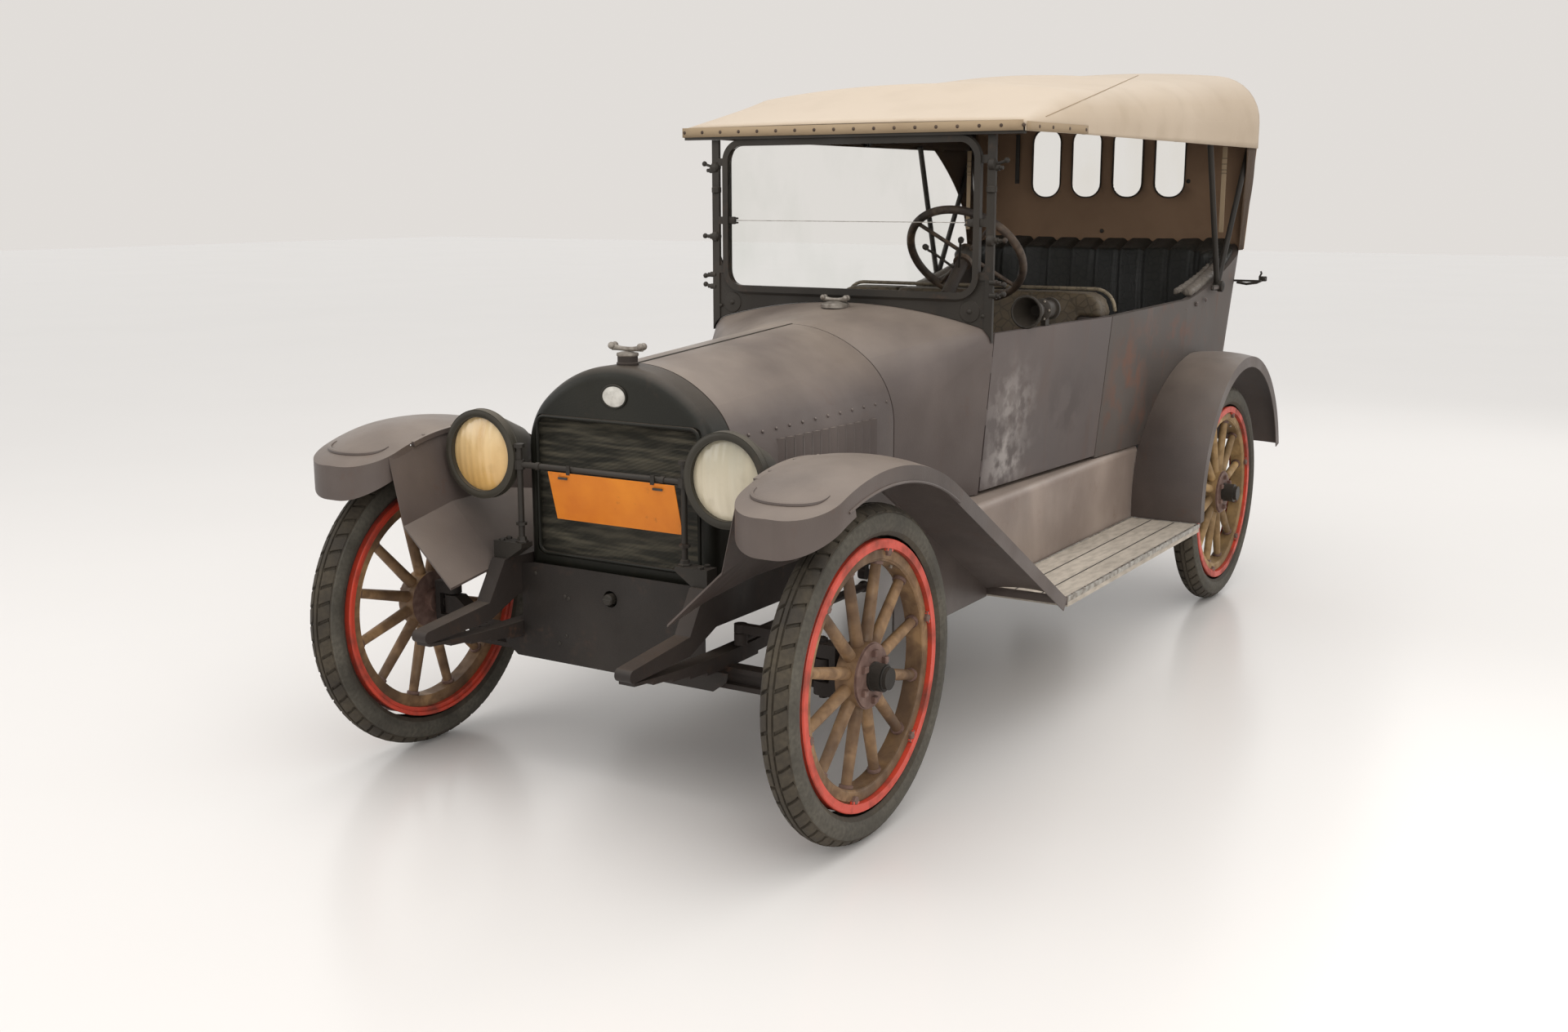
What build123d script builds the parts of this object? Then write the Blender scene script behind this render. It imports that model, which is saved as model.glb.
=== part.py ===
from build123d import *
import os
from math import acos, asin, atan, cos, pi, radians, sin, sqrt, tan

# An open touring car of about 1918: ladder frame, wooden wheels, folding cloth top.
# Millimetres. +X is the car's left, +Y its rear, +Z up. The origin is on the ground, under the
# middle of the whole car.

# Driving dimensions of the whole car
WHEELBASE = 2845
TREAD = 1422
TYRE_R = 417
FRONT_REACH = 432
REAR_REACH = 640
FRONT_AXLE_Y = -(WHEELBASE + REAR_REACH - FRONT_REACH) / 2
REAR_AXLE_Y = FRONT_AXLE_Y + WHEELBASE
OVERRUN = 200

# Clearances
SEAT_GAP = 0.3
RUN_GAP = 5
PIN_GAP = 0.5

# Wheels
TYRE_SECTION_R = 44.5
RIM_R = 331
RIM_W = 72
FELLOE_R = 310
FELLOE_INNER_R = 278
FELLOE_W = 44
SPOKE_COUNT = 12
SPOKE_ROOT_R = 17
SPOKE_TIP_R = 13
HUB_FLANGE_R = 82
HUB_FLANGE_W = 52
HUB_BARREL_R = 34
HUB_INNER_REACH = 48
FRONT_CAP_REACH = 80
REAR_CAP_REACH = 89
CAP_R = 27
SPINDLE_R = 14
BRAKE_DRUM_R = 152
BRAKE_DRUM_W = 46

# Front axle and steering
KINGPIN_X = 606
KINGPIN_R = 11
KINGPIN_H = 150
AXLE_DROP = 64
AXLE_BEAM_H = 58
AXLE_BEAM_W = 42
AXLE_WEB = 12
AXLE_FLANGE = 13
KNUCKLE_R = 24
FORK_INNER_H = 62
FORK_H = 34
STEER_ARM = 130
ARM_R = 11
ROD_R = 12
BALL_R = 17
TIE_ROD_DROP = 62
LINK_RISE = 66
STEER_RANGE = 25

# Frame
RAIL_X = 320
RAIL_H = 104
RAIL_W = 46
RAIL_WALL = 6
RAIL_TOP = 604
HORN_EYE_Y = FRONT_AXLE_Y - 416
HORN_EYE_Z = 459
HORN_EYE_R = FRONT_REACH - 416
FRAME_REAR_Y = REAR_AXLE_Y + 590
CROSS_W = 60
HORN_BEND_Y = FRONT_AXLE_Y - 190
HORN_BEND_Z = 500
HORN_ROOT_Y = FRONT_AXLE_Y - 125
HORN_H = 48

# Springs
SPRING_W = 45
LEAF_T = 8
FRONT_SPRING_HALF = 416
REAR_SPRING_HALF = 560
REAR_SPRING_X = 482
SPRING_EYE_R = 16

# Radiator and hood
RADIATOR_Y = FRONT_AXLE_Y - 25
RADIATOR_DEPTH = 100
RADIATOR_HW = 300
RADIATOR_SHOULDER_R = 185
RADIATOR_SHOULDER_Z = 892
RADIATOR_CROWN_Z = 1123
RADIATOR_BOTTOM_Z = 560
SHELL_FRONT_R = 33
SHELL_FACE_W = 34
CORE_TOP_Z = 985
CORE_BOTTOM_Z = 606
CORE_RECESS = 16
HOOD_REAR_Y = FRONT_AXLE_Y + 845
HOOD_REAR_HW = 350
HOOD_REAR_SHOULDER_R = 239
HOOD_REAR_SHOULDER_Z = 894
HOOD_REAR_CROWN_Z = 1172
HOOD_BOTTOM_Z = 700
HOOD_T = 3
HINGE_ROD_R = 4
HOOD_RANGE = 60
LOUVRE_COUNT = 12
LOUVRE_FIRST_Y = FRONT_AXLE_Y + 262
LOUVRE_PITCH = 41
LOUVRE_W = 22
LOUVRE_PROUD = 9
LOUVRE_LOW_Z = 745
LOUVRE_H = 180

# Cowl and body
SCREEN_Y = FRONT_AXLE_Y + 1183
BODY_BOTTOM_Z = 645
BODY_FRONT_HW = 504
BODY_FRONT_LOW_HW = 464
COWL_SHOULDER_R = 60
COWL_SHOULDER_Z = 1100
COWL_CROWN_Z = 1218
COWL_T = 4
RAIL_Z = 1140
WALL = 28
DOOR_FRONT_Y = SCREEN_Y + 6
DOOR_REAR_Y = FRONT_AXLE_Y + 2035
DOOR_FLARE = 61
DOOR_LOW_FLARE = 53
QUARTER_FLARE = 31
QUARTER_LOW_FLARE = 49
DOOR_HW = BODY_FRONT_HW + DOOR_FLARE
DOOR_LOW_HW = BODY_FRONT_LOW_HW + DOOR_LOW_FLARE
QUARTER_Y = FRONT_AXLE_Y + 2760
QUARTER_HW = DOOR_HW + QUARTER_FLARE
QUARTER_LOW_HW = DOOR_LOW_HW + QUARTER_LOW_FLARE
BODY_REAR_Y = REAR_AXLE_Y + REAR_REACH
BODY_REAR_LEAN = 105
REAR_CORNER_R = 150
REAR_RIM_Z = 1372
SIDE_RIM_Z = 1158
FLOOR_Z = 655
FLOOR_T = 22
DOOR_RANGE = 65
DOOR_FOOT_GAP = 8

# Seats
FRONT_CUSHION_Y = FRONT_AXLE_Y + 1500
FRONT_CUSHION_D = 462
CUSHION_T = 150
FRONT_CUSHION_TOP = 990
FRONT_BACK_Y = FRONT_AXLE_Y + 2091
FRONT_BACK_TOP = 1228
BACK_T = 105
REAR_CUSHION_D = 500
REAR_CUSHION_TOP = 1010
REAR_BACK_TOP = 1402
REAR_BACK_FRONT_Y = FRONT_AXLE_Y + 3290

# Windshield
POST_INSET = 14
POST_X = BODY_FRONT_HW - POST_INSET
SCREEN_SIDE_GAP = 32
SCREEN_HW = POST_X - SCREEN_SIDE_GAP
SCREEN_TOP_Z = 1724
SCREEN_BOTTOM_Z = 1240
SCREEN_SPLIT_Z = 1468
SCREEN_BAR = 20
SCREEN_CORNER_R = 70
POST_R = 11
POST_W = 26
POST_T = 12
STUD_R = 9
STUD_L = 22
GLASS_T = 5

# Cloth top
TOP_FRONT_Y = SCREEN_Y - 30
TOP_REAR_Y = REAR_AXLE_Y + 570
TOP_EDGE_Z = 1733
TOP_T = 6
TOP_HW = 640
TOP_FRONT_INSET = 36
TOP_BOW_INSET = 8
CURTAIN_T = 5
TOP_LIP = 24
CURTAIN_WINDOWS = 4
CURTAIN_WINDOW_W = 124
CURTAIN_WINDOW_H = 285
CURTAIN_WINDOW_PITCH = 184
CURTAIN_WINDOW_Z = 1540

# Fenders and steps
FENDER_R = 700
FENDER_CENTRE_Y = FRONT_AXLE_Y - 20
FENDER_CENTRE_Z = 232
FENDER_NOSE_Y = FRONT_AXLE_Y - 368
FENDER_NOSE_R = 112
FENDER_NOSE_LIP = 62
FENDER_OUTER_X = 802
FENDER_SKIRT = 40
VALANCE_BEND_IN = 40
FENDER_CROWN = 16
FENDER_T = 3
FENDER_SLOPE = 31
STEP_Z = 380
STEP_T = 28
STEP_INNER_X = 540
FENDER_INNER_X = STEP_INNER_X
REAR_FENDER_R = 520
REAR_FENDER_Y = REAR_AXLE_Y + 50
REAR_FENDER_Z = 420
REAR_FENDER_END_Z = 540
REAR_FENDER_CROWN = 14
APRON_T = 3
FRONT_APRON_Y = FRONT_AXLE_Y - 57
FRONT_APRON_HW = RAIL_X - RAIL_W / 2 - SEAT_GAP
CRANK_Z = 521
CRANK_R = 22

# Lamps
LAMP_X = 390
LAMP_Y = FRONT_AXLE_Y - 94
LAMP_Z = 876
LAMP_RIM_R = 119
LAMP_GLASS_R = 99
LAMP_DEPTH = 150
LAMP_RIM_W = 26
LAMP_BAR_R = 8
PLATE_W = 400
PLATE_GAP = 14
PLATE_H = 134
PLATE_T = 2
PLATE_TILT = 15
PLATE_DROP = 12
TIE_BAR_Z = 858

# Steering column
COLUMN_R = 20
HELM_R = 202
HELM_TUBE_R = 13
HELM_X = 280
HELM_Y = FRONT_AXLE_Y + 1457
HELM_Z = 1362
BOX_Z = 650
BOX_HALF_L = 40
PITMAN_Y = FRONT_AXLE_Y + 640

os.makedirs("parts", exist_ok=True)


def save(piece, name):
    """Labels a finished piece and writes it."""
    piece.part.label = name
    export_step(piece.part, f"parts/{name}.step")


def plane_at(y):
    """Upright cross plane at y, seen with +X to the right and +Z up."""
    return Plane(origin=(0, y, 0), x_dir=(1, 0, 0), z_dir=(0, -1, 0))


def arch(y, row, inset=0, drop=0):
    """Arch face across the car at y: flat bottom, straight sides, round shoulders and a crown arc."""
    hw, low_hw, shoulder_r, shoulder_z, crown_z, bottom_z = row
    foot_z = bottom_z - drop
    low_hw = low_hw - (hw - low_hw) * drop / (shoulder_z - bottom_z)
    half, low, radius, crown = hw - inset, low_hw - inset, shoulder_r - inset, crown_z - inset
    centre_x = half - radius
    rise_share = (crown - shoulder_z - radius) / centre_x
    join = pi / 2 - 2 * atan(rise_share)
    join_x = centre_x + radius * cos(join)
    join_z = shoulder_z + radius * sin(join)
    bend = join / 2
    bend_x = centre_x + radius * cos(bend)
    bend_z = shoulder_z + radius * sin(bend)
    with BuildSketch(plane_at(y)) as outline:
        with BuildLine():
            Line((-low, foot_z), (low, foot_z))
            Line((low, foot_z), (half, shoulder_z))
            ThreePointArc((half, shoulder_z), (bend_x, bend_z), (join_x, join_z))
            ThreePointArc((join_x, join_z), (0, crown), (-join_x, join_z))
            ThreePointArc((-join_x, join_z), (-bend_x, bend_z), (-half, shoulder_z))
            Line((-half, shoulder_z), (-low, foot_z))
        make_face()
    return outline.sketch


# Columns: hw, low_hw, shoulder_r, shoulder_z, crown_z, bottom_z
RADIATOR_ARCH = (
    RADIATOR_HW, RADIATOR_HW, RADIATOR_SHOULDER_R, RADIATOR_SHOULDER_Z, RADIATOR_CROWN_Z, RADIATOR_BOTTOM_Z,
)
HOOD_FRONT_ARCH = (
    RADIATOR_HW, RADIATOR_HW, RADIATOR_SHOULDER_R, RADIATOR_SHOULDER_Z, RADIATOR_CROWN_Z, HOOD_BOTTOM_Z,
)
HOOD_REAR_ARCH = (
    HOOD_REAR_HW, HOOD_REAR_HW, HOOD_REAR_SHOULDER_R, HOOD_REAR_SHOULDER_Z, HOOD_REAR_CROWN_Z, HOOD_BOTTOM_Z,
)
COWL_FRONT_ARCH = (
    HOOD_REAR_HW, HOOD_REAR_HW, HOOD_REAR_SHOULDER_R, HOOD_REAR_SHOULDER_Z, HOOD_REAR_CROWN_Z, BODY_BOTTOM_Z,
)
COWL_REAR_ARCH = (
    BODY_FRONT_HW, BODY_FRONT_LOW_HW, COWL_SHOULDER_R, COWL_SHOULDER_Z, COWL_CROWN_Z, BODY_BOTTOM_Z,
)


# Wheels
WHEELS = (
    # name, side, axle_y, cap_reach, drum
    ("front_left", 1, FRONT_AXLE_Y, FRONT_CAP_REACH, False),
    ("front_right", -1, FRONT_AXLE_Y, FRONT_CAP_REACH, False),
    ("rear_left", 1, REAR_AXLE_Y, REAR_CAP_REACH, True),
    ("rear_right", -1, REAR_AXLE_Y, REAR_CAP_REACH, True),
)
HUB_BORE_R = SPINDLE_R + PIN_GAP


def make_wheel(name, side, axle_y, cap_reach, drum):
    """Hub, twelve wooden spokes, felloe and steel rim, fused as one wheel round its axle."""
    mid = side * TREAD / 2
    plane = Plane(origin=(mid, axle_y, TYRE_R), x_dir=(0, 1, 0), z_dir=(side, 0, 0))
    with BuildPart() as wheel:
        with BuildSketch(plane.offset(-RIM_W / 2)):
            Circle(RIM_R)
            Circle(FELLOE_R, mode=Mode.SUBTRACT)
        extrude(amount=RIM_W)
        with BuildSketch(plane.offset(-FELLOE_W / 2)):
            Circle(FELLOE_R)
            Circle(FELLOE_INNER_R, mode=Mode.SUBTRACT)
        extrude(amount=FELLOE_W)
        with BuildSketch(plane.offset(-HUB_FLANGE_W / 2)):
            Circle(HUB_FLANGE_R)
        extrude(amount=HUB_FLANGE_W)
        with BuildSketch(plane.offset(-HUB_INNER_REACH)):
            Circle(HUB_BARREL_R)
        extrude(amount=HUB_INNER_REACH + cap_reach - CAP_R / 2)
        with BuildSketch(plane.offset(cap_reach - CAP_R)):
            Circle(CAP_R)
        extrude(amount=CAP_R)
        for spoke in range(SPOKE_COUNT):
            angle = 2 * pi * (spoke + 0.5) / SPOKE_COUNT
            out = plane.x_dir * cos(angle) + plane.y_dir * sin(angle)
            start = plane.origin + out * (HUB_FLANGE_R * 0.6)
            with BuildSketch(Plane(origin=start, z_dir=out)):
                Circle(SPOKE_ROOT_R)
            with BuildSketch(Plane(origin=plane.origin + out * (FELLOE_INNER_R + LEAF_T), z_dir=out)):
                Circle(SPOKE_TIP_R)
            loft()
        if drum:
            with BuildSketch(plane.offset(-HUB_INNER_REACH)):
                Circle(BRAKE_DRUM_R)
            extrude(amount=-BRAKE_DRUM_W)
            with BuildSketch(plane.offset(-HUB_INNER_REACH)):
                Circle(HUB_BARREL_R)
            extrude(amount=HUB_INNER_REACH)
        with BuildSketch(plane.offset(-HUB_INNER_REACH - BRAKE_DRUM_W)):
            Circle(HUB_BORE_R)
        extrude(amount=HUB_INNER_REACH + BRAKE_DRUM_W + HUB_INNER_REACH, mode=Mode.SUBTRACT)
    save(wheel, f"wheel_{name}")


def make_tyre(name, side, axle_y):
    """Tyre as a round section turned about the axle, cut flat where it grips the rim."""
    mid = side * TREAD / 2
    section_z = TYRE_R - TYRE_SECTION_R
    with BuildPart() as tyre:
        with BuildSketch(plane_at(axle_y)):
            with Locations((mid, TYRE_R + section_z)):
                Circle(TYRE_SECTION_R)
            with Locations((mid, TYRE_R + RIM_R - TYRE_SECTION_R)):
                Rectangle(4 * TYRE_SECTION_R, 2 * TYRE_SECTION_R, mode=Mode.SUBTRACT)
        revolve(axis=Axis((mid, axle_y, TYRE_R), (1, 0, 0)))
    save(tyre, f"tyre_{name}")


for wheel_name, wheel_side, wheel_y, wheel_cap, wheel_drum in WHEELS:
    make_wheel(wheel_name, wheel_side, wheel_y, wheel_cap, wheel_drum)
    make_tyre(wheel_name, wheel_side, wheel_y)


# Front axle: dropped I-beam with an eye for each kingpin
AXLE_EYE_Z = TYRE_R
BEAM_Z = TYRE_R - AXLE_DROP
BEAM_HALF = KINGPIN_X - KNUCKLE_R - AXLE_BEAM_H / 2
EYE_HALF = FORK_INNER_H / 2 - RUN_GAP
EYE_END = KINGPIN_X - KNUCKLE_R - RUN_GAP

with BuildPart() as front_axle:
    with BuildSketch(plane_at(FRONT_AXLE_Y - AXLE_BEAM_W / 2)):
        with BuildLine():
            Polyline(
                (-KINGPIN_X, AXLE_EYE_Z - EYE_HALF),
                (-EYE_END, AXLE_EYE_Z - EYE_HALF),
                (-BEAM_HALF + AXLE_BEAM_H, BEAM_Z - AXLE_BEAM_H / 2),
                (BEAM_HALF - AXLE_BEAM_H, BEAM_Z - AXLE_BEAM_H / 2),
                (EYE_END, AXLE_EYE_Z - EYE_HALF),
                (KINGPIN_X, AXLE_EYE_Z - EYE_HALF),
                (KINGPIN_X, AXLE_EYE_Z + EYE_HALF),
                (EYE_END, AXLE_EYE_Z + EYE_HALF),
                (BEAM_HALF - AXLE_BEAM_H, BEAM_Z + AXLE_BEAM_H / 2),
                (-BEAM_HALF + AXLE_BEAM_H, BEAM_Z + AXLE_BEAM_H / 2),
                (-EYE_END, AXLE_EYE_Z + EYE_HALF),
                (-KINGPIN_X, AXLE_EYE_Z + EYE_HALF),
                close=True,
            )
        make_face()
    extrude(amount=-AXLE_BEAM_W)
    for face_y in (FRONT_AXLE_Y - AXLE_BEAM_W / 2, FRONT_AXLE_Y + AXLE_WEB / 2):
        with Locations((0, face_y + (AXLE_BEAM_W - AXLE_WEB) / 4, BEAM_Z)):
            Box(
                2 * (BEAM_HALF - AXLE_BEAM_H),
                (AXLE_BEAM_W - AXLE_WEB) / 2,
                AXLE_BEAM_H - 2 * AXLE_FLANGE,
                mode=Mode.SUBTRACT,
            )
    with Locations((KINGPIN_X, FRONT_AXLE_Y, AXLE_EYE_Z), (-KINGPIN_X, FRONT_AXLE_Y, AXLE_EYE_Z)):
        Cylinder(KNUCKLE_R, FORK_INNER_H - 2 * RUN_GAP)
        Cylinder(KINGPIN_R + PIN_GAP, KINGPIN_H, mode=Mode.SUBTRACT)
save(front_axle, "front_axle")


# Knuckles: fork round the axle's eye, kingpin, wheel spindle and steering arms
SPINDLE_ROOT_X = KINGPIN_X + KNUCKLE_R
SPINDLE_END_X = TREAD / 2 + HUB_INNER_REACH - RUN_GAP
ARM_Z = TYRE_R - TIE_ROD_DROP
LINK_Z = TYRE_R + LINK_RISE
DRAG_X = RAIL_X + RAIL_W / 2 + RUN_GAP + BALL_R
LINK_ARM = KINGPIN_X - DRAG_X

for knuckle_name, knuckle_side in (("knuckle_left", 1), ("knuckle_right", -1)):
    with BuildPart() as knuckle:
        with Locations((knuckle_side * KINGPIN_X, FRONT_AXLE_Y, TYRE_R)):
            Cylinder(KNUCKLE_R, FORK_INNER_H + 2 * FORK_H)
            Cylinder(KNUCKLE_R + RUN_GAP, FORK_INNER_H, mode=Mode.SUBTRACT)
            Cylinder(KINGPIN_R, KINGPIN_H)
        with Locations((knuckle_side * (SPINDLE_ROOT_X + RUN_GAP + FORK_H / 4), FRONT_AXLE_Y, TYRE_R)):
            Box(FORK_H / 2, 2 * KNUCKLE_R, FORK_INNER_H + 2 * FORK_H)
        for arm_level in (1, -1):
            with Locations(
                (
                    knuckle_side * (KINGPIN_X + KNUCKLE_R / 2 + RUN_GAP),
                    FRONT_AXLE_Y,
                    TYRE_R + arm_level * (FORK_INNER_H + FORK_H) / 2,
                )
            ):
                Box(KNUCKLE_R + 2 * RUN_GAP, 2 * KNUCKLE_R, FORK_H)
        with Locations((knuckle_side * (SPINDLE_ROOT_X + SPINDLE_END_X) / 2, FRONT_AXLE_Y, TYRE_R)):
            Cylinder(SPINDLE_R, SPINDLE_END_X - SPINDLE_ROOT_X, rotation=(0, 90, 0))
        with Locations((knuckle_side * KINGPIN_X, FRONT_AXLE_Y + STEER_ARM / 2, ARM_Z)):
            Box(2 * ARM_R, STEER_ARM, 2 * ARM_R)
        with Locations((knuckle_side * KINGPIN_X, FRONT_AXLE_Y + STEER_ARM, ARM_Z)):
            Cylinder(BALL_R, 2 * ARM_R)
            Cylinder(KINGPIN_R + PIN_GAP, 2 * BALL_R, mode=Mode.SUBTRACT)
        if knuckle_side > 0:
            with Locations((KINGPIN_X - LINK_ARM / 2, FRONT_AXLE_Y, LINK_Z)):
                Box(LINK_ARM, 2 * ARM_R, 2 * ARM_R)
            with Locations((DRAG_X, FRONT_AXLE_Y, LINK_Z)):
                Cylinder(BALL_R, 2 * ARM_R)
                Cylinder(KINGPIN_R + PIN_GAP, 2 * BALL_R, mode=Mode.SUBTRACT)
    save(knuckle, knuckle_name)


# Tie rod behind the axle, its pins up into the knuckles' arms
TIE_ROD_Z = ARM_Z - ARM_R - RUN_GAP - ROD_R

with BuildPart() as tie_rod:
    with Locations((0, FRONT_AXLE_Y + STEER_ARM, TIE_ROD_Z)):
        Cylinder(ROD_R, 2 * KINGPIN_X, rotation=(0, 90, 0))
    for pin_side in (1, -1):
        with Locations((pin_side * KINGPIN_X, FRONT_AXLE_Y + STEER_ARM, TIE_ROD_Z)):
            Cylinder(BALL_R, 2 * ROD_R + RUN_GAP)
            Cylinder(
                KINGPIN_R, ARM_Z + ARM_R - TIE_ROD_Z, align=(Align.CENTER, Align.CENTER, Align.MIN)
            )
save(tie_rod, "tie_rod")


# Drag link from the pitman arm forward to the left knuckle
DRAG_Z = LINK_Z - ARM_R - RUN_GAP - ROD_R
PITMAN_R = 150
PITMAN_FOOT_Z = DRAG_Z + BALL_R + RUN_GAP + BALL_R

with BuildPart() as drag_link:
    with Locations((DRAG_X, (FRONT_AXLE_Y + PITMAN_Y) / 2, DRAG_Z)):
        Cylinder(ROD_R, PITMAN_Y - FRONT_AXLE_Y, rotation=(90, 0, 0))
    with Locations((DRAG_X, FRONT_AXLE_Y, DRAG_Z)):
        Cylinder(BALL_R, 2 * ROD_R + RUN_GAP)
        Cylinder(
            KINGPIN_R, LINK_Z + ARM_R - DRAG_Z, align=(Align.CENTER, Align.CENTER, Align.MIN)
        )
    with Locations((DRAG_X, PITMAN_Y, DRAG_Z)):
        Sphere(BALL_R)
save(drag_link, "drag_link")

with BuildPart() as pitman_arm:
    with Locations((DRAG_X, PITMAN_Y, PITMAN_FOOT_Z + PITMAN_R / 2)):
        Box(2 * ARM_R, 2 * ARM_R, PITMAN_R)
    with Locations((DRAG_X, PITMAN_Y, PITMAN_FOOT_Z + PITMAN_R), (DRAG_X, PITMAN_Y, PITMAN_FOOT_Z)):
        Cylinder(BALL_R, 2 * ARM_R, rotation=(0, 90, 0))
    with Locations((DRAG_X, PITMAN_Y, PITMAN_FOOT_Z + PITMAN_R)):
        Cylinder(KINGPIN_R + PIN_GAP, 4 * ARM_R, rotation=(0, 90, 0), mode=Mode.SUBTRACT)
save(pitman_arm, "pitman_arm")


# Ladder frame: two channel rails, front horns, cross members, spring hangers and step hangers
RAIL_Z_MID = RAIL_TOP - RAIL_H / 2
RAIL_FOOT = RAIL_TOP - RAIL_H
FRONT_SPRING_EYE = HORN_EYE_Z - HORN_EYE_R - SEAT_GAP
REAR_SPRING_EYE = RAIL_Z_MID
SHACKLE_FOOT = FRONT_SPRING_EYE + SEAT_GAP
SHACKLE_L = 26
HANGER_T = 14
HANGER_TOP = STEP_Z - STEP_T - SEAT_GAP
HANGER_BEND_X = STEP_INNER_X - APRON_T - RUN_GAP
HANGER_END_X = FENDER_OUTER_X - 30
STEP_HANGERS = (FRONT_AXLE_Y + 1240, FRONT_AXLE_Y + 1700, FRONT_AXLE_Y + 2230)
CROSS_H = 50
CROSS_PLACES = (
    # y, top_z
    (RADIATOR_Y + RADIATOR_DEPTH / 2, RADIATOR_BOTTOM_Z),
    (FRONT_AXLE_Y + 1760, RAIL_TOP),
    (FRONT_AXLE_Y + 2330, RAIL_TOP),
    (FRAME_REAR_Y - CROSS_W / 2, RAIL_TOP),
)

with BuildPart() as frame_rails:
    for rail_side in (1, -1):
        rail_x = rail_side * RAIL_X
        with BuildSketch(Plane.YZ.offset(rail_x - RAIL_W / 2)):
            with BuildLine():
                Polyline(
                    (HORN_EYE_Y, HORN_EYE_Z - HORN_EYE_R),
                    (HORN_BEND_Y, HORN_BEND_Z - HORN_H),
                    (HORN_ROOT_Y + HORN_H, RAIL_FOOT),
                    (FRAME_REAR_Y, RAIL_FOOT),
                    (FRAME_REAR_Y, RAIL_TOP),
                    (HORN_ROOT_Y, RAIL_TOP),
                    (HORN_BEND_Y, HORN_BEND_Z),
                    (HORN_EYE_Y, HORN_EYE_Z + HORN_EYE_R),
                    close=True,
                )
            make_face()
            with Locations((HORN_EYE_Y, HORN_EYE_Z)):
                Circle(HORN_EYE_R)
        extrude(amount=RAIL_W)
        with Locations((rail_x - rail_side * RAIL_WALL, (FRONT_AXLE_Y + FRAME_REAR_Y) / 2, RAIL_Z_MID)):
            Box(RAIL_W, FRAME_REAR_Y - FRONT_AXLE_Y, RAIL_H - 2 * RAIL_WALL, mode=Mode.SUBTRACT)
    for cross_y, cross_top in CROSS_PLACES:
        with Locations((0, cross_y, cross_top - CROSS_H / 2)):
            Box(2 * RAIL_X, CROSS_W, CROSS_H)
    for hang_side in (1, -1):
        shackle_y = FRONT_AXLE_Y + FRONT_SPRING_HALF - SHACKLE_L / 2
        with Locations((hang_side * RAIL_X, shackle_y, (SHACKLE_FOOT + RAIL_FOOT) / 2)):
            Box(SPRING_W, SHACKLE_L, RAIL_FOOT - SHACKLE_FOOT)
        for pin_end in (-1, 1):
            pin_y = REAR_AXLE_Y + pin_end * (REAR_SPRING_HALF - SPRING_EYE_R)
            pin_x = hang_side * (RAIL_X + REAR_SPRING_X + SPRING_W / 2) / 2
            with Locations((pin_x, pin_y, REAR_SPRING_EYE + SEAT_GAP + SPRING_EYE_R)):
                Cylinder(SPRING_EYE_R, REAR_SPRING_X + SPRING_W / 2 - RAIL_X, rotation=(0, 90, 0))
        for hanger_y in STEP_HANGERS:
            with BuildSketch(plane_at(hanger_y + HANGER_T / 2)):
                Polygon(
                    (hang_side * (RAIL_X - RAIL_W / 2), RAIL_Z_MID),
                    (hang_side * (RAIL_X + RAIL_W / 2), RAIL_Z_MID),
                    (hang_side * HANGER_BEND_X, HANGER_TOP), (hang_side * HANGER_END_X, HANGER_TOP),
                    (hang_side * HANGER_END_X, HANGER_TOP - HANGER_T),
                    (hang_side * (HANGER_BEND_X - HANGER_T), HANGER_TOP - HANGER_T),
                    align=None,
                )
            extrude(amount=HANGER_T)
save(frame_rails, "frame_rails")


# Leaf springs under the rails, with their shackles and the pads on the axles
# Share of the spring's half-length that each leaf reaches, the main leaf first
LEAF_SHARES = (1.0, 0.82, 0.64, 0.46, 0.28)


def leaf_face(x, axle_y, half, eye_z, seat_z, number):
    """Side outline of one arched leaf, the main leaf being number 0."""
    sag = eye_z - seat_z - len(LEAF_SHARES) * LEAF_T
    radius = (half * half + sag * sag) / (2 * sag)
    reach = half * LEAF_SHARES[number]
    mid_z = eye_z - sag - number * LEAF_T
    end_z = mid_z + radius - sqrt(radius * radius - reach * reach)
    with BuildSketch(Plane.YZ.offset(x - SPRING_W / 2)) as leaf:
        with BuildLine():
            ThreePointArc((axle_y - reach, end_z), (axle_y, mid_z), (axle_y + reach, end_z))
            Line((axle_y + reach, end_z), (axle_y + reach, end_z - LEAF_T))
            ThreePointArc(
                (axle_y + reach, end_z - LEAF_T), (axle_y, mid_z - LEAF_T), (axle_y - reach, end_z - LEAF_T)
            )
            Line((axle_y - reach, end_z - LEAF_T), (axle_y - reach, end_z))
        make_face()
    return leaf.sketch


FRONT_SPRING_SEAT = BEAM_Z + AXLE_BEAM_H / 2
REAR_TUBE_R = 40
REAR_SPRING_SEAT = TYRE_R + REAR_TUBE_R

SPRINGS = (
    # x, axle_y, half, eye_z, seat_z
    (RAIL_X, FRONT_AXLE_Y, FRONT_SPRING_HALF, FRONT_SPRING_EYE, FRONT_SPRING_SEAT),
    (REAR_SPRING_X, REAR_AXLE_Y, REAR_SPRING_HALF, REAR_SPRING_EYE, REAR_SPRING_SEAT),
)

with BuildPart() as leaf_springs:
    for spring_row in SPRINGS:
        for leaf_number in range(len(LEAF_SHARES)):
            extrude(leaf_face(*spring_row, leaf_number), amount=SPRING_W)
    mirror(about=Plane.YZ)
save(leaf_springs, "leaf_springs")


# Rear axle: tubes, round final drive case, torque tube forward to the gearbox
REAR_TUBE_END = TREAD / 2 - HUB_INNER_REACH - BRAKE_DRUM_W - RUN_GAP
CASE_R = 150
CASE_W = 190
TORQUE_TUBE_R = 36
GEARBOX_REAR_Y = FRONT_AXLE_Y + 1290
GEARBOX_Z = RAIL_Z_MID

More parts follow.
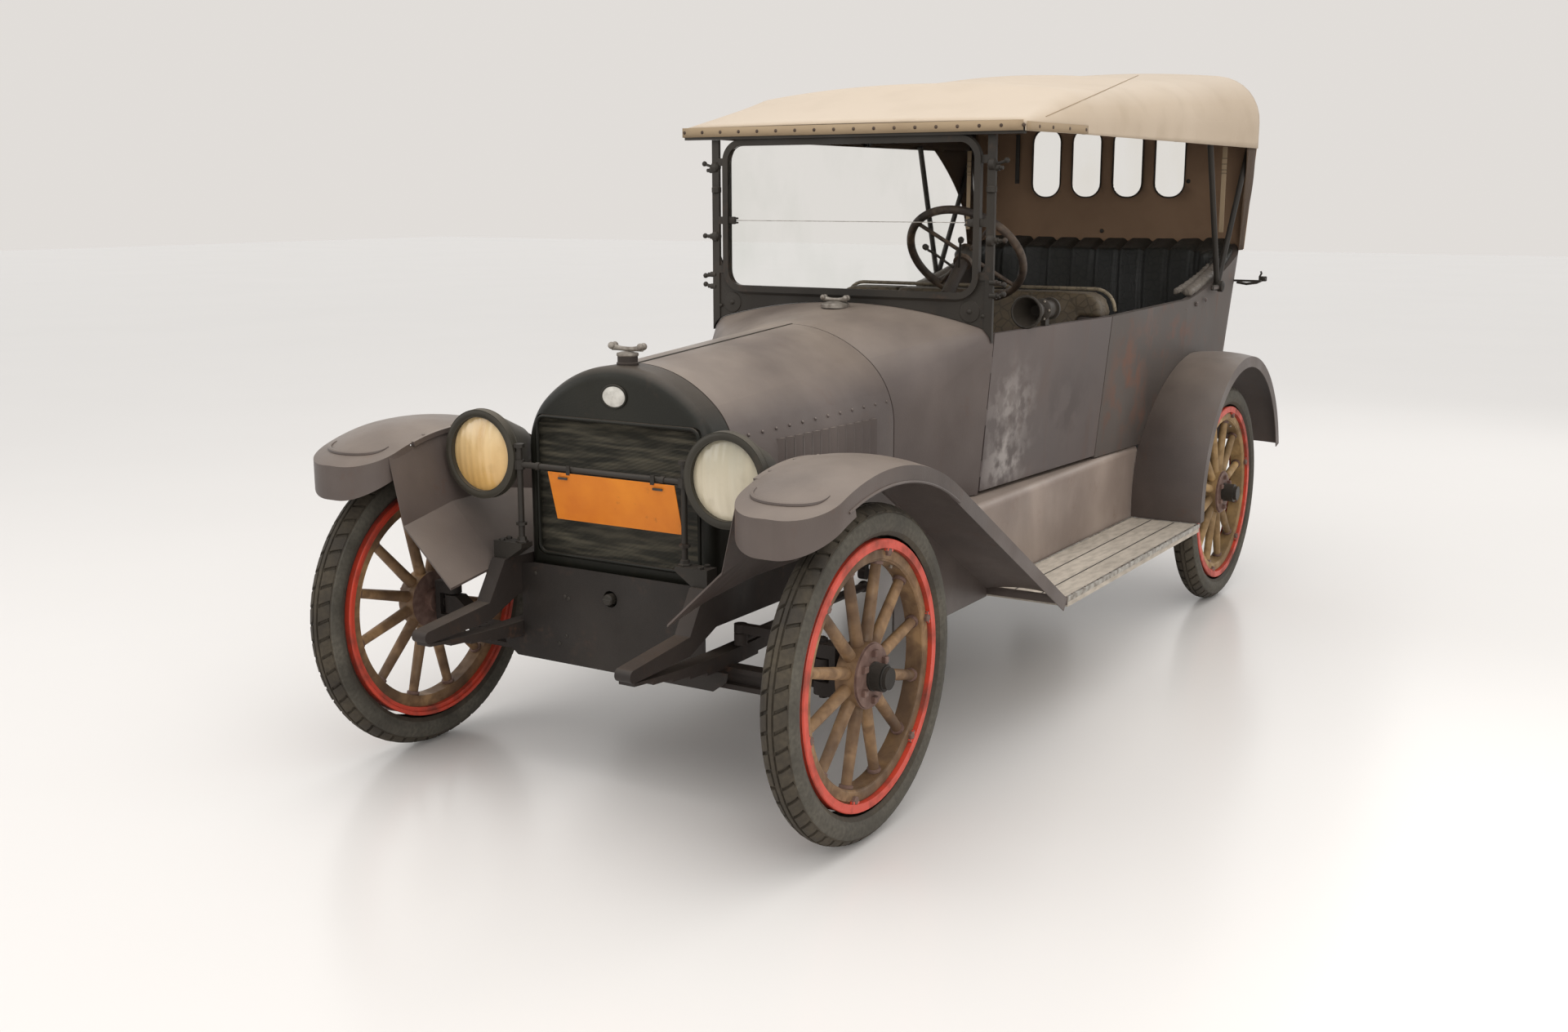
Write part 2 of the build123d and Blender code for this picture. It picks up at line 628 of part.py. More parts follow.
torque_run = REAR_AXLE_Y - GEARBOX_REAR_Y
torque_rise = GEARBOX_Z - TYRE_R

with BuildPart() as rear_axle:
    with Locations((0, REAR_AXLE_Y, TYRE_R)):
        Cylinder(REAR_TUBE_R, 2 * REAR_TUBE_END, rotation=(0, 90, 0))
        Cylinder(SPINDLE_R, TREAD + 2 * HUB_INNER_REACH - 2 * RUN_GAP, rotation=(0, 90, 0))
        Cylinder(CASE_R, CASE_W, rotation=(0, 90, 0))
    with BuildSketch(Plane(origin=(0, REAR_AXLE_Y, TYRE_R), z_dir=(0, -torque_run, torque_rise))):
        Circle(TORQUE_TUBE_R)
    extrude(amount=sqrt(torque_run**2 + torque_rise**2) - TORQUE_TUBE_R * torque_rise / torque_run - SEAT_GAP)
save(rear_axle, "rear_axle")


# Engine and gearbox as one plain block, with the sump, and the exhaust beside it
ENGINE_W = 300
ENGINE_FRONT_Y = FRONT_AXLE_Y + 150
ENGINE_REAR_Y = FRONT_AXLE_Y + 800
ENGINE_TOP_Z = 1000
SUMP_Z = 430
GEARBOX_W = 240
GEARBOX_H = 160
EXHAUST_R = 24
EXHAUST_X = -208
MUFFLER_R = 62
MUFFLER_L = 620
MUFFLER_Y = FRONT_AXLE_Y + 1640
EXHAUST_Z = 470

with BuildPart() as engine:
    with Locations((0, (ENGINE_FRONT_Y + ENGINE_REAR_Y) / 2, (ENGINE_TOP_Z + SUMP_Z) / 2)):
        Box(ENGINE_W, ENGINE_REAR_Y - ENGINE_FRONT_Y, ENGINE_TOP_Z - SUMP_Z)
    with Locations((0, (ENGINE_REAR_Y + GEARBOX_REAR_Y) / 2, GEARBOX_Z)):
        Box(GEARBOX_W, GEARBOX_REAR_Y - ENGINE_REAR_Y, GEARBOX_H)
    with Locations((0, ENGINE_REAR_Y - CROSS_W, RAIL_FOOT + RAIL_WALL + SEAT_GAP + ARM_R)):
        Box(2 * RAIL_X + RAIL_W - 2 * RAIL_WALL - 2 * SEAT_GAP, CROSS_W, 2 * ARM_R)
save(engine, "engine")

EXHAUST_FRONT_Y = FRONT_AXLE_Y + 900
EXHAUST_END_Y = REAR_AXLE_Y + 400

with BuildPart() as exhaust:
    with Locations((EXHAUST_X, MUFFLER_Y, EXHAUST_Z)):
        Cylinder(MUFFLER_R, MUFFLER_L, rotation=(90, 0, 0))
    with Locations((EXHAUST_X, (EXHAUST_FRONT_Y + MUFFLER_Y) / 2, EXHAUST_Z)):
        Cylinder(EXHAUST_R, MUFFLER_Y - EXHAUST_FRONT_Y, rotation=(90, 0, 0))
    with Locations((EXHAUST_X, FRONT_AXLE_Y + 1760, (EXHAUST_Z + RAIL_TOP - CROSS_H) / 2)):
        Box(CROSS_W / 2, CROSS_W / 2, RAIL_TOP - CROSS_H - EXHAUST_Z)
save(exhaust, "exhaust")


# Radiator shell: deep rounded arch with a window for the core
CORE_HALF = RADIATOR_HW - SHELL_FACE_W
CORE_CORNER_R = 22
SEAM_Y = RADIATOR_Y + RADIATOR_DEPTH
CAP_NECK_R = 24
CAP_TOP_Z = 1150
CAP_REACH = 50
CAP_KNOB_R = 10
CAP_Y = FRONT_AXLE_Y + 35

with BuildPart() as radiator_shell:
    extrude(arch(SEAM_Y, RADIATOR_ARCH), amount=RADIATOR_DEPTH)
    fillet(radiator_shell.edges().group_by(Axis.Y)[0], SHELL_FRONT_R)
    with BuildSketch(plane_at(SEAM_Y + OVERRUN)):
        with Locations((0, (CORE_TOP_Z + CORE_BOTTOM_Z) / 2)):
            RectangleRounded(2 * CORE_HALF, CORE_TOP_Z - CORE_BOTTOM_Z, CORE_CORNER_R)
    extrude(amount=RADIATOR_DEPTH + 2 * OVERRUN, mode=Mode.SUBTRACT)
    for rail_side in (1, -1):
        with Locations((rail_side * RAIL_X, RADIATOR_Y, RAIL_TOP + SEAT_GAP - RAIL_H)):
            Box(RAIL_W + 2 * SEAT_GAP, 4 * RADIATOR_DEPTH, 2 * RAIL_H, mode=Mode.SUBTRACT)
save(radiator_shell, "radiator_shell")

with BuildPart() as radiator_core:
    with BuildSketch(plane_at(SEAM_Y)):
        with Locations((0, (CORE_TOP_Z + CORE_BOTTOM_Z) / 2)):
            RectangleRounded(2 * CORE_HALF, CORE_TOP_Z - CORE_BOTTOM_Z, CORE_CORNER_R)
    extrude(amount=RADIATOR_DEPTH - CORE_RECESS)
save(radiator_core, "radiator_core")

with BuildPart() as radiator_cap:
    with BuildSketch(Plane.XY.offset(RADIATOR_CROWN_Z)):
        with Locations((0, CAP_Y)):
            Circle(CAP_NECK_R)
    extrude(amount=CAP_TOP_Z - RADIATOR_CROWN_Z)
    with Locations((0, CAP_Y, CAP_TOP_Z + CAP_KNOB_R / 2)):
        Box(2 * CAP_REACH, CAP_KNOB_R, CAP_KNOB_R)
    with Locations((0, CAP_Y, CAP_TOP_Z)):
        Cylinder(CAP_NECK_R + CAP_KNOB_R / 2, CAP_KNOB_R)
    with Locations((CAP_REACH, CAP_Y, CAP_TOP_Z + CAP_KNOB_R), (-CAP_REACH, CAP_Y, CAP_TOP_Z + CAP_KNOB_R)):
        Sphere(CAP_KNOB_R)
save(radiator_cap, "radiator_cap")


# Hood in two halves that lift about a rod along the middle
HOOD_FRONT_Y = SEAM_Y + RUN_GAP
HOOD_BACK_Y = HOOD_REAR_Y - RUN_GAP
HINGE_Z_FRONT = RADIATOR_CROWN_Z - HOOD_T / 2
HINGE_Z_REAR = HOOD_REAR_CROWN_Z - HOOD_T / 2
HINGE_CLEAR = HINGE_ROD_R + PIN_GAP


def hood_side_x(y):
    """Half-width of the hood's straight side at y."""
    return RADIATOR_HW + (HOOD_REAR_HW - RADIATOR_HW) * (y - HOOD_FRONT_Y) / (HOOD_BACK_Y - HOOD_FRONT_Y)


def make_hood(side, name):
    """One half: roof panel and louvred side in one pressing, split off the lofted hood."""
    with BuildPart() as hood:
        loft(sections=[arch(HOOD_FRONT_Y, HOOD_FRONT_ARCH), arch(HOOD_BACK_Y, HOOD_REAR_ARCH)])
        loft(
            sections=[
                arch(HOOD_FRONT_Y, HOOD_FRONT_ARCH, HOOD_T, OVERRUN),
                arch(HOOD_BACK_Y, HOOD_REAR_ARCH, HOOD_T, OVERRUN),
            ],
            mode=Mode.SUBTRACT,
        )
        with BuildSketch(Plane.XY.offset(HOOD_BOTTOM_Z)):
            with Locations((side * (HOOD_REAR_HW + HINGE_CLEAR), (HOOD_FRONT_Y + HOOD_BACK_Y) / 2)):
                Rectangle(2 * HOOD_REAR_HW, HOOD_BACK_Y - HOOD_FRONT_Y + 2 * RUN_GAP)
        extrude(amount=HOOD_REAR_CROWN_Z, mode=Mode.INTERSECT)
        for number in range(LOUVRE_COUNT):
            start_y = LOUVRE_FIRST_Y + number * LOUVRE_PITCH
            end_y = start_y + LOUVRE_W
            with BuildSketch(Plane.XY.offset(LOUVRE_LOW_Z)):
                Polygon(
                    (side * (hood_side_x(start_y) - HOOD_T / 2), start_y),
                    (side * (hood_side_x(end_y) + LOUVRE_PROUD), end_y),
                    (side * (hood_side_x(end_y) - HOOD_T / 2), end_y),
                    align=None,
                )
            extrude(amount=LOUVRE_H)
    save(hood, name)


for hood_side, hood_name in ((1, "hood_left"), (-1, "hood_right")):
    make_hood(hood_side, hood_name)

with BuildPart() as hood_hinge:
    hinge_run = HOOD_REAR_Y - SEAM_Y
    hinge_rise = HINGE_Z_REAR - HINGE_Z_FRONT
    with BuildSketch(Plane(origin=(0, SEAM_Y + SEAT_GAP, HINGE_Z_FRONT), z_dir=(0, hinge_run, hinge_rise))):
        Circle(HINGE_ROD_R)
    extrude(amount=sqrt(hinge_run**2 + hinge_rise**2) - 2 * SEAT_GAP)
save(hood_hinge, "hood_hinge")


# Cowl from the hood's rear edge back to the windshield
with BuildPart() as cowl:
    loft(sections=[arch(HOOD_REAR_Y, COWL_FRONT_ARCH), arch(SCREEN_Y, COWL_REAR_ARCH)])
    loft(
        sections=[
            arch(HOOD_REAR_Y, COWL_FRONT_ARCH, COWL_T, OVERRUN),
            arch(SCREEN_Y, COWL_REAR_ARCH, COWL_T, OVERRUN),
        ],
        mode=Mode.SUBTRACT,
    )
save(cowl, "cowl")


# Firewall across the front of the cowl and the instrument board under its rear edge
FIREWALL_T = 20
DASH_H = 150
DASH_T = 18

with BuildPart() as firewall:
    extrude(arch(HOOD_REAR_Y + FIREWALL_T, COWL_FRONT_ARCH, COWL_T + SEAT_GAP), amount=FIREWALL_T)
    with BuildSketch(Plane(origin=(HELM_X, PITMAN_Y, BOX_Z), z_dir=(0, HELM_Y - PITMAN_Y, HELM_Z - BOX_Z))):
        Circle(COLUMN_R + PIN_GAP)
    extrude(amount=2 * (HELM_Y - PITMAN_Y), mode=Mode.SUBTRACT)
save(firewall, "firewall")

with BuildPart() as dashboard:
    extrude(arch(SCREEN_Y - DASH_T, COWL_REAR_ARCH, COWL_T + DASH_T + RUN_GAP), amount=DASH_T)
    with Locations((0, SCREEN_Y, BODY_BOTTOM_Z - DASH_H + (COWL_CROWN_Z - BODY_BOTTOM_Z) / 2)):
        Box(4 * BODY_FRONT_HW, 8 * DASH_T, COWL_CROWN_Z - BODY_BOTTOM_Z, mode=Mode.SUBTRACT)
    with BuildSketch(Plane(origin=(HELM_X, PITMAN_Y, BOX_Z), z_dir=(0, HELM_Y - PITMAN_Y, HELM_Z - BOX_Z))):
        Circle(COLUMN_R + PIN_GAP)
    extrude(amount=2 * (HELM_Y - PITMAN_Y), mode=Mode.SUBTRACT)
save(dashboard, "dashboard")


# Body tub: plan outlines at the sill and at the rim, lofted, hollowed and trimmed to the rim line
def tub_outline(z, front_hw, door_hw, quarter_hw, rear_y, inset=0):
    """Plan outline of the open body at z, straight sides with round rear corners."""
    front_y = DOOR_FRONT_Y - (OVERRUN if inset else 0)
    corner = REAR_CORNER_R - inset
    quarter = quarter_hw - inset
    rear = rear_y - inset
    bend = corner * (1 - cos(pi / 4))
    with BuildSketch(Plane.XY.offset(z)) as outline:
        with BuildLine():
            Polyline(
                (quarter, rear - corner), (quarter, QUARTER_Y), (door_hw - inset, DOOR_REAR_Y),
                (front_hw - inset, front_y), (-front_hw + inset, front_y), (-door_hw + inset, DOOR_REAR_Y),
                (-quarter, QUARTER_Y), (-quarter, rear - corner),
            )
            ThreePointArc((-quarter, rear - corner), (-quarter + bend, rear - bend), (-quarter + corner, rear))
            Line((-quarter + corner, rear), (quarter - corner, rear))
            ThreePointArc((quarter - corner, rear), (quarter - bend, rear - bend), (quarter, rear - corner))
        make_face()
    return outline.sketch


RIM_LEVEL_Z = REAR_RIM_Z
RIM_SHARE = (RIM_LEVEL_Z - BODY_BOTTOM_Z) / (RAIL_Z - BODY_BOTTOM_Z)


def rim_width(low, high):
    """Half-width carried on in a straight line from the sill past the rail up to the rear rim."""
    return low + (high - low) * RIM_SHARE


FRONT_RIM_HW = rim_width(BODY_FRONT_LOW_HW, BODY_FRONT_HW)
DOOR_RIM_HW = rim_width(DOOR_LOW_HW, DOOR_HW)
QUARTER_RIM_HW = rim_width(QUARTER_LOW_HW, QUARTER_HW)


# Columns: z, front_hw, door_hw, quarter_hw, rear_y
SILL_PLAN = (BODY_BOTTOM_Z, BODY_FRONT_LOW_HW, DOOR_LOW_HW, QUARTER_LOW_HW, BODY_REAR_Y - BODY_REAR_LEAN)
rim_sag_share = 0.15


def tub_shell(outer_inset=0, inner_inset=WALL, lift=0):
    """Outer loft less inner loft, open at the top, cut to the rim line or a little above it."""
    top_plan = (RIM_LEVEL_Z + lift, FRONT_RIM_HW, DOOR_RIM_HW, QUARTER_RIM_HW, BODY_REAR_Y)
    with BuildPart() as shell:
        for inset, cut in ((outer_inset, Mode.ADD), (inner_inset, Mode.SUBTRACT)):
            loft(sections=[tub_outline(*SILL_PLAN, inset), tub_outline(*top_plan, inset)], mode=cut)
        with BuildSketch(Plane.YZ.offset(-2 * QUARTER_HW)):
            with BuildLine():
                Line((DOOR_FRONT_Y - OVERRUN, RAIL_Z + lift), (DOOR_REAR_Y, RAIL_Z + lift))
                Line((DOOR_REAR_Y, RAIL_Z + lift), (QUARTER_Y, SIDE_RIM_Z + lift))
                ThreePointArc(
                    (QUARTER_Y, SIDE_RIM_Z + lift),
                    (
                        (QUARTER_Y + BODY_REAR_Y) / 2,
                        (SIDE_RIM_Z + REAR_RIM_Z) / 2 - (REAR_RIM_Z - SIDE_RIM_Z) * rim_sag_share + lift,
                    ),
                    (BODY_REAR_Y, REAR_RIM_Z + lift),
                )
                Polyline(
                    (BODY_REAR_Y, REAR_RIM_Z + lift), (BODY_REAR_Y + OVERRUN, REAR_RIM_Z + lift),
                    (BODY_REAR_Y + OVERRUN, REAR_RIM_Z + OVERRUN),
                    (DOOR_FRONT_Y - OVERRUN, REAR_RIM_Z + OVERRUN), (DOOR_FRONT_Y - OVERRUN, RAIL_Z + lift),
                )
            make_face()
        extrude(amount=4 * QUARTER_HW, mode=Mode.SUBTRACT)
    return shell.part


shell_part = tub_shell()
DOOR_MID_Y = (DOOR_FRONT_Y + DOOR_REAR_Y) / 2
DOOR_L = DOOR_REAR_Y - DOOR_FRONT_Y

with BuildPart() as body_tub:
    add(shell_part)
    with Locations((0, DOOR_MID_Y, RAIL_Z)):
        Box(4 * QUARTER_HW, DOOR_L, 2 * RAIL_Z, mode=Mode.SUBTRACT)
    for wall_y, wall_low, wall_high in ((DOOR_REAR_Y, DOOR_LOW_HW, DOOR_HW),):
        with BuildSketch(plane_at(wall_y + WALL)):
            Polygon(
                (-wall_low + WALL / 2, FLOOR_Z + SEAT_GAP), (wall_low - WALL / 2, FLOOR_Z + SEAT_GAP),
                (wall_high - WALL / 2, RAIL_Z), (-wall_high + WALL / 2, RAIL_Z),
                align=None,
            )
        extrude(amount=WALL)
save(body_tub, "body_tub")

# Door hinges: three barrels on one leaning line at the front edge of each door
DOOR_HINGE_R = 5.5
DOOR_HINGE_L = 50
DOOR_HINGE_LEVELS = (700, 860, 1020)
DOOR_AXIS_Y = SCREEN_Y + DOOR_HINGE_R + PIN_GAP
DOOR_LEAN = (BODY_FRONT_HW - BODY_FRONT_LOW_HW) / (RAIL_Z - BODY_BOTTOM_Z)


def hinge_x(z):
    """Distance of the hinge line from the middle at z."""
    return BODY_FRONT_LOW_HW + DOOR_LEAN * (z - BODY_BOTTOM_Z)


for door_side, door_name in ((1, "door_left"), (-1, "door_right")):
    with BuildPart() as door:
        add(shell_part)
        with Locations((door_side * QUARTER_HW, DOOR_MID_Y, RAIL_Z)):
            Box(2 * QUARTER_HW - 2 * WALL, DOOR_L - 2 * RUN_GAP, 2 * RAIL_Z, mode=Mode.INTERSECT)
        with Locations((door_side * QUARTER_HW, DOOR_MID_Y, BODY_BOTTOM_Z + DOOR_FOOT_GAP - RAIL_Z)):
            Box(2 * QUARTER_HW, DOOR_L, 2 * RAIL_Z, mode=Mode.SUBTRACT)
        for barrel_z in DOOR_HINGE_LEVELS:
            with BuildSketch(
                Plane(
                    origin=(door_side * hinge_x(barrel_z), DOOR_AXIS_Y, barrel_z), z_dir=(door_side * DOOR_LEAN, 0, 1)
                )
            ):
                Circle(DOOR_HINGE_R)
            extrude(amount=DOOR_HINGE_L)
    save(door, door_name)


# Floor boards on two long sills
SIDE_GAP = WALL + RUN_GAP
REAR_BOX_FRONT_Y = REAR_BACK_FRONT_Y - REAR_CUSHION_D

FLOOR_FRONT_Y = HOOD_REAR_Y + FIREWALL_T + SEAT_GAP
FLOOR_FRONT_HW = HOOD_REAR_HW - COWL_T - SEAT_GAP
FLOOR_COWL_HW = BODY_FRONT_LOW_HW - COWL_T - SEAT_GAP
SILL_W = 44
SILL_REAR_Y = BODY_REAR_Y - BODY_REAR_LEAN - WALL - RUN_GAP

with BuildPart() as floor:
    for sill_side in (1, -1):
        with Locations((sill_side * RAIL_X, (SCREEN_Y + SILL_REAR_Y) / 2, (RAIL_TOP + SEAT_GAP + FLOOR_Z) / 2)):
            Box(SILL_W, SILL_REAR_Y - SCREEN_Y, FLOOR_Z - RAIL_TOP - SEAT_GAP)
    with BuildSketch(Plane.XY.offset(FLOOR_Z)):
        with BuildLine():
            Polyline(
                (FLOOR_FRONT_HW, FLOOR_FRONT_Y),
                (FLOOR_COWL_HW, SCREEN_Y),
                (BODY_FRONT_LOW_HW - SIDE_GAP, SCREEN_Y),
                (DOOR_LOW_HW - SIDE_GAP, DOOR_REAR_Y),
                (-DOOR_LOW_HW + SIDE_GAP, DOOR_REAR_Y),
                (-BODY_FRONT_LOW_HW + SIDE_GAP, SCREEN_Y),
                (-FLOOR_COWL_HW, SCREEN_Y),
                (-FLOOR_FRONT_HW, FLOOR_FRONT_Y),
                close=True,
            )
        make_face()
    extrude(amount=FLOOR_T)
    with BuildSketch(Plane.XY.offset(FLOOR_Z)):
        with BuildLine():
            Polyline(
                (DOOR_LOW_HW - SIDE_GAP, DOOR_REAR_Y + WALL),
                (QUARTER_LOW_HW - SIDE_GAP, QUARTER_Y),
                (QUARTER_LOW_HW - SIDE_GAP, REAR_BOX_FRONT_Y - SEAT_GAP),
                (-QUARTER_LOW_HW + SIDE_GAP, REAR_BOX_FRONT_Y - SEAT_GAP),
                (-QUARTER_LOW_HW + SIDE_GAP, QUARTER_Y),
                (-DOOR_LOW_HW + SIDE_GAP, DOOR_REAR_Y + WALL),
                close=True,
            )
        make_face()
    extrude(amount=FLOOR_T)
save(floor, "floor")


# Seats: wooden boxes, leather cushions and backs
SEAT_SIDE_HW = BODY_FRONT_LOW_HW + 20 - SIDE_GAP
BOX_TOP_FRONT = FRONT_CUSHION_TOP - CUSHION_T
BOX_TOP_REAR = REAR_CUSHION_TOP - CUSHION_T
REAR_BOX_REAR_Y = BODY_REAR_Y - BODY_REAR_LEAN - REAR_CORNER_R

with BuildPart() as seat_boxes:
    with Locations(
        (0, FRONT_CUSHION_Y + FRONT_CUSHION_D / 2, (BOX_TOP_FRONT + FLOOR_Z + FLOOR_T) / 2)
    ):
        Box(2 * SEAT_SIDE_HW, FRONT_CUSHION_D, BOX_TOP_FRONT - FLOOR_Z - FLOOR_T)
    with Locations((0, (REAR_BOX_FRONT_Y + REAR_BOX_REAR_Y) / 2, (BOX_TOP_REAR + FLOOR_Z) / 2)):
        Box(
            2 * (QUARTER_LOW_HW - SIDE_GAP - WALL),
            REAR_BOX_REAR_Y - REAR_BOX_FRONT_Y,
            BOX_TOP_REAR - FLOOR_Z,
        )
save(seat_boxes, "seat_boxes")

with BuildPart() as front_seat_cushion:
    with Locations((0, FRONT_CUSHION_Y + FRONT_CUSHION_D / 2, BOX_TOP_FRONT + SEAT_GAP + CUSHION_T / 2)):
        Box(2 * SEAT_SIDE_HW, FRONT_CUSHION_D, CUSHION_T)
    fillet(front_seat_cushion.edges().filter_by(Axis.X), CUSHION_T / 4)
save(front_seat_cushion, "front_seat_cushion")

FRONT_BACK_FOOT_Y = FRONT_CUSHION_Y + FRONT_CUSHION_D + SEAT_GAP
FRONT_BACK_FOOT_Z = FLOOR_Z + FLOOR_T + SEAT_GAP

FRONT_BACK_HW = DOOR_HW - WALL
FRONT_BACK_CORNER_R = 74

with BuildPart() as front_seat_back:
    with BuildSketch(Plane.YZ.offset(-FRONT_BACK_HW)):
        with BuildLine():
            Polyline(
                (FRONT_BACK_FOOT_Y, FRONT_CUSHION_TOP), (FRONT_BACK_Y - BACK_T / 2, FRONT_BACK_TOP),
                (FRONT_BACK_Y + BACK_T / 2, FRONT_BACK_TOP), (FRONT_BACK_Y + BACK_T / 4, RAIL_Z + RUN_GAP),
                (DOOR_REAR_Y - RUN_GAP, RAIL_Z + RUN_GAP), (DOOR_REAR_Y - RUN_GAP, FRONT_BACK_FOOT_Z),
                (FRONT_BACK_FOOT_Y, FRONT_BACK_FOOT_Z),
                close=True,
            )
        make_face()
    extrude(amount=2 * FRONT_BACK_HW)
    with BuildSketch(plane_at(FRONT_BACK_Y + OVERRUN)):
        with BuildLine():
            Polyline(
                (-FRONT_BACK_HW, FRONT_BACK_TOP - FRONT_BACK_CORNER_R), (-FRONT_BACK_HW, RAIL_Z + RUN_GAP),
                (-SEAT_SIDE_HW, RAIL_Z + RUN_GAP), (-SEAT_SIDE_HW, 0), (SEAT_SIDE_HW, 0),
                (SEAT_SIDE_HW, RAIL_Z + RUN_GAP), (FRONT_BACK_HW, RAIL_Z + RUN_GAP),
                (FRONT_BACK_HW, FRONT_BACK_TOP - FRONT_BACK_CORNER_R),
            )
            RadiusArc(
                (FRONT_BACK_HW, FRONT_BACK_TOP - FRONT_BACK_CORNER_R),
                (FRONT_BACK_HW - FRONT_BACK_CORNER_R, FRONT_BACK_TOP), -FRONT_BACK_CORNER_R,
            )
            Line(
                (FRONT_BACK_HW - FRONT_BACK_CORNER_R, FRONT_BACK_TOP),
                (-FRONT_BACK_HW + FRONT_BACK_CORNER_R, FRONT_BACK_TOP),
            )
            RadiusArc(
                (-FRONT_BACK_HW + FRONT_BACK_CORNER_R, FRONT_BACK_TOP),
                (-FRONT_BACK_HW, FRONT_BACK_TOP - FRONT_BACK_CORNER_R), -FRONT_BACK_CORNER_R,
            )
        make_face()
    extrude(amount=3 * OVERRUN, mode=Mode.INTERSECT)
save(front_seat_back, "front_seat_back")

with BuildPart() as rear_seat_cushion:
    with Locations(
        (
            0,
            (REAR_BOX_FRONT_Y + REAR_BACK_FRONT_Y) / 2,
            BOX_TOP_REAR + SEAT_GAP + CUSHION_T / 2,
        )
    ):
        Box(
            2 * (QUARTER_LOW_HW - SIDE_GAP - WALL),
            REAR_BACK_FRONT_Y - REAR_BOX_FRONT_Y - 2 * SEAT_GAP,
            CUSHION_T,
        )
    fillet(rear_seat_cushion.edges().filter_by(Axis.X), CUSHION_T / 4)
save(rear_seat_cushion, "rear_seat_cushion")

REAR_BACK_FOOT_Z = BOX_TOP_REAR + SEAT_GAP
REAR_BACK_LIFT = REAR_BACK_TOP - REAR_RIM_Z
ROLL_W = 80
ROLL_INSET = 3
ROLL_FRONT_Y = QUARTER_Y + WALL

with BuildPart() as rear_seat_back:
    with BuildPart(mode=Mode.PRIVATE) as roll:
        add(tub_shell(ROLL_INSET, ROLL_W, REAR_BACK_LIFT))
        add(tub_shell(-WALL, ROLL_W + WALL, SEAT_GAP), mode=Mode.SUBTRACT)
        with Locations((0, ROLL_FRONT_Y, 0)):
            Box(
                4 * QUARTER_HW,
                BODY_REAR_Y,
                2 * REAR_BACK_TOP,
                align=(Align.CENTER, Align.MIN, Align.MIN),
                mode=Mode.INTERSECT,
            )
    add(tub_shell(WALL + SEAT_GAP, WALL + SEAT_GAP + BACK_T, REAR_BACK_LIFT))
    with Locations((0, REAR_BACK_FRONT_Y + SEAT_GAP, REAR_BACK_FOOT_Z)):
        Box(
            4 * QUARTER_HW,
            BODY_REAR_Y,
            REAR_BACK_TOP,
            align=(Align.CENTER, Align.MIN, Align.MIN),
            mode=Mode.INTERSECT,
        )
    add(roll.part)
save(rear_seat_back, "rear_seat_back")


# Windshield: round-cornered frame between two posts, on a filler panel that fits the cowl's arch
PANEL_T = 8
corner_share = 0.3
SCREEN_STUDS = (
    SCREEN_TOP_Z - SCREEN_CORNER_R - POST_W, SCREEN_SPLIT_Z - 2 * POST_W, SCREEN_BOTTOM_Z + 2 * POST_W,
    SCREEN_BOTTOM_Z + POST_W / 2,
)

with BuildPart() as windshield_frame:
    with BuildSketch(plane_at(SCREEN_Y)):
        with Locations((0, (SCREEN_TOP_Z + SCREEN_BOTTOM_Z) / 2)):
            RectangleRounded(2 * SCREEN_HW, SCREEN_TOP_Z - SCREEN_BOTTOM_Z, SCREEN_CORNER_R)
            RectangleRounded(
                2 * (SCREEN_HW - SCREEN_BAR),
                SCREEN_TOP_Z - SCREEN_BOTTOM_Z - 2 * SCREEN_BAR,
                SCREEN_CORNER_R - SCREEN_BAR,
                mode=Mode.SUBTRACT,
            )
    extrude(amount=SCREEN_BAR)
    for post_side in (1, -1):
        with Locations((post_side * POST_X, SCREEN_Y - POST_T / 2, (SCREEN_TOP_Z + COWL_SHOULDER_Z) / 2)):
            Box(POST_W, POST_T, SCREEN_TOP_Z - COWL_SHOULDER_Z)
        for stud_z in SCREEN_STUDS:
            with Locations((post_side * (POST_X + POST_W / 2), SCREEN_Y - POST_T / 2, stud_z)):
                Cylinder(STUD_R * 2 / 3, 2 * STUD_L, rotation=(0, 90, 0))
                Cylinder(STUD_R, STUD_L, rotation=(0, 90, 0))
        for stud_z in (SCREEN_SPLIT_Z, SCREEN_TOP_Z - SCREEN_CORNER_R, SCREEN_BOTTOM_Z + SCREEN_CORNER_R):
            with Locations((post_side * (POST_X + SCREEN_HW) / 2, SCREEN_Y - POST_T / 2, stud_z)):
                Box(POST_X - SCREEN_HW, POST_T, 2 * POST_T)
        with BuildSketch(plane_at(SCREEN_Y)):
            Polygon(
                (post_side * POST_X, SCREEN_BOTTOM_Z + 2 * SCREEN_CORNER_R),
                (post_side * POST_X, SCREEN_BOTTOM_Z),
                (post_side * (SCREEN_HW - SCREEN_CORNER_R), SCREEN_BOTTOM_Z),
                (
                    post_side * (SCREEN_HW - SCREEN_CORNER_R * corner_share),
                    SCREEN_BOTTOM_Z + SCREEN_CORNER_R * corner_share,
                ),
                align=None,
            )
        extrude(amount=PANEL_T)
    with Locations((0, SCREEN_Y - PANEL_T / 2, (SCREEN_BOTTOM_Z + SCREEN_BAR + COWL_SHOULDER_Z) / 2)):
        Box(2 * POST_X + POST_W, PANEL_T, SCREEN_BOTTOM_Z + SCREEN_BAR - COWL_SHOULDER_Z)
    extrude(arch(SCREEN_Y, COWL_REAR_ARCH, -SEAT_GAP), amount=OVERRUN, mode=Mode.SUBTRACT)
save(windshield_frame, "windshield_frame")

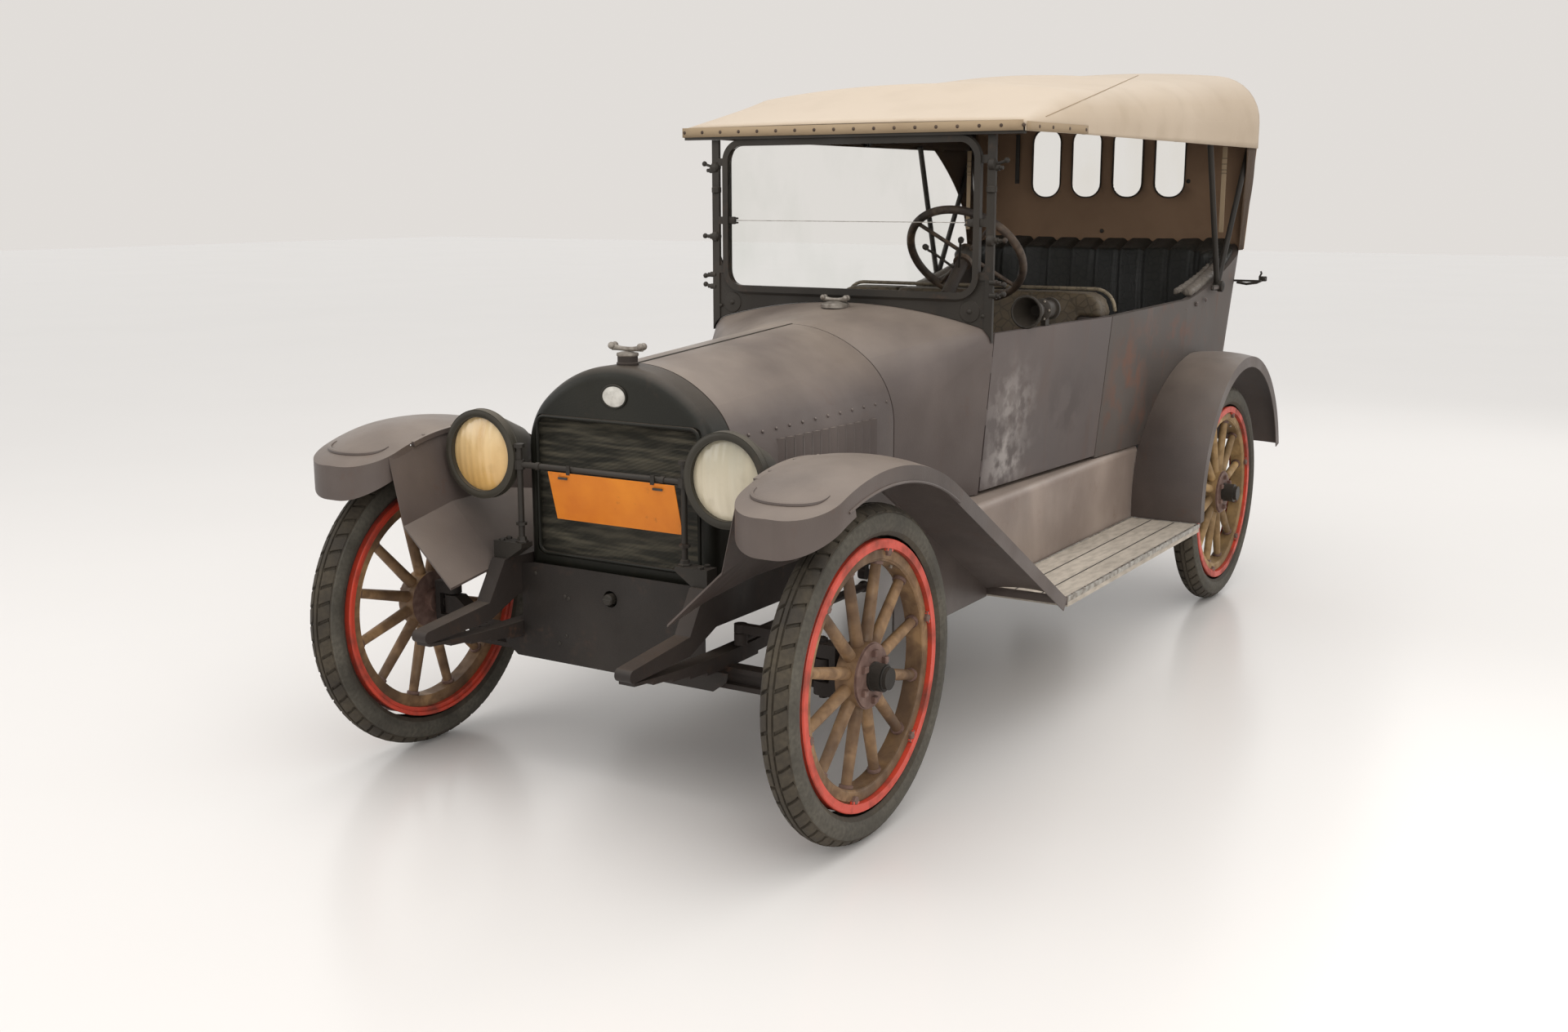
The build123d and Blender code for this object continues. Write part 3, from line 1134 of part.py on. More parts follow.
with BuildPart() as window_panes:
    with BuildSketch(plane_at(SCREEN_Y - PANEL_T)):
        with Locations((0, (SCREEN_TOP_Z + SCREEN_BOTTOM_Z) / 2)):
            RectangleRounded(
                2 * (SCREEN_HW - SCREEN_BAR),
                SCREEN_TOP_Z - SCREEN_BOTTOM_Z - 2 * SCREEN_BAR,
                SCREEN_CORNER_R - SCREEN_BAR,
            )
        with Locations((0, SCREEN_SPLIT_Z)):
            Rectangle(2 * SCREEN_HW, LEAF_T / 2, mode=Mode.SUBTRACT)
    extrude(amount=GLASS_T)
save(window_panes, "window_panes")


# Cloth top: arched sections from the windshield header back to the rear bow
TOP_FRONT_HW = TOP_HW - TOP_FRONT_INSET
TOP_BOW_HW = TOP_HW - TOP_BOW_INSET
TOP_LENGTH_SHARES = (0, 0.185, 0.57, 1)
TOP_LENGTH = TOP_REAR_Y - TOP_FRONT_Y
CURTAIN_TOP_HW = TOP_HW - TOP_T - SEAT_GAP
# Columns: hw, low_hw, shoulder_r, shoulder_z, crown_z, bottom_z
TOP_ARCHES = (
    (TOP_FRONT_HW, TOP_FRONT_HW, 24, TOP_EDGE_Z + 8, 1768, TOP_EDGE_Z),
    (TOP_BOW_HW, TOP_BOW_HW, 110, TOP_EDGE_Z + 30, 1906, TOP_EDGE_Z),
    (TOP_HW, TOP_HW, 150, TOP_EDGE_Z + 60, 1984, TOP_EDGE_Z),
    (TOP_HW, TOP_HW, 190, TOP_EDGE_Z + 100, 2046, TOP_EDGE_Z),
)


def top_sections(inset, drop):
    """Faces of the cloth top's arches, front to rear."""
    return [
        arch(TOP_FRONT_Y + share * TOP_LENGTH, row, inset, drop)
        for share, row in zip(TOP_LENGTH_SHARES, TOP_ARCHES)
    ]


with BuildPart() as canopy:
    loft(sections=top_sections(0, 0), ruled=True)
    extrude(arch(TOP_REAR_Y, TOP_ARCHES[-1]), amount=-TOP_LIP)
    loft(sections=top_sections(TOP_T, OVERRUN), ruled=True, mode=Mode.SUBTRACT)
    extrude(arch(TOP_REAR_Y, TOP_ARCHES[-1], TOP_T, OVERRUN), amount=-TOP_LIP, mode=Mode.SUBTRACT)
save(canopy, "canopy")

# Rear curtain inside the top's rear edge, down to the seat back, with a row of rounded windows
CURTAIN_LOW_Z = REAR_BACK_TOP + SEAT_GAP
CURTAIN_LOW_HW = QUARTER_HW - 2 * WALL
CURTAIN_PLACES = [
    CURTAIN_WINDOW_PITCH * (number - (CURTAIN_WINDOWS - 1) / 2) for number in range(CURTAIN_WINDOWS)
]


def curtain_windows(half_gap):
    """Sketch of the row of tall rounded windows, each smaller than its opening by the gap."""
    with BuildSketch(plane_at(TOP_REAR_Y + TOP_LIP)) as windows:
        for place in CURTAIN_PLACES:
            with Locations((place, CURTAIN_WINDOW_Z + CURTAIN_WINDOW_H / 2)):
                RectangleRounded(
                    CURTAIN_WINDOW_W - 2 * half_gap,
                    CURTAIN_WINDOW_H - 2 * half_gap,
                    (CURTAIN_WINDOW_W - 2 * half_gap) * window_corner_share,
                )
    return windows.sketch


window_corner_share = 0.45

with BuildPart() as rear_curtain:
    extrude(arch(TOP_REAR_Y + TOP_LIP, TOP_ARCHES[-1], TOP_T + SEAT_GAP), amount=CURTAIN_T)
    with BuildSketch(plane_at(TOP_REAR_Y + TOP_LIP)):
        Polygon(
            (-CURTAIN_TOP_HW, TOP_EDGE_Z), (-CURTAIN_LOW_HW, CURTAIN_LOW_Z),
            (CURTAIN_LOW_HW, CURTAIN_LOW_Z), (CURTAIN_TOP_HW, TOP_EDGE_Z),
            align=None,
        )
    extrude(amount=CURTAIN_T)
    extrude(curtain_windows(0), amount=CURTAIN_T, mode=Mode.SUBTRACT)
save(rear_curtain, "rear_curtain")

with BuildPart() as curtain_panes:
    extrude(curtain_windows(SEAT_GAP), amount=CURTAIN_T / 2)
save(curtain_panes, "curtain_panes")


# Top irons, bows and the header on the windshield
def side_hw(z):
    """Half-width of the rear quarter at z, outside."""
    return QUARTER_LOW_HW + (QUARTER_HW - QUARTER_LOW_HW) * (z - BODY_BOTTOM_Z) / (RAIL_Z - BODY_BOTTOM_Z)


BOW_T = 16
BOW_W = TOP_LIP - CURTAIN_T - SEAT_GAP
IRON_FOOT_Y = FRONT_AXLE_Y + 3060
IRON_FOOT_Z = 1195
IRON_PAD_R = 17
IRON_X = side_hw(IRON_FOOT_Z + IRON_PAD_R) + 2 * SEAT_GAP + POST_R
# Columns: y of the iron's upper end behind the front axle
IRON_TOPS = (FRONT_AXLE_Y + 2880, FRONT_AXLE_Y + 3400)
HEADER_DROP = TOP_EDGE_Z - SCREEN_TOP_Z - SEAT_GAP

with BuildPart() as top_frame:
    extrude(arch(TOP_FRONT_Y + SEAT_GAP, TOP_ARCHES[0], TOP_T + SEAT_GAP, HEADER_DROP), amount=-BOW_W)
    for bow_share, bow_row in zip(TOP_LENGTH_SHARES[1:], TOP_ARCHES[1:]):
        bow_y = TOP_FRONT_Y + bow_share * TOP_LENGTH
        with BuildPart(mode=Mode.PRIVATE) as bow:
            extrude(arch(bow_y, bow_row, TOP_T + SEAT_GAP), amount=-BOW_W)
            extrude(arch(bow_y, bow_row, TOP_T + SEAT_GAP + BOW_T, OVERRUN), amount=-BOW_W, mode=Mode.SUBTRACT)
        add(bow.part)
    for iron_side in (1, -1):
        iron_x = iron_side * IRON_X
        with Locations((iron_x, IRON_FOOT_Y, IRON_FOOT_Z)):
            Cylinder(IRON_PAD_R, 2 * POST_R, rotation=(0, 90, 0))
        for high_y in IRON_TOPS:
            iron_dy = high_y - IRON_FOOT_Y
            iron_dz = TOP_EDGE_Z + POST_R - IRON_FOOT_Z
            with BuildSketch(Plane(origin=(iron_x, IRON_FOOT_Y, IRON_FOOT_Z), z_dir=(0, iron_dy, iron_dz))):
                Circle(POST_R)
            extrude(amount=sqrt(iron_dy**2 + iron_dz**2))
save(top_frame, "top_frame")


# Front fenders: swept crowned band with a turned-down outer edge, and the inner valance
SLOPE = radians(FENDER_SLOPE)
FENDER_JOIN_Y = FENDER_CENTRE_Y + FENDER_R * sin(SLOPE)
FENDER_JOIN_Z = FENDER_CENTRE_Z + FENDER_R * cos(SLOPE)
FENDER_TAIL_Z = STEP_Z
FENDER_TAIL_Y = FENDER_JOIN_Y + (FENDER_JOIN_Z - FENDER_TAIL_Z) / tan(SLOPE)
STEP_FRONT_Y = FENDER_TAIL_Y + FENDER_CROWN * sin(SLOPE) + SEAT_GAP
NOSE_ANGLE = asin((FENDER_CENTRE_Y - FENDER_NOSE_Y) / FENDER_R)


NOSE_RUN = 2 * FENDER_NOSE_R
FENDER_MID_X = (FENDER_INNER_X + FENDER_OUTER_X) / 2
FENDER_START = NOSE_ANGLE + atan(FENDER_NOSE_LIP / FENDER_R)


def fender_point(angle, depth=0):
    """Point of the fender's side profile at an angle behind its crown, under the crown line by the depth."""
    return (
        FENDER_CENTRE_Y + (FENDER_R - depth) * sin(angle), FENDER_CENTRE_Z + (FENDER_R - depth) * cos(angle),
    )


def fender_section(skirt, wall):
    """Cross-section at the fender's start: crowned sheet with a turned-down lip, or a filled one."""
    start_y, start_z = fender_point(-FENDER_START)
    plane = Plane(origin=(0, start_y, start_z), x_dir=(1, 0, 0), z_dir=(0, cos(FENDER_START), sin(FENDER_START)))
    with BuildSketch(plane) as section:
        with BuildLine():
            ThreePointArc((FENDER_INNER_X, 0), (FENDER_MID_X, -FENDER_CROWN), (FENDER_OUTER_X, 0))
            Line((FENDER_OUTER_X, 0), (FENDER_OUTER_X, skirt))
            if wall:
                Polyline((FENDER_OUTER_X, skirt), (FENDER_OUTER_X - wall, skirt), (FENDER_OUTER_X - wall, wall))
                ThreePointArc(
                    (FENDER_OUTER_X - wall, wall), (FENDER_MID_X, wall - FENDER_CROWN), (FENDER_INNER_X, wall),
                )
                Line((FENDER_INNER_X, wall), (FENDER_INNER_X, 0))
            else:
                Polyline((FENDER_OUTER_X, skirt), (FENDER_INNER_X, skirt), (FENDER_INNER_X, 0))
        make_face()
    return section.sketch


def nose_outline(inset):
    """Plan outline of the fender's round nose, open to the rear."""
    front = FENDER_NOSE_Y + inset
    low, high, radius = FENDER_INNER_X + inset, FENDER_OUTER_X - inset, FENDER_NOSE_R - inset
    bend = radius * (1 - cos(pi / 4))
    rear = FENDER_NOSE_Y + NOSE_RUN + inset
    with BuildSketch(Plane.XY) as outline:
        with BuildLine():
            Line((low, rear), (low, front + radius))
            ThreePointArc((low, front + radius), (low + bend, front + bend), (low + radius, front))
            Line((low + radius, front), (high - radius, front))
            ThreePointArc((high - radius, front), (high - bend, front + bend), (high, front + radius))
            Polyline((high, front + radius), (high, rear), (low, rear))
        make_face()
    return outline.sketch


# Share of the way from the nose to the crown at which the nose's own lip ends
lip_end_share = 0.45
# Valance stations behind the front axle, from the nose back to the hood's rear third
VALANCE_STATIONS = (-285, -100, 100, 340, 560)
VALANCE_FOOT_X = RAIL_X + RAIL_W / 2 + SEAT_GAP
VALANCE_FOOT_Z = RAIL_TOP - RUN_GAP
SHEET_FRONT_Y = FRONT_AXLE_Y + 490


def fender_height(y):
    """Height of the fender's inner edge at y."""
    if y < FENDER_JOIN_Y:
        return FENDER_CENTRE_Z + sqrt(FENDER_R**2 - (y - FENDER_CENTRE_Y) ** 2)
    return FENDER_JOIN_Z - (y - FENDER_JOIN_Y) * tan(SLOPE)


def valance_face(place):
    """Thin slanted cross-section of the inner valance at one station."""
    y = FRONT_AXLE_Y + place
    high = fender_height(y)
    foot = VALANCE_FOOT_Z if place > 0 else VALANCE_FOOT_Z + place * valance_dip_share
    with BuildSketch(plane_at(y)) as face:
        bend = foot + (high - foot) * valance_bend_share
        Polygon(
            (VALANCE_FOOT_X, foot), (VALANCE_BEND_X, bend), (FENDER_INNER_X + FENDER_T, high - FENDER_T / 2),
            (FENDER_INNER_X + FENDER_T, high - 3 * FENDER_T), (VALANCE_BEND_X, bend - 2 * FENDER_T),
            (VALANCE_FOOT_X, foot - 2 * FENDER_T),
            align=None,
        )
    return face.sketch


valance_dip_share = 0.16
valance_bend_share = 0.45
VALANCE_BEND_X = FENDER_INNER_X - VALANCE_BEND_IN

with BuildPart() as front_fenders:
    with BuildLine(Plane.YZ) as fender_path:
        ThreePointArc(fender_point(-FENDER_START), fender_point(0), fender_point(SLOPE))
        Line(fender_point(SLOPE), (FENDER_TAIL_Y, FENDER_TAIL_Z))
    with BuildLine(Plane.YZ) as nose_path:
        ThreePointArc(
            fender_point(-FENDER_START),
            fender_point(-FENDER_START * (1 + lip_end_share) / 2),
            fender_point(-FENDER_START * lip_end_share),
        )
    sweep(sections=fender_section(FENDER_SKIRT, FENDER_T), path=fender_path.wires()[0])
    with BuildPart(mode=Mode.PRIVATE) as nose_lip:
        sweep(sections=fender_section(FENDER_NOSE_LIP, 0), path=nose_path.wires()[0])
        with BuildPart(mode=Mode.PRIVATE) as lip_ring:
            extrude(nose_outline(0), amount=4 * FENDER_R)
            extrude(nose_outline(FENDER_T), amount=4 * FENDER_R, mode=Mode.SUBTRACT)
        add(lip_ring.part, mode=Mode.INTERSECT)
    add(nose_lip.part)
    with BuildPart(mode=Mode.PRIVATE) as nose_cut:
        with BuildSketch(Plane.XY):
            with Locations((FENDER_MID_X, FENDER_NOSE_Y)):
                Rectangle(4 * (FENDER_OUTER_X - FENDER_INNER_X), NOSE_RUN)
        extrude(amount=4 * FENDER_R)
        extrude(nose_outline(0), amount=4 * FENDER_R, mode=Mode.SUBTRACT)
    add(nose_cut.part, mode=Mode.SUBTRACT)
    loft(sections=[valance_face(place) for place in VALANCE_STATIONS], ruled=True)
    with BuildSketch(Plane.YZ.offset(FENDER_INNER_X - FENDER_T)):
        Polygon(
            (SHEET_FRONT_Y, STEP_Z - STEP_T), (SHEET_FRONT_Y, fender_height(SHEET_FRONT_Y) - FENDER_T),
            (FENDER_TAIL_Y, FENDER_TAIL_Z - FENDER_T), (FENDER_TAIL_Y, STEP_Z - STEP_T),
            align=None,
        )
    extrude(amount=2 * FENDER_T)
    mirror(about=Plane.YZ)
save(front_fenders, "front_fenders")


# Rear fenders: arc over the wheel from the running board to the tail
REAR_FENDER_FRONT = -acos((STEP_Z - REAR_FENDER_Z) / REAR_FENDER_R)
REAR_FENDER_BACK = acos((REAR_FENDER_END_Z - REAR_FENDER_Z) / REAR_FENDER_R)
STEP_REAR_Y = REAR_FENDER_Y - REAR_FENDER_R - REAR_FENDER_CROWN - SEAT_GAP


def rear_fender_point(angle):
    """Point of the rear fender's crown line at an angle behind its top."""
    return (REAR_FENDER_Y + REAR_FENDER_R * sin(angle), REAR_FENDER_Z + REAR_FENDER_R * cos(angle))


with BuildPart() as rear_fenders:
    with BuildLine(Plane.YZ) as rear_path:
        ThreePointArc(
            rear_fender_point(REAR_FENDER_FRONT), rear_fender_point(0), rear_fender_point(REAR_FENDER_BACK),
        )
    rear_start = rear_fender_point(REAR_FENDER_FRONT)
    with BuildSketch(
        Plane(
            origin=(0, *rear_start), x_dir=(1, 0, 0), z_dir=(0, cos(REAR_FENDER_FRONT), -sin(REAR_FENDER_FRONT))
        )
    ) as rear_section:
        with BuildLine():
            ThreePointArc((FENDER_INNER_X, 0), (FENDER_MID_X, -REAR_FENDER_CROWN), (FENDER_OUTER_X, 0))
            Polyline(
                (FENDER_OUTER_X, 0), (FENDER_OUTER_X, FENDER_SKIRT), (FENDER_OUTER_X - FENDER_T, FENDER_SKIRT),
                (FENDER_OUTER_X - FENDER_T, FENDER_T),
            )
            ThreePointArc(
                (FENDER_OUTER_X - FENDER_T, FENDER_T), (FENDER_MID_X, FENDER_T - REAR_FENDER_CROWN),
                (FENDER_INNER_X, FENDER_T),
            )
            Line((FENDER_INNER_X, FENDER_T), (FENDER_INNER_X, 0))
        make_face()
    sweep(sections=rear_section.sketch, path=rear_path.wires()[0])
    with BuildPart(mode=Mode.PRIVATE) as body_room:
        loft(
            sections=[
                tub_outline(*SILL_PLAN, -SEAT_GAP),
                tub_outline(RIM_LEVEL_Z, FRONT_RIM_HW, DOOR_RIM_HW, QUARTER_RIM_HW, BODY_REAR_Y, -SEAT_GAP),
            ]
        )
    add(body_room.part, mode=Mode.SUBTRACT)
    mirror(about=Plane.YZ)
save(rear_fenders, "rear_fenders")


# Running boards, aprons and the dark front apron
with BuildPart() as running_boards:
    for board_side in (1, -1):
        with Locations(
            (
                board_side * (STEP_INNER_X + FENDER_OUTER_X) / 2,
                (STEP_FRONT_Y + STEP_REAR_Y) / 2,
                STEP_Z - STEP_T / 2,
            )
        ):
            Box(FENDER_OUTER_X - STEP_INNER_X, STEP_REAR_Y - STEP_FRONT_Y, STEP_T)
save(running_boards, "running_boards")

APRON_TOP_Z = BODY_BOTTOM_Z - RUN_GAP
APRON_FRONT_Y = FENDER_JOIN_Y + (FENDER_JOIN_Z - APRON_TOP_Z) / tan(SLOPE) + SEAT_GAP
APRON_REAR_Y = REAR_FENDER_Y - sqrt(REAR_FENDER_R**2 - (APRON_TOP_Z - REAR_FENDER_Z) ** 2)
APRON_X = STEP_INNER_X - SEAT_GAP - FENDER_T
APRON_ROLL_R = 22

with BuildPart() as splash_aprons:
    for apron_side in (1, -1):
        with BuildSketch(plane_at(APRON_REAR_Y)):
            with BuildLine():
                Polyline(
                    (apron_side * (RAIL_X + RAIL_W / 2), APRON_TOP_Z - APRON_T),
                    (apron_side * (RAIL_X + RAIL_W / 2), APRON_TOP_Z),
                    (apron_side * (APRON_X - APRON_ROLL_R), APRON_TOP_Z),
                )
                RadiusArc(
                    (apron_side * (APRON_X - APRON_ROLL_R), APRON_TOP_Z),
                    (apron_side * APRON_X, APRON_TOP_Z - APRON_ROLL_R), apron_side * APRON_ROLL_R,
                )
                Polyline(
                    (apron_side * APRON_X, APRON_TOP_Z - APRON_ROLL_R), (apron_side * APRON_X, STEP_Z - STEP_T),
                    (apron_side * (APRON_X - APRON_T), STEP_Z - STEP_T),
                    (apron_side * (APRON_X - APRON_T), APRON_TOP_Z - APRON_ROLL_R),
                )
                RadiusArc(
                    (apron_side * (APRON_X - APRON_T), APRON_TOP_Z - APRON_ROLL_R),
                    (apron_side * (APRON_X - APRON_ROLL_R), APRON_TOP_Z - APRON_T),
                    -apron_side * (APRON_ROLL_R - APRON_T),
                )
                Line(
                    (apron_side * (APRON_X - APRON_ROLL_R), APRON_TOP_Z - APRON_T),
                    (apron_side * (RAIL_X + RAIL_W / 2), APRON_TOP_Z - APRON_T),
                )
            make_face()
        extrude(amount=APRON_REAR_Y - APRON_FRONT_Y)
    with BuildSketch(Plane.YZ.offset(-2 * STEP_INNER_X)):
        Polygon(
            (APRON_FRONT_Y - OVERRUN, fender_height(APRON_FRONT_Y - OVERRUN) + SEAT_GAP),
            (FENDER_TAIL_Y + SEAT_GAP, FENDER_TAIL_Z + SEAT_GAP),
            (FENDER_TAIL_Y + SEAT_GAP, 0), (APRON_FRONT_Y - OVERRUN, 0),
            align=None,
        )
    extrude(amount=4 * STEP_INNER_X, mode=Mode.SUBTRACT)
    for apron_side in (1, -1):
        with BuildSketch(Plane.XY.offset(RAIL_TOP + SEAT_GAP)):
            Polygon(
                (apron_side * (RADIATOR_HW - 2 * APRON_T), SEAM_Y + RUN_GAP),
                (apron_side * (RADIATOR_HW - APRON_T), SEAM_Y + RUN_GAP),
                (apron_side * (HOOD_REAR_HW + RAIL_WALL), HOOD_REAR_Y - RUN_GAP),
                (apron_side * (HOOD_REAR_HW + RAIL_WALL - APRON_T), HOOD_REAR_Y - RUN_GAP),
                align=None,
            )
        extrude(amount=HOOD_BOTTOM_Z - RAIL_TOP - 2 * RUN_GAP)
        with BuildSketch(Plane.XY.offset(RAIL_TOP + SEAT_GAP)):
            Polygon(
                (apron_side * (RADIATOR_HW - 2 * APRON_T), SEAM_Y + RUN_GAP),
                (apron_side * (RAIL_X + RAIL_W / 2), SEAM_Y + RUN_GAP),
                (apron_side * (HOOD_REAR_HW + RAIL_WALL), HOOD_REAR_Y - RUN_GAP),
                (apron_side * (RAIL_X - RAIL_W / 2), HOOD_REAR_Y - RUN_GAP),
                align=None,
            )
        extrude(amount=APRON_T)
    with Locations((RAIL_X, PITMAN_Y, RAIL_TOP)):
        Box(
            2 * (RAIL_X - HELM_X) + 4 * COLUMN_R,
            2 * BOX_HALF_L + 2 * RUN_GAP,
            2 * (BOX_Z + COLUMN_R + RUN_GAP - RAIL_TOP),
            mode=Mode.SUBTRACT,
        )
save(splash_aprons, "splash_aprons")

FRONT_APRON_TAB_HW = RAIL_X + RAIL_W
SPRING_FOOT_Z = FRONT_SPRING_SEAT - RUN_GAP
# Columns: half_width, z
FRONT_APRON_EDGE = (
    (FRONT_APRON_HW - RAIL_W, RAIL_TOP - APRON_T * RUN_GAP),
    (FRONT_APRON_HW, RAIL_TOP - RAIL_W / 2),
    (FRONT_APRON_HW, SPRING_FOOT_Z),
    (FRONT_APRON_TAB_HW, SPRING_FOOT_Z),
    (FRONT_APRON_TAB_HW - RAIL_WALL, SPRING_FOOT_Z - RAIL_W / 2),
    (RAIL_X, BEAM_Z - AXLE_BEAM_H / 2),
)

with BuildPart() as front_apron:
    with BuildSketch(plane_at(FRONT_APRON_Y)):
        Polygon(
            *[(half, z) for half, z in FRONT_APRON_EDGE],
            *[(-half, z) for half, z in reversed(FRONT_APRON_EDGE)],
            align=None,
        )
        with Locations((0, CRANK_Z)):
            Circle(CRANK_R, mode=Mode.SUBTRACT)
    extrude(amount=APRON_T)
save(front_apron, "front_apron")


# Headlamps: drums on a cross bar, with rims and lenses
LAMP_FRONT_Y = LAMP_Y - LAMP_RIM_W / 2

with BuildPart() as headlamps:
    for lamp_side in (1, -1):
        lamp_x = lamp_side * LAMP_X
        with BuildSketch(plane_at(LAMP_FRONT_Y + LAMP_RIM_W)):
            with Locations((lamp_x, LAMP_Z)):
                Circle(LAMP_RIM_R)
        extrude(amount=LAMP_RIM_W)
        with BuildSketch(plane_at(LAMP_FRONT_Y + LAMP_RIM_W)):
            with Locations((lamp_x, LAMP_Z)):
                Circle(LAMP_RIM_R - RUN_GAP)
        with BuildSketch(plane_at(LAMP_FRONT_Y + LAMP_DEPTH)):
            with Locations((lamp_x, LAMP_Z)):
                Circle(LAMP_RIM_R / 2)
        loft()
        with BuildSketch(plane_at(LAMP_FRONT_Y + LAMP_RIM_W)):
            with Locations((lamp_x, LAMP_Z)):
                Circle(LAMP_GLASS_R)
        extrude(amount=LAMP_RIM_W, mode=Mode.SUBTRACT)
save(headlamps, "headlamps")

with BuildPart() as headlamp_lenses:
    for lamp_side in (1, -1):
        with BuildSketch(plane_at(LAMP_FRONT_Y + LAMP_RIM_W)):
            with Locations((lamp_side * LAMP_X, LAMP_Z)):
                Circle(LAMP_GLASS_R)
        extrude(amount=LAMP_RIM_W / 2)
save(headlamp_lenses, "headlamp_lenses")

LAMP_POST_X = LAMP_X - LAMP_RIM_R - LAMP_BAR_R - SEAT_GAP
LAMP_FOOT_T = 12
LAMP_FOOT_L = 44
LAMP_PAD_Z = 650
LAMP_TOP_Z = LAMP_Z + 4 * LAMP_BAR_R
REAR_LAMP_Y = FRONT_AXLE_Y + 3330
REAR_LAMP_Z = 1205
REAR_LAMP_REACH = 110

with BuildPart() as lamp_brackets:
    with Locations((0, LAMP_Y, TIE_BAR_Z)):
        Cylinder(LAMP_BAR_R, 2 * LAMP_POST_X, rotation=(0, 90, 0))
    for post_side in (1, -1):
        with Locations((post_side * LAMP_POST_X, LAMP_Y, (LAMP_TOP_Z + LAMP_PAD_Z) / 2)):
            Cylinder(LAMP_BAR_R, LAMP_TOP_Z - LAMP_PAD_Z)
        with Locations((post_side * (LAMP_POST_X + LAMP_X - LAMP_RIM_R) / 2, LAMP_Y, LAMP_Z)):
            Box(LAMP_X - LAMP_RIM_R - LAMP_POST_X, 2 * LAMP_BAR_R, 4 * LAMP_BAR_R)
        with BuildSketch(plane_at(LAMP_Y + LAMP_FOOT_L / 2)):
            Polygon(
                (post_side * (RAIL_X - RAIL_W / 2), RAIL_TOP + SEAT_GAP),
                (post_side * (LAMP_POST_X - 2 * LAMP_BAR_R), LAMP_PAD_Z - LAMP_FOOT_T),
                (post_side * (LAMP_POST_X - 2 * LAMP_BAR_R), LAMP_PAD_Z),
                (post_side * (RAIL_X + RAIL_W / 2), LAMP_PAD_Z),
                (post_side * (RAIL_X + RAIL_W / 2), RAIL_TOP + SEAT_GAP),
                align=None,
            )
        extrude(amount=LAMP_FOOT_L)
    with Locations((side_hw(REAR_LAMP_Z) + SEAT_GAP + REAR_LAMP_REACH / 2, REAR_LAMP_Y, REAR_LAMP_Z)):
        Box(REAR_LAMP_REACH, LAMP_FOOT_T, LAMP_BAR_R)
save(lamp_brackets, "lamp_brackets")

PLATE_X = LAMP_POST_X - LAMP_BAR_R - PLATE_GAP - PLATE_W / 2

with BuildPart() as licence_plate:
    with Locations(
        Location(
            (PLATE_X, LAMP_Y - LAMP_BAR_R - PLATE_T, TIE_BAR_Z - LAMP_BAR_R),
            (PLATE_TILT, 0, 0),
        )
    ):
        Box(PLATE_W, PLATE_T, PLATE_H, align=(Align.CENTER, Align.CENTER, Align.MAX))
    for hanger_side in (1, -1):
        with Locations((PLATE_X + hanger_side * PLATE_W / 3, LAMP_Y - LAMP_BAR_R - PLATE_T, TIE_BAR_Z)):
            Box(PLATE_DROP, 2 * PLATE_T - 2 * SEAT_GAP, 2 * PLATE_DROP)
save(licence_plate, "licence_plate")


# Horn clamped on the top of the driver's door
HORN_Y = FRONT_AXLE_Y + 1400
HORN_Z = 1192
HORN_BELL_R = 50
HORN_THROAT_R = 17
HORN_BELL_L = 110
HORN_BODY_R = 28
HORN_BODY_L = 80
HORN_WALL = 3
HORN_CLAMP_Y = HORN_Y + HORN_BELL_L + HORN_BODY_L / 2
HORN_X = BODY_FRONT_HW + (DOOR_HW - BODY_FRONT_HW) * (HORN_CLAMP_Y - DOOR_FRONT_Y) / DOOR_L - WALL / 2

with BuildPart() as horn:
    with BuildSketch(plane_at(HORN_Y)):
        with Locations((HORN_X, HORN_Z)):
            Circle(HORN_BELL_R)
    with BuildSketch(plane_at(HORN_Y + HORN_BELL_L)):
        with Locations((HORN_X, HORN_Z)):
            Circle(HORN_THROAT_R)
    loft()
    with BuildSketch(plane_at(HORN_Y)):
        with Locations((HORN_X, HORN_Z)):
            Circle(HORN_BELL_R - HORN_WALL)
    with BuildSketch(plane_at(HORN_Y + HORN_BELL_L * 2 / 3)):
        with Locations((HORN_X, HORN_Z)):
            Circle(HORN_THROAT_R)
    loft(mode=Mode.SUBTRACT)
    with BuildSketch(plane_at(HORN_Y + HORN_BELL_L)):
        with Locations((HORN_X, HORN_Z)):
            Circle(HORN_BODY_R)
    extrude(amount=-HORN_BODY_L)
    with Locations((HORN_X, HORN_CLAMP_Y, (RAIL_Z + SEAT_GAP + HORN_Z) / 2)):
        Box(HORN_THROAT_R, HORN_BODY_R, HORN_Z - RAIL_Z - SEAT_GAP)
save(horn, "horn")


# Steering box on the left rail, column tube, wheel, pedals and levers
COLUMN_RUN = HELM_Y - PITMAN_Y
COLUMN_RISE = HELM_Z - BOX_Z
COLUMN_LENGTH = sqrt(COLUMN_RUN**2 + COLUMN_RISE**2)
COLUMN_DIR = Vector(0, COLUMN_RUN / COLUMN_LENGTH, COLUMN_RISE / COLUMN_LENGTH)
HELM_UP = Vector(0, -COLUMN_RISE / COLUMN_LENGTH, COLUMN_RUN / COLUMN_LENGTH)
HELM_CENTRE = Vector(HELM_X, HELM_Y, HELM_Z)
BOX_OUTER_X = RAIL_X + RAIL_W / 2
HELM_BOSS_R = 30
HELM_BOSS_L = 60
HELM_SPOKES = 4
PITMAN_PIVOT_Z = PITMAN_FOOT_Z + PITMAN_R

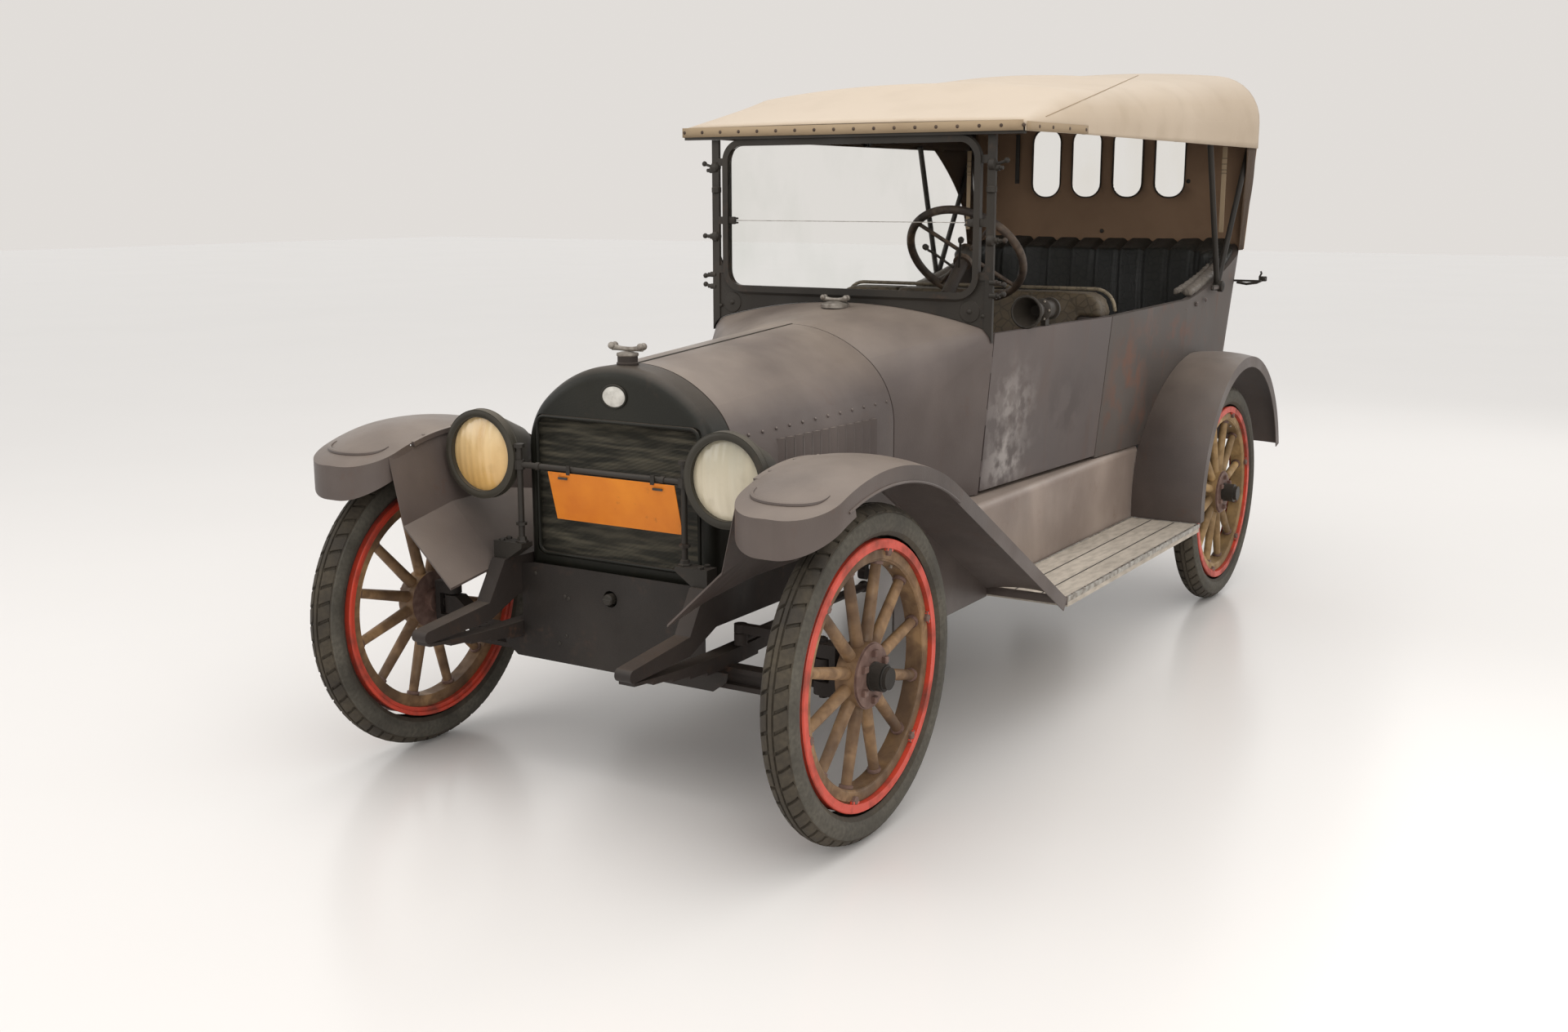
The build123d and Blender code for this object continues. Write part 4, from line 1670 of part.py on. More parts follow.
with BuildPart() as steering_column:
    with BuildSketch(Plane(origin=(HELM_X, PITMAN_Y, BOX_Z), z_dir=COLUMN_DIR)):
        Circle(COLUMN_R)
    extrude(amount=COLUMN_LENGTH - HELM_BOSS_L * 2 / 3 - PIN_GAP)
    box_mid_z = (RAIL_TOP + SEAT_GAP + BOX_Z + COLUMN_R) / 2
    with Locations(((HELM_X - COLUMN_R + BOX_OUTER_X) / 2, PITMAN_Y, box_mid_z)):
        Box(BOX_OUTER_X - HELM_X + COLUMN_R, 2 * BOX_HALF_L, BOX_Z + COLUMN_R - RAIL_TOP - SEAT_GAP)
    with Locations((BOX_OUTER_X, PITMAN_Y, PITMAN_PIVOT_Z)):
        Cylinder(
            KINGPIN_R, DRAG_X + ARM_R - BOX_OUTER_X, rotation=(0, 90, 0),
            align=(Align.CENTER, Align.CENTER, Align.MIN),
        )
save(steering_column, "steering_column")

with BuildPart() as steering_wheel:
    with BuildSketch(Plane(origin=HELM_CENTRE, x_dir=HELM_UP, z_dir=(1, 0, 0))):
        with Locations((HELM_R - HELM_TUBE_R, 0)):
            Circle(HELM_TUBE_R)
    revolve(axis=Axis(HELM_CENTRE, COLUMN_DIR))
    with BuildSketch(Plane(origin=HELM_CENTRE - COLUMN_DIR * (HELM_BOSS_L * 2 / 3), z_dir=COLUMN_DIR)):
        Circle(HELM_BOSS_R)
    extrude(amount=HELM_BOSS_L)
    for spoke in range(HELM_SPOKES):
        angle = 2 * pi * (spoke + 0.5) / HELM_SPOKES
        across = Vector(1, 0, 0) * cos(angle) + HELM_UP * sin(angle)
        with BuildSketch(Plane(origin=HELM_CENTRE, z_dir=across)):
            Circle(HELM_TUBE_R / 2)
        extrude(amount=HELM_R - HELM_TUBE_R)
save(steering_wheel, "steering_wheel")

FLOOR_TOP = FLOOR_Z + FLOOR_T + SEAT_GAP
# Columns: x, y, radius, height
CONTROLS = (
    (HELM_X - 90, FRONT_AXLE_Y + 1010, 9, 90),
    (HELM_X + 70, FRONT_AXLE_Y + 1010, 9, 90),
    (0, FRONT_AXLE_Y + 1290, 10, 330),
    (60, FRONT_AXLE_Y + 1330, 9, 300),
)

with BuildPart() as driver_controls:
    for control_x, control_y, control_r, control_h in CONTROLS:
        with Locations((control_x, control_y, FLOOR_TOP)):
            Cylinder(control_r, control_h, align=(Align.CENTER, Align.CENTER, Align.MIN))
            Cylinder(3 * control_r, control_r, align=(Align.CENTER, Align.CENTER, Align.MIN))
        with Locations((control_x, control_y, FLOOR_TOP + control_h)):
            Cylinder(2 * control_r, control_r, align=(Align.CENTER, Align.CENTER, Align.MIN))
save(driver_controls, "driver_controls")
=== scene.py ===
# %% [markdown]
# # Dressing an open touring car
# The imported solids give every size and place. Each cell below dresses one part of the car: first the tools
# and the finishes, then tyres, wheels, cloth, leather, trim, and at the end the studio and the camera.
# Places are written in millimetres, with y counted back from the front axle.

# %% Load the frame
import math
import bmesh
import bpy
from mathutils import Matrix, Vector
from mathutils.geometry import delaunay_2d_cdt


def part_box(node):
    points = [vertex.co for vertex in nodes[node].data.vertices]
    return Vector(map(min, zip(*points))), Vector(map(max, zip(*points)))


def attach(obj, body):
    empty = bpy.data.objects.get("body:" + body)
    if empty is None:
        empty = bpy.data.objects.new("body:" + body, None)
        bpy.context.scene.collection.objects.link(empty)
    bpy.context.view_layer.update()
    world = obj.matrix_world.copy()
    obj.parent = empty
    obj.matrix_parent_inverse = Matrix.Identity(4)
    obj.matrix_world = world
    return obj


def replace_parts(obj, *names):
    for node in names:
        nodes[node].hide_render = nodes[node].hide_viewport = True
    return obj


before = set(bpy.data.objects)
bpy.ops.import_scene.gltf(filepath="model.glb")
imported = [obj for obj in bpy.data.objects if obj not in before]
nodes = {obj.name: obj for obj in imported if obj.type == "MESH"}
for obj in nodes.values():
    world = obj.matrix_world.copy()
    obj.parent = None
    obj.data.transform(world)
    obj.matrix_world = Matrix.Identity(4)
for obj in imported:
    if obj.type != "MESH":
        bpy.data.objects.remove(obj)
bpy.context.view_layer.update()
FRONT_AXLE = -1.5265
REAR_AXLE = 1.3185
WHEEL_X = 0.711
TYRE_R = 0.417


def at(x, y, z):
    """Point in metres from millimetres, y counted back from the front axle."""
    return Vector((x / 1000, y / 1000 + FRONT_AXLE, z / 1000))


def back(y):
    """Millimetres behind the front axle, from metres in the frame."""
    return (y - FRONT_AXLE) * 1000


def turns(count):
    """Angles that part a full circle evenly."""
    return [2 * math.pi * k / count for k in range(count)]


def mirrored(p, side):
    """The point itself on the left, its mirror image on the right."""
    return Vector((side * p.x, p.y, p.z))


def thicken(piece, thickness, offset=0.0, inner=0):
    """Gives a cloth its thickness; inner is the number of the material on its other face."""
    thick = piece.modifiers.new("Thickness", "SOLIDIFY")
    thick.thickness, thick.offset, thick.material_offset = thickness, offset, inner


# %% [markdown]
# ## Finishes
# A finish is one shader with layers of noise in the car's own coordinates, so it stays put on each piece.

# %% Tool for finishes
class Look:
    """One shader and short calls for the procedural layers that feed it."""

    def __init__(self, name, rough=0.6, metallic=0.0, **sockets):
        self.material = bpy.data.materials.new(name)
        self.material.use_nodes = True
        self.tree = self.material.node_tree
        self.shader = self.tree.nodes["Principled BSDF"]
        self.shader.inputs["Roughness"].default_value = rough
        self.shader.inputs["Metallic"].default_value = metallic
        for key, value in sockets.items():
            self.shader.inputs[key.replace("_", " ")].default_value = value
        self.place = self.tree.nodes.new("ShaderNodeTexCoord").outputs["Object"]

    def node(self, kind, **settings):
        made = self.tree.nodes.new(kind)
        for key, value in settings.items():
            setattr(made, key, value)
        return made

    def feed(self, socket, value):
        if isinstance(value, bpy.types.NodeSocket):
            self.tree.links.new(value, socket)
        elif value is not None:
            socket.default_value = value

    def stretch(self, scale):
        shift = self.node("ShaderNodeMapping")
        shift.inputs["Scale"].default_value = scale
        self.feed(shift.inputs["Vector"], self.place)
        return shift.outputs["Vector"]

    def span(self, value, low, high, to_low=0.0, to_high=1.0):
        made = self.node("ShaderNodeMapRange")
        for key, number in (("From Min", low), ("From Max", high), ("To Min", to_low), ("To Max", to_high)):
            made.inputs[key].default_value = number
        self.feed(made.inputs["Value"], value)
        return made.outputs["Result"]

    def noise(self, scale, low=0.35, high=0.65, detail=5, packed=(1, 1, 1), distort=0.0):
        made = self.node("ShaderNodeTexNoise")
        made.inputs["Scale"].default_value = scale
        made.inputs["Detail"].default_value = detail
        made.inputs["Distortion"].default_value = distort
        self.feed(made.inputs["Vector"], self.stretch(packed))
        return self.span(made.outputs["Fac"], low, high)

    def cells(self, scale, low, high):
        made = self.node("ShaderNodeTexVoronoi", feature="DISTANCE_TO_EDGE")
        made.inputs["Scale"].default_value = scale
        self.feed(made.inputs["Vector"], self.stretch((1, 1, 1)))
        return self.span(made.outputs["Distance"], low, high)

    def wave(self, scale, axis="X", distort=0.0):
        made = self.node("ShaderNodeTexWave", bands_direction=axis)
        made.inputs["Scale"].default_value = scale
        made.inputs["Distortion"].default_value = distort
        self.feed(made.inputs["Vector"], self.place)
        return self.span(made.outputs["Fac"], 0.0, 1.0)

    def height(self, low, high):
        split = self.node("ShaderNodeSeparateXYZ")
        self.feed(split.inputs["Vector"], self.place)
        return self.span(split.outputs["Z"], low, high)

    def up(self, low=0.3, high=0.95):
        split = self.node("ShaderNodeSeparateXYZ")
        self.feed(split.inputs["Vector"], self.node("ShaderNodeNewGeometry").outputs["Normal"])
        return self.span(split.outputs["Z"], low, high)

    def both(self, a, b):
        """Product of two shares."""
        made = self.node("ShaderNodeMath", operation="MULTIPLY")
        made.use_clamp = True
        self.feed(made.inputs[0], a)
        self.feed(made.inputs[1], b)
        return made.outputs["Value"]

    def mix(self, share, a, b):
        made = self.node("ShaderNodeMix", data_type="RGBA")
        self.feed(made.inputs["Factor"], share)
        for socket, value in ((made.inputs[6], a), (made.inputs[7], b)):
            self.feed(socket, value if isinstance(value, bpy.types.NodeSocket) else (*value, 1.0))
        return made.outputs[2]

    def colour(self, value):
        self.feed(self.shader.inputs["Base Color"], value)
        return self

    def rough(self, share, low, high):
        self.feed(self.shader.inputs["Roughness"], self.span(share, 0.0, 1.0, low, high))
        return self

    def bump(self, layers, strength=0.4, distance=0.001):
        """Layers are values from 0 to 1 with their share of the height."""
        total = None
        for value, share in layers:
            scaled = self.span(value, 0.0, 1.0, 0.0, share)
            if total is None:
                total = scaled
            else:
                made = self.node("ShaderNodeMath", operation="ADD")
                self.feed(made.inputs[0], total)
                self.feed(made.inputs[1], scaled)
                total = made.outputs["Value"]
        made = self.node("ShaderNodeBump")
        made.inputs["Strength"].default_value = strength
        made.inputs["Distance"].default_value = distance
        self.feed(made.inputs["Height"], total)
        self.feed(self.shader.inputs["Normal"], made.outputs["Normal"])
        return self.material


# %% Old paint, steel and rust
def old_paint(name, deep, faded, rust, dust, rust_share=0.5, gloss=(0.42, 0.75), shine=0.5, dust_and_top_light_share=0.55):
    """Dark paint that has faded in clouds, with rust spots, fine scratches and dust on what faces up; the pale tint on
    upward faces is partly dust and partly painted light falling on top.
    """
    look = Look(name, Specular_IOR_Level=shine)
    clouds = look.noise(2.2, 0.32, 0.68, 6)
    streaks = look.noise(3.5, 0.40, 0.70, 5, (1.5, 1.0, 0.35), 0.6)
    base = look.mix(clouds, deep, faded)
    base = look.mix(look.both(streaks, 0.35), base, [c * 0.62 for c in deep])
    spots = look.noise(9.0, 0.56, 0.72, 9, (1, 1, 0.8), 0.8)
    fine = look.noise(60.0, 0.45, 0.70, 4)
    base = look.mix(look.both(look.both(spots, fine), rust_share), base, rust)
    # Pale tint on upward faces: partly dust, partly painted light on top.
    dust_and_top_light = look.both(look.up(0.42, 0.98), look.noise(3.5, 0.12, 0.78))
    base = look.mix(look.both(dust_and_top_light, dust_and_top_light_share), base, dust)
    look.colour(base)
    look.rough(look.noise(5.0, 0.3, 0.7), *gloss)
    return look.bump([(spots, 0.5), (look.noise(240.0, 0.3, 0.7, 3), 0.35), (clouds, 0.3)], 0.35, 0.0012)


body_paint = old_paint(
    "body_paint", (0.074, 0.056, 0.050), (0.132, 0.105, 0.094), (0.100, 0.054, 0.036), (0.335, 0.275, 0.225),
    0.4, (0.38, 0.66), dust_and_top_light_share=0.8,
)
fender_paint = old_paint(
    "fender_paint", (0.060, 0.045, 0.039), (0.114, 0.088, 0.076), (0.095, 0.046, 0.030), (0.290, 0.235, 0.192),
    0.5, (0.36, 0.62), dust_and_top_light_share=0.75,
)
shell_paint = old_paint(
    "shell_paint", (0.0075, 0.0078, 0.0055), (0.016, 0.015, 0.010), (0.040, 0.026, 0.018), (0.170, 0.135, 0.110),
    0.3, (0.38, 0.6), shine=0.28,
)
frame_paint = old_paint(
    "frame_paint", (0.016, 0.012, 0.010), (0.036, 0.026, 0.021), (0.075, 0.036, 0.020), (0.120, 0.095, 0.075),
    0.7, (0.5, 0.8), shine=0.35,
)
dark_steel = old_paint(
    "dark_steel", (0.017, 0.0145, 0.0115), (0.038, 0.031, 0.024), (0.075, 0.042, 0.026), (0.085, 0.070, 0.058),
    0.6, (0.4, 0.7), shine=0.32,
)
apron_dust = old_paint(
    "apron_dust", (0.215, 0.165, 0.138), (0.400, 0.320, 0.270), (0.150, 0.080, 0.052), (0.360, 0.300, 0.255),
    0.4, (0.35, 0.55),
)
# On the lamps the pale tint on upward faces paints the light on top of the rims as well as dust.
lamp_paint = old_paint(
    "lamp_paint", (0.030, 0.026, 0.018), (0.062, 0.054, 0.040), (0.075, 0.042, 0.026), (0.230, 0.195, 0.150),
    0.4, (0.45, 0.7), shine=0.35,
)
apron_paint = old_paint(
    "apron_paint", (0.012, 0.009, 0.0075), (0.026, 0.020, 0.016), (0.055, 0.030, 0.019), (0.060, 0.050, 0.040),
    0.5, (0.45, 0.7), shine=0.35,
)


def patch(look, centre, size, base, tint, grain, share):
    """Lays a torn patch of another tint over one place of a finish."""
    shift = look.node("ShaderNodeMapping")
    shift.inputs["Scale"].default_value = [1 / v for v in size]
    shift.inputs["Location"].default_value = [-c / v for c, v in zip(centre, size)]
    look.feed(shift.inputs["Vector"], look.place)
    reach = look.node("ShaderNodeVectorMath", operation="LENGTH")
    look.feed(reach.inputs[0], shift.outputs["Vector"])
    inside = look.span(reach.outputs["Value"], 1.0, 0.25)
    torn = look.noise(grain, 0.46, 0.60, 9)
    return look.mix(look.both(look.both(inside, torn), share), base, tint)


def door_finish():
    look = Look("door_paint")
    clouds = look.noise(2.2, 0.32, 0.68, 6)
    base = look.mix(clouds, (0.072, 0.056, 0.052), (0.128, 0.104, 0.096))
    scratch = look.noise(9.0, 0.55, 0.75, 8, (1, 1, 0.25), 0.6)
    base = look.mix(look.both(scratch, 0.3), base, (0.100, 0.054, 0.036))
    # The three pale grey patches on the front part of the door are a painted reflection.
    for centre, size, tint, grain, share in (
        (at(515, 1370, 850), (0.3, 0.27, 0.28), (0.215, 0.188, 0.175), 9.0, 0.6),
        (at(515, 1350, 880), (0.3, 0.19, 0.18), (0.330, 0.298, 0.280), 22.0, 0.55),
        (at(515, 1345, 735), (0.3, 0.18, 0.13), (0.400, 0.366, 0.346), 18.0, 0.6),
        (at(545, 1750, 850), (0.3, 0.30, 0.20), (0.045, 0.033, 0.030), 9.0, 0.5),
    ):
        base = patch(look, centre, size, base, tint, grain, share)
    look.colour(base)
    look.rough(clouds, 0.42, 0.7)
    return look.bump([(scratch, 0.6), (look.noise(240.0, 0.3, 0.7, 3), 0.3)], 0.35, 0.0012)


def tub_finish():
    look = Look("tub_paint")
    clouds = look.noise(1.9, 0.32, 0.68, 6)
    base = look.mix(clouds, (0.056, 0.045, 0.039), (0.104, 0.085, 0.074))
    spots = look.noise(14.0, 0.56, 0.72, 9, (1, 1, 0.7), 0.8)
    base = look.mix(look.both(spots, 0.45), base, (0.13, 0.055, 0.032))
    for centre, size, tint, grain, share in (
        (at(565, 2240, 900), (0.3, 0.22, 0.24), (0.155, 0.066, 0.038), 12.0, 0.75),
        (at(585, 2620, 1040), (0.3, 0.42, 0.10), (0.135, 0.058, 0.036), 15.0, 0.65),
        (at(-565, 2400, 800), (0.3, 0.30, 0.24), (0.140, 0.060, 0.036), 12.0, 0.6),
        (at(0, 3390, 1000), (0.5, 0.1, 0.20), (0.135, 0.058, 0.036), 12.0, 0.5),
    ):
        base = patch(look, centre, size, base, tint, grain, share)
    look.colour(base)
    look.rough(clouds, 0.42, 0.72)
    return look.bump([(spots, 0.6), (look.noise(240.0, 0.3, 0.7, 3), 0.3)], 0.35, 0.0012)


door_paint, tub_paint = door_finish(), tub_finish()


def bare_metal(name, colour, worn, rough=(0.3, 0.6), metallic=0.9):
    look = Look(name, metallic=metallic)
    spots = look.noise(45.0, 0.4, 0.68, 7)
    look.colour(look.mix(spots, colour, worn))
    look.rough(look.noise(18.0), *rough)
    return look.bump([(spots, 0.6), (look.noise(300.0), 0.4)], 0.3, 0.0008)


pale_trim = bare_metal("pale_trim", (0.46, 0.44, 0.40), (0.22, 0.19, 0.16), (0.35, 0.6), 0.8)
nickel = bare_metal("nickel", (0.42, 0.38, 0.33), (0.20, 0.15, 0.11), (0.28, 0.55))
bright_tack = bare_metal("bright_tack", (0.10, 0.07, 0.05), (0.05, 0.035, 0.03), (0.4, 0.6), 0.7)
hub_metal = bare_metal("hub_metal", (0.135, 0.078, 0.062), (0.20, 0.125, 0.10), (0.5, 0.75), 0.35)


def rim_red():
    look = Look("rim_red", rough=0.45)
    grime = look.noise(14.0, 0.45, 0.72, 7)
    look.colour(look.mix(grime, (0.56, 0.055, 0.028), (0.17, 0.040, 0.025)))
    look.rough(grime, 0.38, 0.75)
    return look.bump([(grime, 0.5), (look.noise(200.0), 0.4)], 0.3, 0.001)


red_paint = rim_red()


def old_wood(name, pale, dark, grain=(1, 1, 1)):
    look = Look(name)
    lines = look.noise(28.0, 0.35, 0.68, 8, grain, 0.4)
    stain = look.noise(6.0, 0.35, 0.65, 4)
    look.colour(look.mix(stain, look.mix(lines, pale, dark), [c * 0.55 for c in dark]))
    look.rough(lines, 0.5, 0.8)
    return look.bump([(lines, 0.8), (look.noise(120.0, 0.3, 0.7, 3, grain), 0.4)], 0.45, 0.0012)


# The front wheels' wood is a darker copy of the rear wheels' wood: painted shade.
front_wood_painted_shade = old_wood("front_wood_painted_shade", (0.33, 0.195, 0.088), (0.150, 0.082, 0.040))
rear_wood = old_wood("rear_wood", (0.47, 0.30, 0.125), (0.27, 0.165, 0.070))
board_wood = old_wood("board_wood", (0.075, 0.047, 0.030), (0.035, 0.022, 0.015), (1, 0.1, 1))
helm_wood = old_wood("helm_wood", (0.105, 0.068, 0.042), (0.030, 0.020, 0.015))


# %% Rubber, leather, canvas, glass and the plate
# Heights between which the lenses' painted reflection changes.
LAMP_REFLECTION_HEIGHTS = (0.80, 0.95)


def tyre_rubber(name, deep, worn):
    look = Look(name, Specular_IOR_Level=0.3)
    dust = look.noise(10.0, 0.35, 0.7, 7)
    fine = look.noise(90.0, 0.35, 0.7, 5)
    base = look.mix(dust, deep, worn)
    look.colour(look.mix(look.both(fine, 0.4), base, (0.022, 0.019, 0.016)))
    look.rough(dust, 0.62, 0.9)
    return look.bump([(fine, 0.5), (look.cells(160.0, 0.0, 0.5), 0.5)], 0.35, 0.0008)


def old_leather(name, deep, worn, dust):
    look = Look(name, Sheen_Weight=0.03, Specular_IOR_Level=0.38)
    clouds = look.noise(4.0, 0.35, 0.65, 6)
    cracks = look.cells(32.0, 0.0, 0.10)
    fine = look.cells(260.0, 0.0, 0.22)
    base = look.mix(clouds, deep, worn)
    base = look.mix(look.both(look.up(0.2, 0.9), 0.35), base, dust)
    look.colour(look.mix(look.span(cracks, 0.0, 1.0, 0.45, 1.0), [c * 0.45 for c in deep], base))
    look.rough(clouds, 0.38, 0.68)
    return look.bump([(cracks, 0.7), (fine, 0.35), (look.noise(30.0), 0.4)], 0.5, 0.0013)


def canvas(name, pale, shade, stain, painted_top_light=None):
    look = Look(name, rough=0.88, Sheen_Weight=0.04, Specular_IOR_Level=0.25)
    soft = look.noise(1.6, 0.3, 0.7, 5)
    spots = look.noise(6.5, 0.50, 0.75, 8)
    warp = look.wave(330.0, "X")
    weft = look.wave(330.0, "Y")
    base = look.mix(soft, pale, shade)
    base = look.mix(look.both(spots, 0.45), base, stain)
    # Upward faces are mixed towards a paler tint: painted light from above.
    look.colour(look.mix(look.both(look.up(0.5, 0.95), 0.45), base, painted_top_light or pale))
    look.rough(soft, 0.82, 0.95)
    return look.bump([(warp, 0.3), (weft, 0.3), (look.noise(9.0, 0.3, 0.7, 4), 0.8)], 0.3, 0.0012)


def clear_glass(name, haze, rough=0.03):
    look = Look(name, rough=rough, Transmission_Weight=1.0, IOR=1.06)
    smear = look.noise(7.0, 0.45, 0.8, 6, (1, 1, 0.5))
    look.colour(look.mix(smear, (0.965, 0.968, 0.955), haze))
    look.rough(smear, rough, rough + 0.05)
    return look.bump([(look.noise(3.0), 0.5)], 0.05, 0.0005)


def lamp_glass(name, high, low, stain, share):
    """Old pressed glass over a silvered bowl, with the bowl's reflection painted in: duller above, paler below by
    height, with soft runs of stain.
    """
    look = Look(name, rough=0.25, Coat_Weight=0.35)
    # Tint changing with height: painted reflection of the silvered bowl.
    fade_and_painted_reflection = look.height(LAMP_REFLECTION_HEIGHTS[0], LAMP_REFLECTION_HEIGHTS[1])
    runs = look.noise(9.0, 0.40, 0.68, 5, (1.8, 1, 0.4), 0.6)
    spots = look.noise(22.0, 0.55, 0.75, 6)
    base = look.mix(fade_and_painted_reflection, low, high)
    base = look.mix(look.both(runs, share), base, stain)
    look.colour(look.mix(look.both(spots, 0.25), base, [c * 0.7 for c in stain]))
    look.rough(runs, 0.12, 0.3)
    return look.bump([(look.wave(14.0, "X"), 0.8), (look.noise(12.0), 0.6)], 0.45, 0.002)


def step_cover():
    look = Look("step_cover")
    worn = look.noise(5.0, 0.3, 0.7, 7, (1, 0.35, 1))
    fine = look.noise(60.0, 0.4, 0.7, 6, (1, 0.3, 1))
    base = look.mix(worn, (0.400, 0.350, 0.290), (0.600, 0.530, 0.445))
    look.colour(look.mix(look.both(fine, 0.35), base, (0.12, 0.10, 0.08)))
    look.rough(worn, 0.6, 0.85)
    return look.bump([(fine, 0.6), (look.wave(55.0, "X"), 0.35)], 0.4, 0.001)


def plate_enamel():
    look = Look("plate_enamel", rough=0.5, Specular_IOR_Level=0.25)
    chips = look.noise(30.0, 0.64, 0.80, 8)
    fade_and_painted_reflection = look.noise(9.0, 0.3, 0.7, 4)
    base = look.mix(fade_and_painted_reflection, (0.72, 0.235, 0.020), (0.60, 0.165, 0.014))
    look.colour(look.mix(look.both(chips, 0.75), base, (0.16, 0.065, 0.03)))
    look.rough(chips, 0.35, 0.8)
    return look.bump([(chips, 0.6), (fade_and_painted_reflection, 0.3)], 0.3, 0.0008)


def radiator_fins():
    look = Look("radiator_fins", metallic=0.25)
    fins = look.wave(115.0, "Z", 0.6)
    clog = look.noise(20.0, 0.42, 0.72, 9, (0.42, 1, 4.5), 0.1)
    base = look.mix(fins, (0.010, 0.010, 0.008), (0.055, 0.050, 0.036))
    base = look.mix(look.both(clog, 0.6), base, (0.215, 0.190, 0.135))
    for centre, size, share in (
        (at(70, -40, 925), (0.11, 0.3, 0.055), 0.6),
        (at(30, -40, 690), (0.26, 0.3, 0.06), 0.3),
    ):
        base = patch(look, centre, size, base, (0.150, 0.132, 0.098), 5.0, share)
    look.colour(base)
    look.rough(clog, 0.45, 0.8)
    return look.bump([(fins, 1.0), (clog, 0.5)], 0.8, 0.003)


rubber = tyre_rubber("tyre_rubber", (0.036, 0.029, 0.021), (0.078, 0.064, 0.045))
side_rubber = tyre_rubber("side_rubber", (0.062, 0.056, 0.044), (0.112, 0.102, 0.082))
front_leather = old_leather("front_leather", (0.044, 0.031, 0.018), (0.100, 0.073, 0.043), (0.150, 0.115, 0.070))
roll_leather = old_leather("roll_leather", (0.085, 0.070, 0.055), (0.170, 0.145, 0.120), (0.200, 0.170, 0.140))
rear_leather = old_leather("rear_leather", (0.007, 0.007, 0.0055), (0.016, 0.015, 0.011), (0.03, 0.027, 0.02))
# The last tint is the painted light on the top's upward faces.
top_canvas = canvas(
    "top_canvas", (0.54, 0.44, 0.335), (0.49, 0.395, 0.295), (0.42, 0.33, 0.235), (0.62, 0.545, 0.465),
)
lining = canvas("lining", (0.068, 0.041, 0.023), (0.056, 0.034, 0.019), (0.046, 0.027, 0.016))
curtain_inside = canvas("curtain_inside", (0.250, 0.158, 0.098), (0.215, 0.135, 0.083), (0.180, 0.112, 0.070))
binding_cloth = canvas("binding_cloth", (0.36, 0.27, 0.175), (0.31, 0.23, 0.145), (0.26, 0.185, 0.115))
clear = clear_glass("clear", (0.86, 0.88, 0.85))
celluloid = clear_glass("celluloid", (0.93, 0.92, 0.88), 0.05)
# The first two tints of each lens paint its reflection in the upper and the lower part.
cream_lens = lamp_glass("cream_lens", (0.36, 0.33, 0.25), (0.78, 0.70, 0.54), (0.50, 0.42, 0.28), 0.5)
amber_lens = lamp_glass("amber_lens", (0.72, 0.55, 0.31), (0.70, 0.42, 0.14), (0.50, 0.29, 0.095), 0.65)
covering = step_cover()
orange = plate_enamel()
fins = radiator_fins()
nail_gold = bare_metal("nail_gold", (0.36, 0.27, 0.14), (0.20, 0.14, 0.08), (0.35, 0.6))
badge_enamel = bare_metal("badge_enamel", (0.62, 0.60, 0.55), (0.45, 0.43, 0.39), (0.3, 0.5), 0.2)
pale_welt = old_leather("pale_welt", (0.120, 0.095, 0.062), (0.250, 0.205, 0.140), (0.26, 0.21, 0.15))
pewter = bare_metal("pewter", (0.30, 0.27, 0.235), (0.15, 0.125, 0.105), (0.4, 0.65), 0.55)
# Dark finish for seams and buckles; on the hood louvres it is painted shade.
dark_seam_and_painted_shade = bare_metal("dark_seam_and_painted_shade", (0.030, 0.026, 0.022), (0.055, 0.048, 0.040), (0.7, 0.9), 0.0)
print("finishes", len(bpy.data.materials))


# %% [markdown]
# ## Tool for shapes
# Small forms are gathered in one mesh, then finished as one piece that rides on its body.

